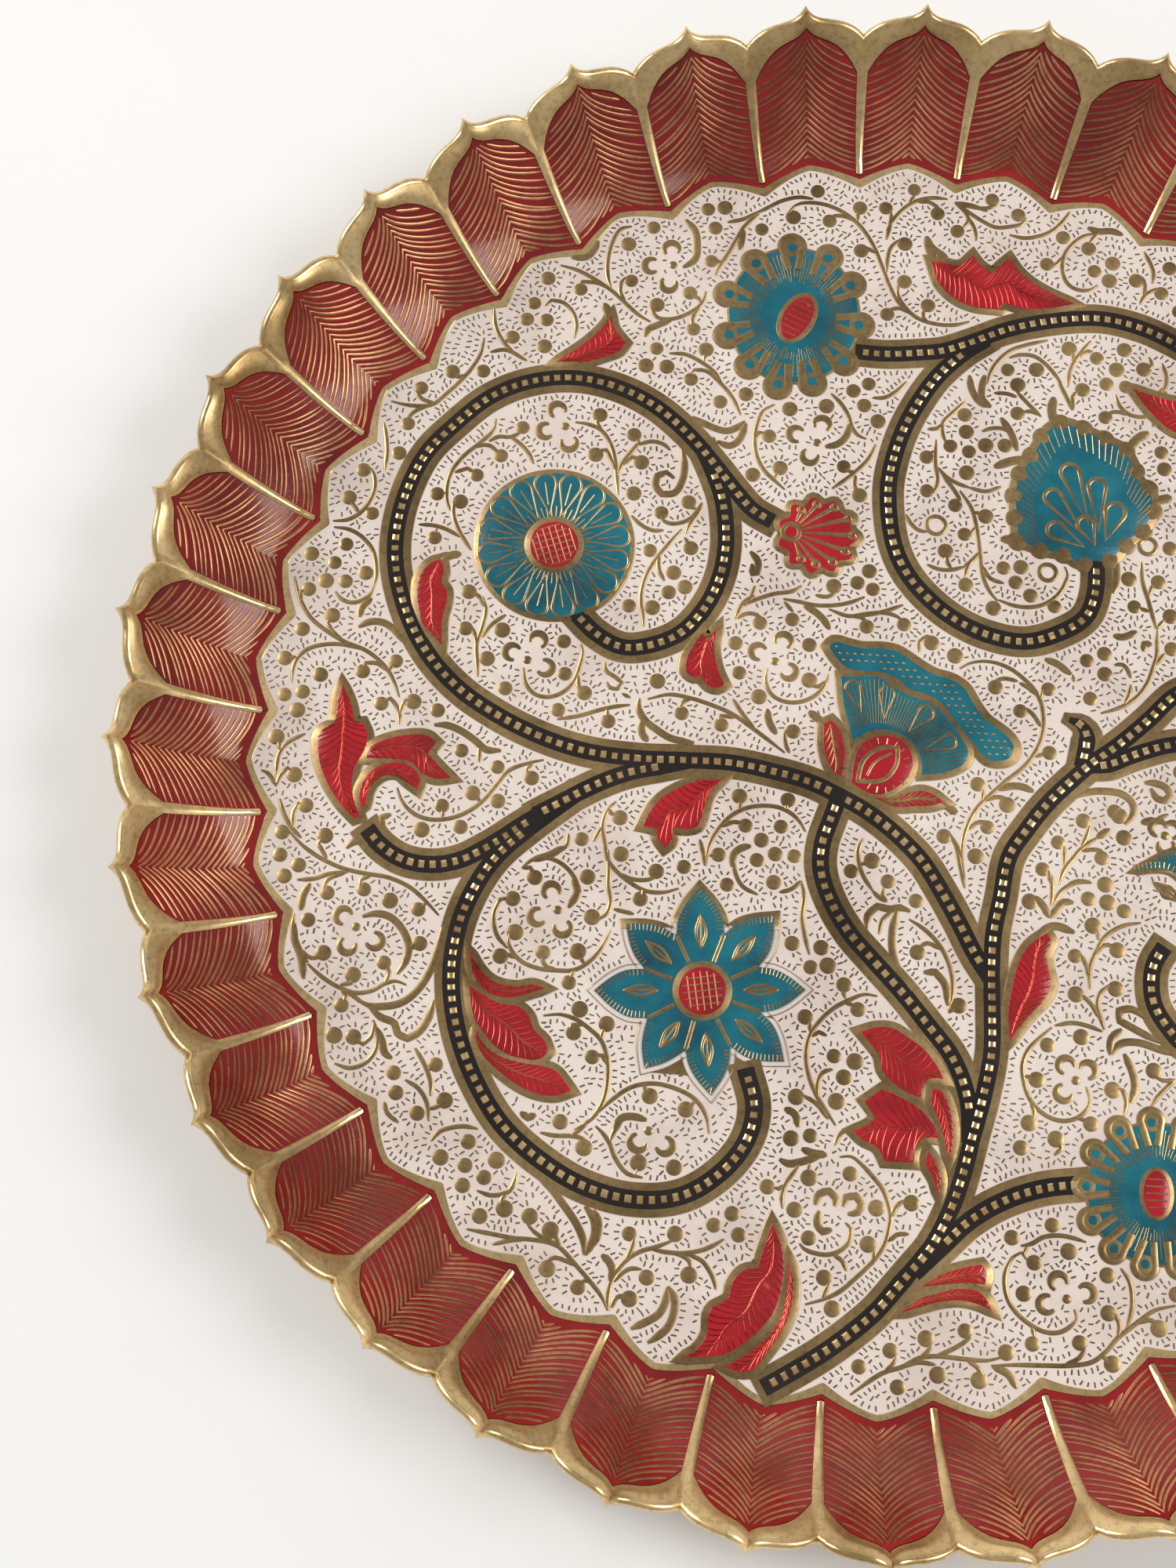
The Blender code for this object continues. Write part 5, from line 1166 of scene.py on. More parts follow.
            [(3.9, -32.6), (2, -32), (0.2, -32.4), (-2.4, -32), (-4.2, -33.9), (-4.3, -36.4)],
            [(1.4, -32.4), (0.6, -36.4), (0.7, -40.5), (2, -44.3), (4.6, -48.2)],
            [(6.8, -44.3), (9, -44.1), (10.9, -46.4), (11.6, -50.4)],
            [(-18.9, -71.7), (-16.9, -72.7), (-16.2, -75)],
        ],
        "dots": [(-22.6, -28.5), (-0.5, -27), (5, -30.5), (-18.6, -40.2), (-13, -40.7), (-14.9, -44.6),
                 (-11.6, -44.1), (-8.4, -47.6), (-5.6, -52.2), (-15.6, -54.2), (5.5, -40.5), (-9.9, -61.3),
                 (-5.9, -62.1), (-7.9, -65.2), (-9.2, -69.8), (-16.8, -69.4), (-17.5, -77.2),
                 (-13.9, -76.5)],
    },
    "north_east": {
        "stems": [
            [(18.8, 76.2), (21.4, 76.2), (23.4, 75.6)],
            [(23.4, 76.8), (25.4, 74.6), (28.4, 71.6)],
            [(24.8, 72.4), (26.4, 72.6), (28, 71.9)],
            [(16.4, 67.6), (18.4, 68.4), (20.9, 68.4), (22.6, 67.2)],
            [(14, 55.2), (17.4, 54.6), (20.4, 55.8)],
            [(12.1, 54.4), (14.4, 51), (15.4, 47.6), (16, 44), (16.4, 40.6), (17, 36.4), (18.6, 33),
             (20, 31.4)],
            [(15.2, 50), (16.4, 49.7)],
            [(14.4, 45.2), (15.4, 46.8)],
            [(13.2, 38.2), (14.8, 39.6), (16.2, 41.4)],
            [(13.3, 35.8), (14, 38.4), (15.4, 40.6)],
            [(16.8, 38.6), (18.6, 36), (21.2, 35.2)],
            [(20.2, 31.6), (23.4, 30.6), (26.8, 30.5), (30, 31.6), (32.8, 34.4), (33.9, 37.8),
             (33.4, 39.4)],
            [(31.8, 79.8), (33.4, 76.6), (34.8, 73.4)],
            [(35, 73.6), (34.9, 76.4), (36, 77.6)],
            [(43.6, 77.4), (44.6, 74.8), (46.6, 73.1), (49.4, 72.8), (52.2, 73.8)],
            [(42.2, 73.2), (44, 73.6), (46.2, 73.1)],
            [(53.4, 79.4), (51.8, 77.2), (50.4, 76.9)],
            [(48.8, 41.4), (49, 37.4), (50.2, 33.2), (51.7, 27.4)],
            [(51.2, 36.8), (50.3, 34.4)],
            [(48.4, 31.6), (50.4, 31)],
            [(53.4, 29.4), (52, 27.6)],
        ],
        "thick": [
            [(13.6, 79.8), (14.2, 76.6), (16, 73.9), (18.2, 73.2)],
            [(16.8, 80), (16.2, 77), (16.4, 74.6), (18, 73.3)],
            [(20.2, 70.8), (22.2, 67.8), (23.6, 63.8)],
            [(54, 78.6), (52.6, 75), (51.4, 70.8)],
            [(43.8, 41.4), (43.8, 37.4), (43.2, 34.4)],
        ],
        "dots": [(23.6, 78.3), (23.6, 72), (13.8, 63), (17.2, 64.6), (21.1, 64.8), (17.4, 49.2),
                 (13.6, 34.4),
                 (21.1, 38.4), (24.6, 38.8), (23.6, 35.5), (26.6, 32.9), (31.4, 30.9), (36.9, 78),
                 (41.6, 72.2),
                 (49.7, 76.9), (53, 65.2), (53.6, 61.6), (46.3, 37.6), (52.2, 37.3), (54.6, 44.6),
                 (47.4, 31.8),
                 (54.6, 30.2), (19.2, 29.8), (45.8, 79.2), (41.8, 79.6)],
    },
    "south_east": {
        "stems": [
            [(31.2, -24), (31.3, -26.6), (31.1, -30)],
            [(38.6, -24.6), (35.6, -25.2), (33, -27), (31.4, -29.7)],
            [(48.4, -32.2), (45, -33), (41.6, -35.3), (39.8, -38.4), (38.6, -41.8), (38.6, -45.6)],
            [(40, -34.2), (40.3, -36)],
            [(43, -36.9), (41.4, -37), (39.6, -39)],
            [(36.8, -39), (38, -41.2), (38.4, -43.2)],
            [(42.4, -44.6), (40.6, -46.4), (40.1, -48.8), (40.9, -51.6), (41.4, -53.2)],
            [(37, -46.8), (38.8, -48.4), (40.4, -51)],
            [(32, -53), (35.4, -52.3), (38.6, -52.8), (41, -53.6)],
            [(38, -64.3), (38.6, -66.8), (37.4, -69.4), (34, -70.9), (30.6, -70.2), (27.6, -67.6),
             (26.2, -64),
             (25.9, -60.6), (26.8, -58.2), (29.4, -55.2), (31.4, -53.4)],
            [(43.2, -64), (45, -64.6), (45.6, -66.8), (45, -69.3)],
            [(50.8, -61.4), (52.4, -62.2), (54.8, -62), (52, -64.8), (50.2, -67.2)],
            [(27.6, -63), (26.3, -63)],
            [(28, -71), (28.2, -69.4), (27.4, -67.6)],
            [(32, -77.4), (33.4, -76), (33, -74.8)],
            [(11.7, -51.8), (12.8, -50.8)],
            [(38.2, -70.6), (36.4, -70.3)],
        ],
        "thick": [
            [(35.4, -29), (33.6, -29), (32.2, -30.6), (30.9, -32.2)],
            [(27.4, -28.4), (28.9, -29.2), (30, -30.6), (30.8, -32.2)],
            [(49.6, -50.8), (46.6, -49), (44.2, -49.4), (44.4, -51.4), (47.6, -53), (51.8, -55)],
            [(44.8, -53), (42.8, -54.8), (42.6, -58)],
            [(42.8, -57.8), (44.4, -55.8), (47.6, -55.3), (52, -56.4), (54.9, -57.2)],
            [(45.2, -57.6), (46.8, -61.2), (47.2, -64), (46.4, -66.8)],
        ],
        "dots": [(27, -29.3), (38.3, -28.1), (42, -28.6), (45.2, -30.1), (41.6, -25.1), (39.2, -33.3),
                 (43.9, -37.8), (35.8, -39.4), (43.6, -45.3), (36, -46.8), (13.6, -50.3), (37, -54.9),
                 (30.6, -56.8), (28.6, -63.5), (27.2, -71.7), (38.9, -71.2), (32.3, -74.4), (25.7, -76.4),
                 (50.8, -60.5), (43, -64.6)],
        "florets": [(36, -63.2, [(34.2, -60.6), (38.2, -61.2), (33.8, -65.6)])],
    },
    "far_north": {
        "stems": [
            [(-32, 113.6), (-29.8, 114.8), (-26.4, 116.9), (-22.8, 118), (-19.8, 117.8)],
            [(-25, 114), (-23.2, 116.2), (-20.4, 116.9), (-16.4, 116.4), (-12.6, 114.6), (-9.3, 111.6),
             (-6.8, 107.6), (-4.9, 103), (-3.2, 98.6), (-1.4, 95.4), (1.6, 92.6), (4.6, 91.2)],
            [(-15.6, 114.2), (-13.2, 114.2), (-11, 113.4)],
            [(-10.3, 115.4), (-10.4, 113.2)],
            [(-8.6, 107.4), (-6.4, 106.2)],
            [(-1.2, 109.6), (-3.2, 107.6), (-3.9, 104.6), (-4, 102)],
            [(-1.4, 99.4), (-1.6, 97.2), (-0.2, 94.6), (2.6, 92), (6.8, 90.8), (10.6, 90.9), (13.4, 91.8)],
            [(-3, 93.6), (-0.8, 93.9), (0.8, 93)],
            [(4, 93.9), (3.8, 92.2), (4.8, 91.2)],
            [(-3.4, 115.8), (-3.4, 113.6), (-4.2, 109.4)],
            [(-4.2, 111.4), (-2.6, 114.4), (-0.4, 117), (2.2, 118.8), (5.4, 119.6), (8.4, 119.5)],
            [(6.8, 117.2), (4.4, 118.6), (2.4, 118.4)],
            [(1.4, 119.8), (0.4, 117.8)],
            [(10, 118.8), (12.2, 116.6), (12.8, 114.6), (11.8, 113.2)],
            [(10, 118.8), (13.4, 118.4), (16.8, 117.2)],
        ],
        "thick": [[(4.2, 110.6), (5.2, 108.4), (8.6, 106)]],
        "dots": [(-30.3, 110.1), (-23.8, 113.3), (-16.2, 112.9), (-9.9, 116.3), (-4.5, 116.6), (1.4, 121.2),
                 (6.4, 116), (10.6, 112.2), (-9.4, 106.5), (-0.3, 108.6), (-0.2, 100), (4.8, 94.9),
                 (-3.6, 92.4), (-18.9, 119.6)],
    },
    "south_west": {
        "stems": [
            [(-50.1, -110.5), (-51.4, -108.1), (-53.6, -105.6), (-56.4, -102.8), (-58.6, -100.6),
             (-60.4, -99.2),
             (-63.6, -97.8), (-65.4, -96.4), (-66.4, -94.9)],
            [(-60, -99.7), (-62.1, -98.9), (-65, -98.6), (-68.6, -98.5), (-72.5, -98), (-77.1, -97.4)],
            [(-66, -98.6), (-69, -99), (-72.1, -99.9)],
            [(-59.4, -100), (-60.7, -97.6), (-61.4, -96.9)],
            [(-56.4, -102.8), (-58.6, -102), (-60.4, -101.6), (-61.8, -102.2)],
            [(-53.6, -105.6), (-54.6, -105.4), (-55.6, -105.8)],
            [(-50, -110.5), (-50.2, -107.4), (-49.6, -104.6), (-48.2, -102.4), (-46.4, -100.6),
             (-44.3, -99.4),
             (-42.1, -98.7), (-40, -97.8), (-38.4, -97)],
            [(-42.9, -99), (-40, -99.4), (-36.6, -99.4), (-33.4, -98.7), (-31.4, -97.8), (-29.3, -96.4)],
            [(-45.9, -97), (-46.1, -98.4), (-46.6, -99.9), (-47.2, -101.1)],
            [(-49.3, -105.3), (-47.9, -103.7), (-46.1, -102.7), (-44.3, -102.8)],
            [(-35.1, -102), (-35.5, -100.8), (-37.1, -99.8), (-38.8, -99.4)],
            [(-36.2, -99.5), (-33.2, -100.6), (-31.8, -102.2), (-30.7, -104.2), (-30.4, -105.6)],
            [(-49.5, -110), (-48.6, -108.1), (-47.1, -107.6)],
            [(-68.6, -86.4), (-68.8, -88.1), (-69.6, -89.9), (-71.4, -90.8), (-73.2, -91), (-75.7, -90.3)],
            [(-71.2, -92.4), (-70.9, -91.4), (-70.2, -90.4)],
            [(-85, -81.7), (-83.6, -79.9), (-81.4, -79), (-78.9, -78.6), (-76.4, -78.9)],
            [(-55.7, -80), (-57.1, -79.4), (-58.9, -79.2), (-62.1, -79.3), (-64.6, -78.9)],
            [(-58.9, -79.2), (-57.1, -77.8), (-55.7, -76)],
            [(-54.3, -77.1), (-52.9, -78.3), (-51.4, -80.3), (-50.5, -82.4), (-49.3, -84.2), (-47.9, -85.5),
             (-45, -86.1)],
            [(-51.4, -79.6), (-50.7, -77.8), (-49.6, -76.4)],
            [(-46.1, -84.6), (-46.6, -85.6)],
        ],
        "thick": [
            [(-51.8, -100.6), (-50.4, -101.7), (-49.6, -103.5), (-50, -105.3)],
            [(-45.7, -113.5), (-42.9, -112.1), (-40.7, -110.6), (-39.5, -108.1), (-39.4, -105.8)],
            [(-39.3, -105.6), (-38, -107.4), (-37.9, -109.9), (-38.9, -112.8), (-41.1, -114.9),
             (-42.5, -115.8)],
            [(-65, -86.6), (-62.1, -88.9), (-59.3, -92.1), (-56.8, -95.3), (-55.4, -98.1), (-55, -100.8)],
            [(-55.4, -92), (-53.8, -93.9), (-53.3, -96.7), (-53.9, -98.9), (-54.9, -100.8)],
            [(-53.8, -92.6), (-52.9, -94.2), (-52.8, -97), (-53.6, -99.2)],
        ],
        "dots": [(-78, -81.4), (-72.5, -84.5), (-83, -84.6), (-78.3, -85.8), (-74.6, -87.8), (-78.5, -89.5),
                 (-70.4, -93.3), (-74.9, -94.9), (-65.6, -94.4), (-61.6, -96.7), (-61.8, -103.7),
                 (-55.9, -106.7), (-38.4, -96), (-46.9, -96.5), (-43.3, -104.2), (-35.5, -103.3),
                 (-46.3, -108.2), (-56.3, -81.2), (-45.9, -83.4), (-39.2, -83.9)],
        "florets": [(-44.3, -77.4, [(-46.1, -79.6), (-41.2, -79.9)])],
    },
    "far_south": {
        "stems": [
            [(-15.8, -81.9), (-17.1, -83.9), (-18.2, -85.6), (-18.8, -87.8), (-18.6, -90.2)],
            [(-18.3, -85.8), (-19.4, -86.6), (-20.4, -86.5)],
            [(-13.9, -83), (-13.9, -81.6)],
            [(-6.8, -92.1), (-5.7, -93.1), (-6.1, -95.6), (-7.9, -97.4), (-10, -98.1), (-12.1, -98),
             (-14.3, -97.3), (-15.2, -96.4)],
            [(-8.9, -98), (-7.1, -99.2), (-6.4, -100.8)],
            [(-8.2, -80.1), (-6.1, -79.9), (-3.9, -81.4), (-1.8, -83.5), (0, -85.6), (1.1, -88.1),
             (1.6, -90.3),
             (1.3, -92.8), (0.7, -95.3), (-0.7, -97.8), (-2.5, -99.9), (-5, -102.4), (-7.5, -104.6),
             (-10, -106),
             (-13.8, -107.3)],
            [(1.1, -95), (1.9, -94.5), (2.9, -93.7), (5, -93.5)],
            [(1.7, -90.6), (2.7, -88.5), (3.9, -87.4)],
            [(-1.4, -96.7), (-1.3, -98.5), (-2.3, -99.8)],
            [(-9.6, -103.4), (-10.2, -104.9), (-10.7, -106.2)],
            [(-5, -122.8), (-2.1, -120.6), (1.1, -118.5), (4.3, -117.4), (7.5, -115.6), (10.4, -115.1),
             (15.7, -115.3), (20, -115.3), (22.5, -114.6)],
            [(4.3, -117.4), (7.2, -116.4), (10.4, -116.6)],
            [(3.1, -115.7), (2.4, -117.2), (0.9, -118.6)],
            [(9.6, -113.4), (8.9, -114.4), (7.5, -115.6)],
            [(16.8, -111.4), (15, -112.8), (12.1, -114.4), (10.4, -115.1)],
            [(19.3, -118.1), (18.2, -116.7), (16.4, -115.6)],
            [(35.9, -105.3), (36.3, -106.7), (35, -108.5), (32.9, -109.6), (30.4, -109.6), (27.5, -108.3),
             (25.4, -106.7), (23.8, -104.6), (23, -101.7), (23.2, -98.9), (24.3, -96.7), (26.1, -95.5)],
            [(25.9, -94.4), (27.9, -93.9), (30, -92.6), (32.9, -92.1), (35.7, -92.4), (38, -93)],
            [(27, -96.8), (26.4, -95.8), (27.1, -94.4)],
            [(28.6, -110.6), (28.1, -108.8)],
            [(44.5, -97.4), (46.1, -99.6), (46.6, -102.4), (46.4, -105.3), (45.4, -108.1)],
            [(20.7, -116.2), (25, -115.8), (30, -115.6), (35.4, -115.3), (39.3, -114.4), (41.8, -112.4),
             (43.9, -109.9), (46.1, -108.1), (48.2, -106.4), (50.7, -104.6), (54.6, -103.5)],
            [(43.2, -105.4), (44.2, -107.4), (44, -109.8)],
            [(51, -106.6), (49.4, -106.4), (47.7, -107.1)],
            [(37.9, -112.1), (36.8, -113.9), (34.3, -115.2)],
            [(42, -114), (41, -113.2)],
        ],
        "thick": [
            [(-15.4, -79), (-13.6, -79.6), (-10.7, -79.9)],
            [(-19.5, -81.2), (-17.9, -81.9), (-15.7, -81.5), (-13.6, -80.8), (-11.8, -80.1)],
            [(-12.5, -89.2), (-11.8, -87.1), (-10, -86.5), (-8.6, -87.8), (-8.9, -89.2)],
            [(-11.8, -90.2), (-12, -92.8), (-11, -94), (-9.3, -93.5)],
            [(-7.3, -89.2), (-6.8, -87.4), (-5, -87.1), (-3.9, -88.5), (-4.6, -90.1), (-6.4, -90.5)],
            [(21, -116.3), (23.9, -117.6), (25.4, -119.9)],
        ],
        "dots": [(-31.3, -94), (-26.6, -95.5), (-28, -91.7), (-21.6, -86.4),
                 (-13.9, -84.3), (-6.2, -83.1), (-16.4, -90.3), (-13.6, -95.3), (-1.1, -89.1), (5.4, -87.8),
                 (-2.5, -95.8), (-10.5, -102.3), (-8.8, -107.8), (2.1, -114.6), (8.6, -112.1),
                 (-3.6, -117.8),
                 (3.6, -121), (10.9, -118.4), (15.8, -110.3), (18.5, -118.9), (23.4, -113.7), (31.7, -90.3),
                 (24.2, -93), (28.4, -97.3), (34.8, -94.9), (42, -98.8), (26.5, -103), (42.2, -105.6),
                 (51.5, -107.8), (54.8, -101.5), (28.2, -111.9), (36.9, -111.2), (42.9, -114.6)],
        "florets": [(34.5, -103.5, [(33, -100.6), (38, -102.3), (30.9, -104.6)])],
    },
    "east": {
        "stems": [
            [(12.7, 16.8), (14.6, 18), (17.1, 18.6), (20, 18.4), (22.9, 17.3), (25.4, 15.5), (27.5, 13.4),
             (28.8, 10.9), (29.3, 8.4), (29.3, 5.1), (28.6, 2.3), (27.1, -0.6), (25, -3.1), (22.1, -5.6),
             (19.6, -8.1), (17.5, -10.2), (15.7, -12.7), (14.5, -15.6), (13.8, -18.8), (13.8, -22),
             (14.3, -25.6)],
            [(19.6, 14.6), (21.4, 15.3), (24.2, 14.9)],
            [(24.6, 14.6), (26.4, 13.6), (27.9, 12.3)],
            [(26, 9.4), (27.5, 8), (28.8, 5.9)],
            [(29.1, 13.4), (28.8, 11.6)],
            [(29.6, 0.5), (27.9, -0.4)],
            [(17.7, -7.7), (17.5, -9.9)],
            [(22.1, -9), (20, -9), (18.2, -9.8)],
            [(18.2, -13.9), (16.4, -14.4), (15.1, -15.7)],
            [(11.6, -17.5), (12.9, -19.5), (13.7, -21.4)],
            [(35, 16.9), (35.4, 15.5)],
            [(40.7, 9.3), (43.6, 10.3), (46.1, 11.6), (48.2, 13.4), (50, 16.2), (51, 19.1), (51.8, 21.9),
             (51.8, 25.1), (51.8, 28)],
            [(53.4, 22.4), (51.7, 20)],
            [(43.4, 19.4), (45, 19.6), (46.1, 18.4), (46.6, 16.9)],
            [(46.6, 15.5), (46.3, 13.4), (45.4, 11.5)],
            [(38.5, -13.6), (37.9, -15.9), (36.8, -18.1)],
            [(33.5, -17.9), (33.7, -20), (33.6, -21.8)],
            [(40, -15.9), (37.1, -18.1), (35.4, -20.2), (33.6, -22.7), (32.5, -25.6)],
            [(41, -18.4), (39.3, -18.3), (37, -18.7)],
            [(30.5, -23), (31.1, -25.6)],
            [(38.9, -24.9), (36.4, -24.7), (34.3, -25.6)],
            [(51.4, -11.6), (53.9, -10.4)],
        ],
        "thick": [
            [(20.7, -7.4), (22.9, -6.6), (25.4, -6.6), (27.5, -7.4)],
            [(29.6, 19.8), (32.1, 18.9), (33.9, 17.6), (34.8, 17)],
            [(43.2, 25.5), (45, 25.3), (47.9, 26.6)],
            [(35.7, -8), (38.6, -6.8), (41.8, -6.5), (44.6, -6.8), (46.1, -7.7), (47.1, -9.1), (47, -10.9),
             (45.4, -12.9)],
            [(42.5, -14.1), (41.2, -15), (40, -15.9)],
            [(49.3, -4.3), (51.4, -4.3), (53.6, -5.2), (54.3, -6.6), (53.2, -7.7), (51.8, -7.4),
             (50.5, -5.4)],
            [(48.6, -12.4), (50, -12), (51.4, -11.6)],
            [(49.2, 22.6), (49.4, 24.2), (50.8, 24.2)],
        ],
        "dots": [(19.8, 13.4), (24.8, 8.8), (30.3, 13.6), (30.6, 0.6), (16.6, -6.6),
                 (22.4, -10.4), (18.6, -15.1), (16.4, -21), (37.9, 20), (41.4, 21.6),
                 (41.5, 17.4), (38.6, 12.2), (54.8, 23.4), (37.3, -12.7), (32.4, -17.3), (45.2, -15.6),
                 (40.9, -19.9), (29.4, -22.8), (43.4, -10.5), (44.3, -11.3)],
        "florets": [(53.2, -14.7, [(52, -13.4), (54.6, -13.6), (53.4, -16.8)])],
    },
    "far_north_east": {
        "stems": [
            [(10, 118.6), (12.9, 118.1), (15.7, 117.8), (17.5, 118.1), (18.8, 118.8)],
            [(10.4, 118.6), (13.2, 116.5), (16.1, 114.7), (18.6, 113.6), (21.8, 114), (24.3, 114.9),
             (24.8, 116.3)],
            [(12.1, 117), (12.8, 115.3), (13.6, 114.2), (14.4, 112), (14.5, 110.3)],
            [(21.6, 112), (24.6, 111.5), (27.9, 112.2), (30.4, 113.5), (32.5, 115.6), (34.1, 118.1)],
            [(39.8, 113.6), (37.1, 112.7), (34.6, 110.6), (33, 108.1), (32.5, 105.6), (32.9, 103.1),
             (34.3, 101.1), (36.4, 100.3), (38.6, 100.6), (40, 101.7)],
            [(40, 113.5), (38.8, 112), (38.2, 111)],
            [(30.6, 105.4), (31.8, 106.4), (32.6, 107.6)],
            [(49.6, 109.9), (50.9, 107.4), (51.6, 104.9), (51.3, 102.8)],
            [(48.8, 97.9), (49.8, 99.9), (51.4, 101.1), (52.9, 101.7)],
            [(49.2, 104.2), (49.8, 102), (49.5, 99.6)],
        ],
        "thick": [[(37.9, 114.7), (40, 114), (42.9, 114.2), (45.2, 113.5)]],
        "dots": [(17.8, 119.9), (23.3, 116.7), (32.7, 112.1), (29.4, 105.8), (38.1, 109.9), (43.1, 106.8),
                 (39.3, 104.8), (42.4, 102.8), (48, 103.2), (53.2, 100.6), (55, 106.4)],
    },
    "north_east_top": {
        "stems": [
            [(29.6, 88.6), (25, 87.2), (22.1, 85.9), (19.3, 83.1), (17.8, 80.3), (17.2, 78.1)],
            [(21.8, 84.2), (23.9, 85), (26.8, 84.9), (28.9, 83.6), (30.7, 81.7), (32.5, 79.2)],
            [(38.6, 89), (37.1, 87), (35.4, 84.5), (34.3, 82), (33.8, 78.5)],
            [(35, 86), (34.8, 84.5)],
            [(38.9, 86.7), (37.5, 86.5), (36.4, 85.3)],
            [(50.5, 86.1), (51.1, 84.5), (50.4, 83.1)],
            [(53.2, 84.9), (54.1, 82), (53.9, 79.5), (53.2, 78)],
        ],
        "dots": [(34.1, 87), (39.8, 85.2), (45.5, 87.4), (49.5, 83.3), (43.9, 82.9), (21.5, 81.5),
                 (27.4, 81.9)],
    },
}


# Ground

def ground_outline(inset=0.0):
    t = np.concatenate([np.linspace(-1, 1, 17), np.linspace(1, 3, 4)[1:-1]])
    v = -(ground_inset(t) + inset)
    return np.concatenate([rim_surface(p, t, v, 0.0)[:, :2] for p in range(PETALS)])


def make_ground():
    outline = ground_outline(-0.02)
    count = len(outline)
    shares = np.linspace(0.04, 1, 14)
    points = [np.concatenate([outline * share, np.full((count, 1), LAND + GROUND_TOP)], axis=1)
              for share in shares]
    points.append([[0, 0, LAND + GROUND_TOP]])
    faces = []
    for row in range(len(shares) - 1):
        for i in range(count):
            j = (i + 1) % count
            faces.append((row * count + i, (row + 1) * count + i, (row + 1) * count + j, row * count + j))
    faces += [(len(shares) * count, i, (i + 1) % count) for i in range(count)]
    make_piece("ground_white", np.concatenate(points), faces, [WHITE],
               ["ground_enamel", "ground_enamel_2", "ground_enamel_3"])


class Blocked:
    """A fine grid of what covers the ground, for laying dashes in rows round it."""

    STEP = 0.25
    REACH = 7.5

    def __init__(self):
        self.half = int(FLOOR_RADIUS / self.STEP) + 8
        axis = (np.arange(2 * self.half) - self.half) * self.STEP
        self.x, self.y = np.meshgrid(axis, axis, indexing="ij")
        self.full = ~inside(ground_outline(), np.stack([self.x, self.y], axis=-1))

    def window(self, low, high):
        i0, j0 = (np.floor(np.asarray(low) / self.STEP).astype(int) + self.half).clip(0, 2 * self.half)
        i1, j1 = (np.ceil(np.asarray(high) / self.STEP).astype(int) + self.half + 1).clip(0, 2 * self.half)
        return slice(i0, i1), slice(j0, j1)

    def disc(self, centre, radius):
        at = self.window(np.asarray(centre) - radius, np.asarray(centre) + radius)
        self.full[at] |= (self.x[at] - centre[0]) ** 2 + (self.y[at] - centre[1]) ** 2 < radius ** 2

    def band(self, line, half):
        for point in along(np.asarray(line), 0.3)[0]:
            self.disc(point, half)

    def area(self, outline):
        at = self.window(outline.min(axis=0), outline.max(axis=0))
        self.full[at] |= inside(outline, np.stack([self.x[at], self.y[at]], axis=-1))

    def free(self, points, room=0.6):
        """Whether there is room round each of the points."""
        for point in points:
            at = self.window(np.asarray(point) - room, np.asarray(point) + room)
            block = self.full[at]
            if not block.size or block.any():
                return False
        return True

    def distances(self):
        """For each free place, how far the nearest cover is and where it lies."""
        full = self.full
        edge = full.copy()
        edge[1:-1, 1:-1] &= ~(full[2:, 1:-1] & full[:-2, 1:-1] & full[1:-1, 2:] & full[1:-1, :-2])
        far = np.full(full.shape, self.REACH ** 2)
        from_x = np.zeros(full.shape)
        from_y = np.zeros(full.shape)
        for i, j in zip(*np.nonzero(edge)):
            x, y = self.x[i, j], self.y[i, j]
            if x * x + y * y > (FLOOR_RADIUS + 4) ** 2:
                continue
            reach = int(self.REACH / self.STEP)
            at = (slice(max(0, i - reach), i + reach + 1), slice(max(0, j - reach), j + reach + 1))
            away = (self.x[at] - x) ** 2 + (self.y[at] - y) ** 2
            near = away < far[at]
            far[at][near] = away[near]
            from_x[at][near] = x
            from_y[at][near] = y
        return np.sqrt(far), from_x, from_y


def make_dashes(blocked):
    """Short strokes square to the nearest outline, in rows round everything on the ground. They are drawn
    raised, and their dark brass is partly the metal's dull tone and partly painted shade of engraved cuts.
    """
    far, from_x, from_y = blocked.distances()
    relief = Relief()
    taken = {}
    for level in DASH_ROWS:
        rows = (np.abs(far - level) < 0.16) & ~blocked.full
        for i, j in zip(*np.nonzero(rows)):
            x, y = blocked.x[i, j], blocked.y[i, j]
            cell = (int(x // DASH_PITCH), int(y // DASH_PITCH))
            round_it = [(cell[0] + u, cell[1] + w) for u in (-1, 0, 1) for w in (-1, 0, 1)]
            if any((x - a) ** 2 + (y - b) ** 2 < DASH_PITCH ** 2
                   for other in round_it for a, b in taken.get(other, ())):
                continue
            taken.setdefault(cell, []).append((x, y))
            direction = unit_rows(np.array([x - from_x[i, j], y - from_y[i, j]]))
            if random.random() < DASH_LEFT_OUT:
                continue
            turn = random.gauss(0, DASH_TURN)
            direction = np.array([direction[0] - turn * direction[1], direction[1] + turn * direction[0]])
            relief.block(np.array([x, y]), direction, random.uniform(0.42, 0.6), random.uniform(0.13, 0.18),
                         DASH_TOP)
    # The dashes' dark colour is painted shade of engraved cuts, on raised strokes.
    relief.make("ground_dashes", DASH_BRASS_AND_SHADE, "brass")


# Scrollwork

def moved(shape, turn, flip, move):
    """A shape flipped across, turned about the plate's middle and moved."""
    c, s = math.cos(math.radians(turn)), math.sin(math.radians(turn))
    return [(flip * x * c - y * s + move[0], flip * x * s + y * c + move[1]) for x, y in shape]


def draw_floret(relief, blocked, centre, petals):
    relief.dot(centre, FLORET_DOT, STEM_TOP)
    blocked.disc(centre, FLORET_DOT)
    for place in petals:
        facing = math.atan2(centre[1] - place[1], centre[0] - place[0])
        angle = np.linspace(facing + FLORET_OPENING, facing + 2 * math.pi - FLORET_OPENING, 22)
        arc = np.stack([place[0] + FLORET_PETAL * np.cos(angle),
                        place[1] + FLORET_PETAL * np.sin(angle)], axis=1)
        share = np.sin(np.linspace(0, math.pi, 22))
        relief.line(arc, 0.3 + 0.42 * share, STEM_TOP)
        blocked.disc(place, FLORET_REACH)


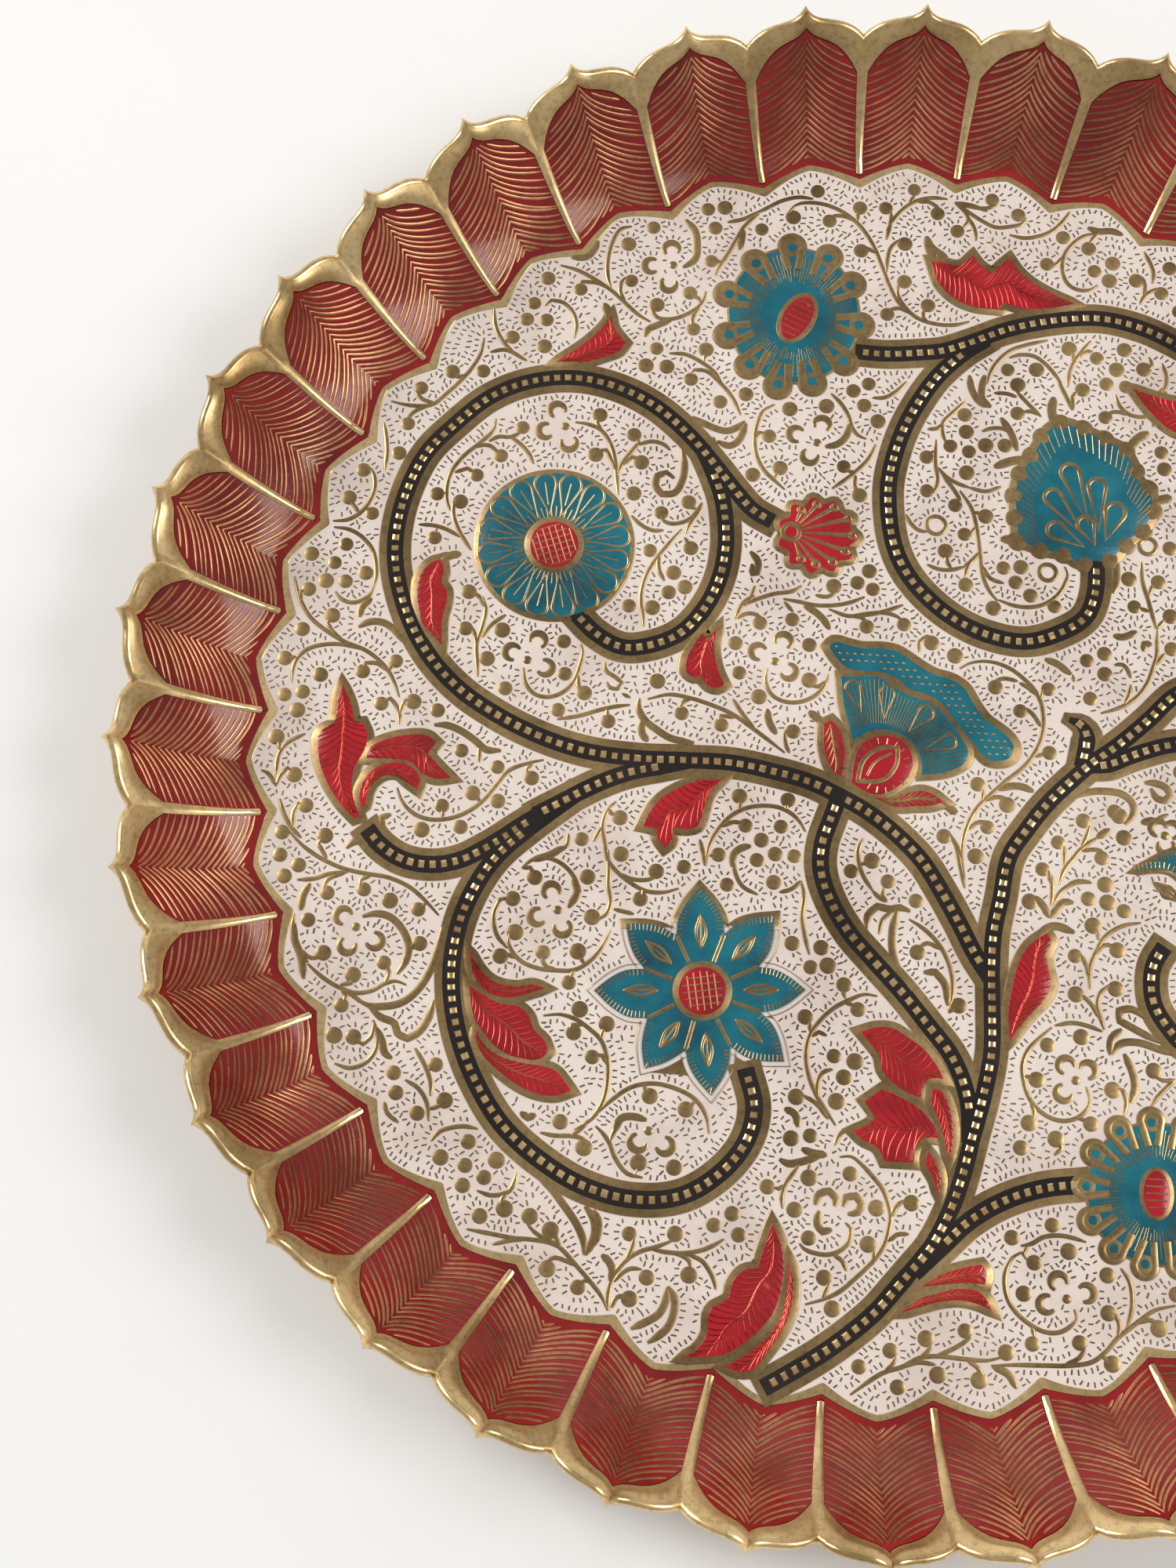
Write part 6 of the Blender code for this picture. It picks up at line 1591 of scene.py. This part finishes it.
def stems_of(part):
    """Stems of one part of the scrollwork, each with its half width."""
    return [(shape, half) for kind, half in (("stems", STEM_HALF), ("thick", THICK_HALF))
            for shape in part.get(kind, ())]


def make_scrolls(blocked):
    """Stems, dots and florets as seen, and again turned or moved where they find room on the right."""
    stems, dots, florets = Relief(), Relief(), Relief()
    for part in SCROLLS.values():
        for shape, half in stems_of(part):
            stems.stroke(shape, half, STEM_TOP)
        for centre in part["dots"]:
            dots.dot(centre, DOT_RADIUS + random.uniform(-0.12, 0.12), STEM_TOP)
        for x, y, petals in part.get("florets", ()):
            draw_floret(florets, blocked, (x, y), petals)
        for x, y, radius in part.get("rings", ()):
            florets.line(ring((x, y), radius, count=24), 0.42, STEM_TOP, True)
            blocked.disc((x, y), radius + 0.5)
    for part in SCROLLS.values():
        for shape, half in stems_of(part):
            blocked.band(smooth(shape), half)
        for centre in part["dots"]:
            blocked.disc(centre, DOT_RADIUS)
    for turn, flip, move in REPEATS:
        for part in SCROLLS.values():
            fresh = []
            for x, y, petals in part.get("florets", ()):
                centre, *around = moved([(x, y), *petals], turn, flip, move)
                if centre[0] > SEEN_TO and blocked.free([centre], 4.4):
                    draw_floret(florets, blocked, centre, around)
            for shape, half in stems_of(part):
                shape = moved(shape, turn, flip, move)
                line = smooth(shape)
                if line[:, 0].min() > SEEN_TO - 1 and blocked.free(line[::2], half + 0.5):
                    stems.stroke(shape, half, STEM_TOP)
                    fresh.append((line, half))
            for centre in moved(part["dots"], turn, flip, move):
                if centre[0] > SEEN_TO and blocked.free([centre], 1.9):
                    dots.dot(centre, DOT_RADIUS, STEM_TOP)
                    blocked.disc(centre, DOT_RADIUS)
            for line, half in fresh:
                blocked.band(line, half)
    stems.make("scroll_stems", FLOOR_BRASS, "brass")
    dots.make("scroll_dots", FLOOR_BRASS, "brass")
    florets.make("scroll_florets", FLOOR_BRASS, "brass")


# Vines

def vine_width(line, half, tip):
    """Half widths along a vine: it narrows over its last stretch where it ends free."""
    if not tip:
        return np.full(len(line), half)
    left = np.linspace(len(line), 0, len(line)) * VINE_STEP
    return half * np.clip(VINE_TIP + left / VINE_TAPER, 0, 1)


def make_vines(blocked):
    borders, beads = Relief(), Relief()
    fillings = {"vine_enamel": Relief(), "vine_enamel_2": Relief()}
    lines = {name: smooth(points, VINE_STEP) for name, points in VINES.items()}
    for order, (name, line) in enumerate(lines.items()):
        tip = name in FREE_ENDS
        node = "vine_enamel_2" if name in SECOND_VINE else "vine_enamel"
        ends = [line[0] + unit_rows(line[0] - line[1]) * 1.3, line[-1] + unit_rows(line[-1] - line[-2]) * 1.3]
        cased = np.concatenate([ends[:1], line, ends[1:]])
        borders.line(cased, vine_width(cased, VINE_OUTER, tip), VINE_BORDER_TOP + 0.001 * order, crown=0.0)
        fillings[node].line(line, vine_width(line, VINE_HALF, tip), VINE_TOP + 0.002 * order, crown=0.01)
        blocked.band(line, VINE_OUTER)
        parents = list(lines.values())[:order]
        places, directions = along(line, BEAD_PITCH)
        for place, direction in zip(places[1:-1], directions[1:-1]):
            if any(np.linalg.norm(other - place, axis=1).min() < 1.5 for other in parents):
                continue
            beads.block(place, direction, BEAD_HALF * random.uniform(0.85, 1.0),
                        BEAD_HALF * random.uniform(0.98, 1.12), BEAD_TOP)
    borders.make("vine_borders", FLOOR_BRASS, "brass")
    beads.make("vine_beads", POLISHED, "brass")
    fillings["vine_enamel"].make("vine_black", BLACK, "black_enamel", ["vine_enamel"])
    fillings["vine_enamel_2"].make("vine_black_top", BLACK, "black_enamel", ["vine_enamel_2"])


# Flowers and leaves

LAYERS = itertools.count()


def motif(name, outline, material, slot, node=None, border=MOTIF_BORDER, blocked=None, corner=55, top=0.0):
    """Brass backing and enamel filling of one cell. Returns the smooth outline."""
    outline = smooth(outline, 0.8, True, corner)
    top += 0.0006 * next(LAYERS)
    edge = Relief()
    edge.patch(grown(outline, border), BORDER_TOP + top)
    edge.make(name + "_border", FLOOR_BRASS, "brass")
    filling = Relief()
    filling.patch(outline, ENAMEL_TOP + top)
    filling.make(name + "_filling", material, slot, [node or name + "_enamel"])
    if blocked:
        blocked.area(grown(outline, border + 0.1))
    return outline


def leaf_veins(relief, outline, pitch=1.15):
    """Herringbone lines from a curved spine to both edges of a leaf."""
    points = along(np.concatenate([outline, outline[:1]]), 0.5)[0][:-1]
    apart = np.linalg.norm(points[:, None] - points[None], axis=2)
    a, b = sorted(np.unravel_index(apart.argmax(), apart.shape))
    left = along(points[a:b + 1], 0.5)[0]
    right = along(np.concatenate([points[b:], points[:a + 1]])[::-1], 0.5)[0]
    count = max(5, round(apart[a, b] / pitch))
    share = np.linspace(0, 1, count)
    left = left[(share * (len(left) - 1)).round().astype(int)]
    right = right[(share * (len(right) - 1)).round().astype(int)]
    spine = (left + right) / 2
    relief.stroke(spine[1:-1], 0.22, LINE_TOP)
    for i in range(1, count - 2):
        for side in (left, right):
            ahead = side[min(i + 2, count - 2)]
            if np.linalg.norm(ahead - spine[i]) > 0.9:
                middle = (spine[i] * 0.45 + ahead * 0.55) + (spine[i + 1] - spine[i]) * 0.25
                relief.stroke([spine[i], middle, ahead], 0.15, LINE_TOP)


def make_leaves(blocked):
    spikes = Relief()
    for name, outline in ALL_LEAVES.items():
        outline = motif(name, outline, LEAF_RED, "red_enamel", blocked=blocked)
        veins = Relief()
        leaf_veins(veins, outline)
        veins.make(name + "_veins", VEIN_BRASS, "brass")
        for spike in SPIKES.get(name, ()):
            spikes.stroke(spike, 0.8, BORDER_TOP + 0.02)
            blocked.band(smooth(spike), 0.8)
    spikes.make("leaf_spikes", FLOOR_BRASS, "brass")


def drop(centre, tip, radius, count=22):
    """Closed outline of a drop: round about its centre, and pointed at its tip."""
    reach = math.dist(centre, tip)
    facing = math.atan2(tip[1] - centre[1], tip[0] - centre[0])
    touch = math.acos(min(0.95, radius / reach))
    angle = np.linspace(facing + touch, facing + 2 * math.pi - touch, count)
    arc = np.stack([centre[0] + radius * np.cos(angle), centre[1] + radius * np.sin(angle)], axis=1)
    return np.concatenate([arc, [tip]])


def draw_centre(name, centre, half_width, half_height, turn, border, node):
    """Raised red boss in a brass ring, with crossed brass lines on it."""
    outline = ring(centre, half_width, half_height, turn)
    motif(name, outline, LEAF_RED, "red_enamel", node, border, top=CENTRE_RISE)
    lines = Relief()
    span = max(half_width, half_height)
    tilt = math.radians(turn)
    axes = (np.array([math.cos(tilt), math.sin(tilt)]), np.array([-math.sin(tilt), math.cos(tilt)]))
    for along_axis, reach, across, width in ((axes[0], half_width, axes[1], half_height),
                                             (axes[1], half_height, axes[0], half_width)):
        if reach < 0.75 * width:
            continue
        steps = int(0.8 * reach / CENTRE_PITCH)
        for k in range(-steps, steps + 1):
            chord = 0.82 * width * math.sqrt(1 - (k * CENTRE_PITCH / reach) ** 2)
            middle = np.array(centre) + along_axis * k * CENTRE_PITCH
            lines.line(np.array([middle - across * chord, middle, middle + across * chord]), 0.17,
                       ENAMEL_TOP + CENTRE_RISE + 0.06)
    if span > 2:
        lines.make(name + "_lines", FEATHER_BRASS, "brass")


def draw_aster(name, outline, centre, loops, rays, loop_radius, blocked):
    """Teal flower: fine rays round a red boss, and a teal drop in a brass horseshoe round its edge."""
    centre = np.array(centre, float)
    back, filling, art = Relief(), Relief(), Relief()
    back.patch(grown(outline, 0.5), BORDER_TOP)
    filling.patch(outline, ENAMEL_TOP)
    blocked.area(grown(outline, 0.7))
    angles = []
    for place in np.array(loops, float):
        back.dot(place, loop_radius * 1.12, BORDER_TOP + 0.03, sides=20)
        blocked.disc(place, loop_radius * 1.2)
        facing = math.atan2(centre[1] - place[1], centre[0] - place[0])
        angles.append(facing + math.pi)
        turn = np.linspace(facing + 0.75, facing + 2 * math.pi - 0.75, 22)
        arc = place + loop_radius * 0.78 * np.stack([np.cos(turn), np.sin(turn)], axis=1)
        inward = np.array([math.cos(facing), math.sin(facing)])
        foot = place + inward * loop_radius * 1.9
        side = np.array([-inward[1], inward[0]]) * loop_radius * 0.35
        art.line(smooth(np.concatenate([[foot + side], arc[2:-2], [foot - side]]), 0.6, corner=180),
                 loop_radius * 0.27, LINE_TOP)
        filling.dot(place + inward * 0.3, loop_radius * 0.55, ENAMEL_TOP + 0.02)
    reach = np.linalg.norm(outline - centre, axis=1)
    heading = np.arctan2(outline[:, 1] - centre[1], outline[:, 0] - centre[0])
    order = np.argsort(heading)
    for k in range(rays):
        angle = 2 * math.pi * (k + random.uniform(-0.15, 0.15)) / rays - math.pi
        edge = np.interp(angle, heading[order], reach[order], period=2 * math.pi)
        near = min(abs((angle - other + math.pi) % (2 * math.pi) - math.pi) for other in angles)
        end = random.uniform(0.66, 0.72) if near * edge < loop_radius * 0.9 else random.uniform(0.86, 0.94)
        span = (random.uniform(0.48, 0.58), end)
        art.line(spoke(centre, edge * span[0], edge * span[1], angle), 0.11, LINE_TOP - 0.02)
    back.make(name + "_border", FLOOR_BRASS, "brass")
    filling.make(name + "_filling", TEAL, "teal_enamel", [name + "_enamel"])
    art.make(name + "_lines", FLOOR_BRASS, "brass")


def make_asters(blocked):
    north = (-22.6, 90.8)
    loops = [(-23.8, 106.5), (-16.1, 104.5), (-11.1, 98.6), (-9.1, 89.5), (-12.1, 81.1), (-18.6, 76.1),
             (-25.7, 75), (-31.8, 79.1), (-36.4, 85.6), (-36.8, 94.9), (-31.4, 102.4)]
    draw_aster("aster_north", ring((-23, 91), 13.4, 15.0), north, loops, 96, 2.75, blocked)
    draw_centre("aster_north_centre", (-22.2, 90.4), 5.2, 2.9, 65, 0.9, "aster_north_centre_enamel")
    bars = (-69.3, 37.8)
    motif("aster_bars", ring(bars, 15.3), TEAL, "teal_enamel", border=0.9, blocked=blocked)
    art = Relief()
    for k in range(16):
        angle = 2 * math.pi * (k + 0.5) / 16
        end = polar(bars, 13.2, angle)
        art.line(drop(end, polar(bars, 6.4, angle), 2.2), 0.27, LINE_TOP, True)
        art.line(spoke(bars, 8.6, 13.4, angle), 0.17, LINE_TOP)
    for k in range(48):
        angle = 2 * math.pi * k / 48
        art.line(spoke(bars, 6.0, 8.2, angle), HAIR_HALF, LINE_TOP - 0.02)
    art.make("aster_bars_lines", FLOOR_BRASS, "brass")
    draw_centre("aster_bars_centre", bars, 4.9, 4.9, 20, 1.2, "aster_bars_centre_enamel")
    for name, centre, radius, count, core in (("aster_south", (51.2, -83.4), 12.9, 13, (2.5, 4.2)),
                                              ("aster_north_east", (84, 38), 13.6, 13, (4.4, 4.4)),
                                              ("aster_south_east", (81, -71), 10.4, 11, (3.1, 3.1))):
        loops = [polar(centre, radius + 0.6, 2 * math.pi * (k + 0.4) / count) for k in range(count)]
        draw_aster(name, ring(centre, radius), centre, loops, 84, radius * 0.19, blocked)
        draw_centre(name + "_centre", centre, *core, 0, 0.8, name + "_centre_enamel")


def make_star(name, centre, tips, valley, core, blocked):
    """Flower of pointed petals, each with a leaf-shaped loop and short hatching inside its edges."""
    centre = np.array(centre, float)
    angles = [math.atan2(y - centre[1], x - centre[0]) for x, y in tips]
    outline = []
    for k, (tip, angle) in enumerate(zip(tips, angles)):
        following = angles[(k + 1) % len(tips)]
        gap = (following - angle) % (2 * math.pi)
        if gap > math.pi:
            gap -= 2 * math.pi
        reach = math.dist(tip, centre)
        next_reach = math.dist(tips[(k + 1) % len(tips)], centre)
        outline.append(tip)
        outline += [polar(centre, reach * share, angle + gap * turn) for share, turn in STAR_FLANK]
        outline.append(polar(centre, valley, angle + gap * 0.5))
        outline += [polar(centre, next_reach * share, angle + gap * (1 - turn))
                    for share, turn in STAR_FLANK[::-1]]
    outline = motif(name, outline, TEAL, "teal_enamel", border=1.0, blocked=blocked, corner=40)
    art = Relief()
    for tip, angle in zip(tips, angles):
        reach = math.dist(tip, centre)
        side = np.array([-math.sin(angle), math.cos(angle)])
        ahead = np.array([math.cos(angle), math.sin(angle)])
        middle = centre + ahead * reach * 0.56
        loop = [middle - ahead * 3, middle + side * 0.95, middle + ahead * 3.4, middle - side * 0.95]
        art.line(smooth(loop, 0.6, True, 100), 0.3, LINE_TOP, True)
        art.line(np.array([middle - ahead * 2.4, middle + ahead * 2.6]), 0.22, LINE_TOP)
    for k, angle in enumerate(angles):
        following = angles[(k + 1) % len(tips)]
        gap = (following - angle + math.pi) % (2 * math.pi) - math.pi
        art.line(spoke(centre, core + 1.4, valley - 0.2, angle + gap / 2), 0.42, LINE_TOP)
    places, directions = along(np.concatenate([outline, outline[:1]]), 0.8)
    turn = 1 if area_of(outline) > 0 else -1
    for place, direction in zip(places, directions):
        inward = turn * np.array([-direction[1], direction[0]])
        art.line(np.array([place + inward * 0.1, place + inward * 1.25]), HAIR_HALF, LINE_TOP - 0.02)
    art.make(name + "_lines", FLOOR_BRASS, "brass")


def make_fan(blocked):
    """Half-open flower in the middle: dotted band, ribbed bell, red disc and two red petals."""
    band = motif("fan_band", FAN["band"], TEAL, "teal_enamel", border=1.5, blocked=blocked)
    bell = motif("fan_ribs", FAN["ribs"], TEAL, "teal_enamel", border=1.2, blocked=blocked)
    art = Relief()
    dots = Relief()
    low, high = band.min(axis=0), band.max(axis=0)
    inner = grown(band, -0.75)
    for row, y in enumerate(np.arange(low[1], high[1], 1.35)):
        xs = np.arange(low[0] + (0.75 if row % 2 else 0), high[0], 1.5)
        rows = np.stack([xs, np.full(xs.shape, y)], axis=1)
        for place in rows[inside(inner, rows)]:
            dots.dot(place, 0.34, LINE_TOP, sides=8)
    dots.make("fan_band_dots", FLOOR_BRASS, "brass")
    heart = (-3.0, -4.0)
    clip = grown(bell, -0.3)
    for angle in np.arange(-20, 130, 3.0):
        ray = ray_points(heart, angle, 8.6, 20)
        for start, stop in runs_of(inside(clip, ray)):
            if stop - start > 1:
                art.line(ray[start:stop], 0.11, LINE_TOP)
    for knot in ((-8.4, 11.6), (-1.6, 10.8), (6.2, 7.2), (10.8, 1.6)):
        facing = math.atan2(heart[1] - knot[1], heart[0] - knot[0])
        art.line(drop(knot, polar(knot, 5.4, facing), 1.5), 0.24, LINE_TOP + 0.02, True)
    art.make("fan_ribs_lines", FLOOR_BRASS, "brass")
    motif("fan_disc", FAN["disc"], LEAF_RED, "red_enamel", border=1.1, blocked=blocked, top=0.02)
    eye = Relief()
    lid = [(-7, -7.5), (-5.8, -3), (-3, -0.7), (0.8, 0), (0.6, -3.6), (-1.8, -6.8)]
    eye.line(smooth(lid, 0.6, True, 60), 0.5, LINE_TOP, True)
    eye.line(smooth([(-5.2, -6.2), (-3.6, -3.4), (-0.4, -1.4)], 0.6), 0.3, LINE_TOP)
    for angle in range(0, 360, 20):
        eye.line(spoke((-2.2, -4), 4.4, 5.6, math.radians(angle)), 0.17, LINE_TOP)
    eye.make("fan_disc_lines", FLOOR_BRASS, "brass")
    spikes = {"left": [(-12.6, 3), (-14.8, 4.6), (-16.9, 6.2)],
              "right": [(8.4, -9.8), (10.8, -11.4), (12.4, -12.8)]}
    for side, spike in spikes.items():
        name = "fan_petal_" + side
        outline = motif(name, FAN[side], LEAF_RED, "red_enamel", blocked=blocked)
        veins = Relief()
        leaf_veins(veins, outline)
        veins.stroke(spike, 0.8, BORDER_TOP)
        veins.make(name + "_veins", FLOOR_BRASS, "brass")


def make_palmette(blocked):
    """Flower of drops that point at its foot, with rays at its edge, lobes round it and five spikes."""
    outline = motif("palmette", PALMETTE, TEAL, "teal_enamel", border=1.5, blocked=blocked)
    art = Relief()
    foot = np.array((40.5, 42.0))
    for x, y, radius in ((34.4, 59.6, 1.9), (39.9, 56.8, 1.8), (31, 54, 1.8),
                         (43.6, 51.6, 2.0), (37.6, 48.6, 1.7), (31.6, 47, 1.8)):
        place = np.array((x, y))
        art.line(drop(place, place + (foot - place) * 0.62, radius), 0.42, LINE_TOP, True)
    for angle in np.arange(20, 185, 3.2):
        ray = ray_points(foot, angle, 10, 34)
        keep = np.flatnonzero(inside(grown(outline, -0.2), ray))
        if len(keep) > 8:
            art.line(ray[keep[-9:]], 0.14, LINE_TOP - 0.02)
    lobes = Relief()
    for place in along(np.concatenate([outline, outline[:1]]), 4.9)[0][:-1]:
        lobes.dot(place, 2.2, BORDER_TOP + 0.02, sides=18)
        blocked.disc(place, 2.2)
    lobes.make("palmette_lobes", FLOOR_BRASS, "brass")
    for spike in ([(27, 62), (23, 61.6), (19, 60)], [(46, 65), (48, 67.8), (50.4, 69.4)],
                  [(50.6, 54), (53, 55), (55, 55.5)], [(24.4, 45.4), (22.4, 44.6), (20.5, 44.5)],
                  [(31.4, 69.5), (30.6, 73), (31, 76)]):
        art.stroke(spike, 0.9, BORDER_TOP)
        blocked.band(smooth(spike), 0.9)
    for x, y in ((30, 38), (50.1, 44.8)):
        art.line(ring((x, y), 1.7, count=24), 0.45, STEM_TOP, True)
        blocked.disc((x, y), 2.5)
    art.make("palmette_lines", FLOOR_BRASS, "brass")


def make_bud(blocked):
    """Round red flower with a scalloped edge, and rays that end in small rings."""
    lobes = [polar(BUD_CENTRE, BUD_RADIUS + BUD_SCALLOP * math.cos(BUD_LOBES * a), a)
             for a in np.linspace(0, 2 * math.pi, 8 * BUD_LOBES + 1)[:-1]]
    outline = motif("bud", lobes, LEAF_RED, "red_enamel", border=1.1, blocked=blocked)
    art = Relief()
    foot = (-21.8, 43.4)
    for k in range(9):
        ray = ray_points(foot, -68 + 17 * k, 2.4, 16, 0.4)
        for start, stop in runs_of(inside(grown(outline, -0.7), ray)):
            if stop - start > 4:
                art.line(ray[start:stop], np.linspace(0.22, 0.5, stop - start), LINE_TOP)
                art.line(ring(ray[stop - 1], 0.75, count=14), 0.25, LINE_TOP, True)
    art.line(ring(foot, 1.7, count=24), 0.5, LINE_TOP, True)
    art.make("bud_lines", FLOOR_BRASS, "brass")


def repeated(source, middle, centre, turn, flipped):
    """An outline again, about another centre."""
    angle = math.radians(turn)
    outline = []
    for x, y in LEAVES[source]:
        x = middle[0] - x if flipped else x - middle[0]
        y -= middle[1]
        outline.append((centre[0] + x * math.cos(angle) - y * math.sin(angle),
                        centre[1] + x * math.sin(angle) + y * math.cos(angle)))
    return outline


ALL_LEAVES = {**LEAVES, **{name: repeated(*how) for name, how in REPEATED_LEAVES.items()}}


# Studio

def make_floor():
    """A pale sheet under the tray, turned up far behind it into a backdrop."""
    z = CAD_BOX[0].z - 0.0003
    rows = [(-SHEET_HALF, z), (SHEET_HALF, z)]
    rows += [(SHEET_HALF + SHEET_BEND * math.sin(a), z + SHEET_BEND * (1 - math.cos(a)))
             for a in np.linspace(0.15, math.pi / 2, 9)]
    rows.append((SHEET_HALF + SHEET_BEND, z + SHEET_RISE))
    points = [(x, y, height) for y, height in rows for x in (-SHEET_HALF, SHEET_HALF)]
    faces = [(2 * i, 2 * i + 1, 2 * i + 3, 2 * i + 2) for i in range(len(rows) - 1)]
    mesh = bpy.data.meshes.new("floor")
    mesh.from_pydata(points, [], faces)
    surface = Surface("paper", Roughness=0.85, Specular_IOR_Level=0.2)
    greys = [(0.3, (0.86, 0.86, 0.86)), (0.7, (0.89, 0.89, 0.89))]
    surface.set("Base Color", surface.ramp(surface.noise(6, 3), greys))
    mesh.materials.append(surface.material)
    floor = bpy.data.objects.new("floor", mesh)
    bpy.context.scene.collection.objects.link(floor)


def add_light(name, azimuth, elevation, distance, size, power, colour):
    """A soft light that faces the tray. Azimuth 0 is +Y, and 90 is +X."""
    light = bpy.data.lights.new(name, "AREA")
    light.shape = "DISK"
    light.size = size
    light.energy = power
    light.color = colour
    lamp = bpy.data.objects.new(name, light)
    a, e = math.radians(azimuth), math.radians(elevation)
    where = Vector((math.sin(a) * math.cos(e), math.cos(a) * math.cos(e), math.sin(e))) * distance
    lamp.matrix_world = Matrix.Translation(where) @ where.to_track_quat("Z", "Y").to_matrix().to_4x4()
    bpy.context.scene.collection.objects.link(lamp)


def make_studio():
    bpy.context.scene.view_settings.view_transform = "Standard"
    world = bpy.data.worlds.new("studio")
    bpy.context.scene.world = world
    world.use_nodes = True
    background = world.node_tree.nodes["Background"]
    background.inputs["Color"].default_value = (1, 0.99, 0.98, 1)
    background.inputs["Strength"].default_value = 0.42
    add_light("key", azimuth=295, elevation=38, distance=3.2, size=1.6, power=64, colour=(1, 0.99, 0.97))
    add_light("fill", azimuth=90, elevation=42, distance=3.4, size=1.8, power=46, colour=(1, 0.98, 0.96))


def make_camera():
    """The view leans a little from straight above, with the tray's right third out of the frame."""
    lens = bpy.data.cameras.new("camera")
    lens.sensor_fit = "VERTICAL"
    lens.sensor_height = 36
    lens.lens = FOCAL_LENGTH
    lens.clip_start = 0.01
    turn = Matrix.Identity(3)
    for axis, degrees in CAMERA_TURNS:
        turn = turn @ Matrix.Rotation(math.radians(degrees), 3, axis)
    away = Vector(CAMERA_AWAY) * TIP_RADIUS * UNIT
    camera = bpy.data.objects.new("camera", lens)
    back = turn.transposed()
    where = Vector((0, 0, LAND * UNIT)) - back @ away
    camera.matrix_world = Matrix.Translation(where) @ back.to_4x4()
    bpy.context.scene.collection.objects.link(camera)
    bpy.context.scene.camera = camera


def main():
    make_camera()
    make_plate()
    make_rim_red()
    make_feathers()
    make_ground()
    blocked = Blocked()
    make_vines(blocked)
    make_leaves(blocked)
    make_fan(blocked)
    make_palmette(blocked)
    make_bud(blocked)
    make_asters(blocked)
    make_star("star_flower", STAR_CENTRE, STAR_TIPS, 11.8, 4.6, blocked)
    draw_centre("star_flower_centre", STAR_CENTRE, 4.6, 4.6, 10, 1.2, "star_flower_centre_enamel")
    make_star("east_flower", (62, -31), EAST_TIPS, 8.6, 3.0, blocked)
    make_scrolls(blocked)
    make_dashes(blocked)
    make_floor()
    make_studio()


main()
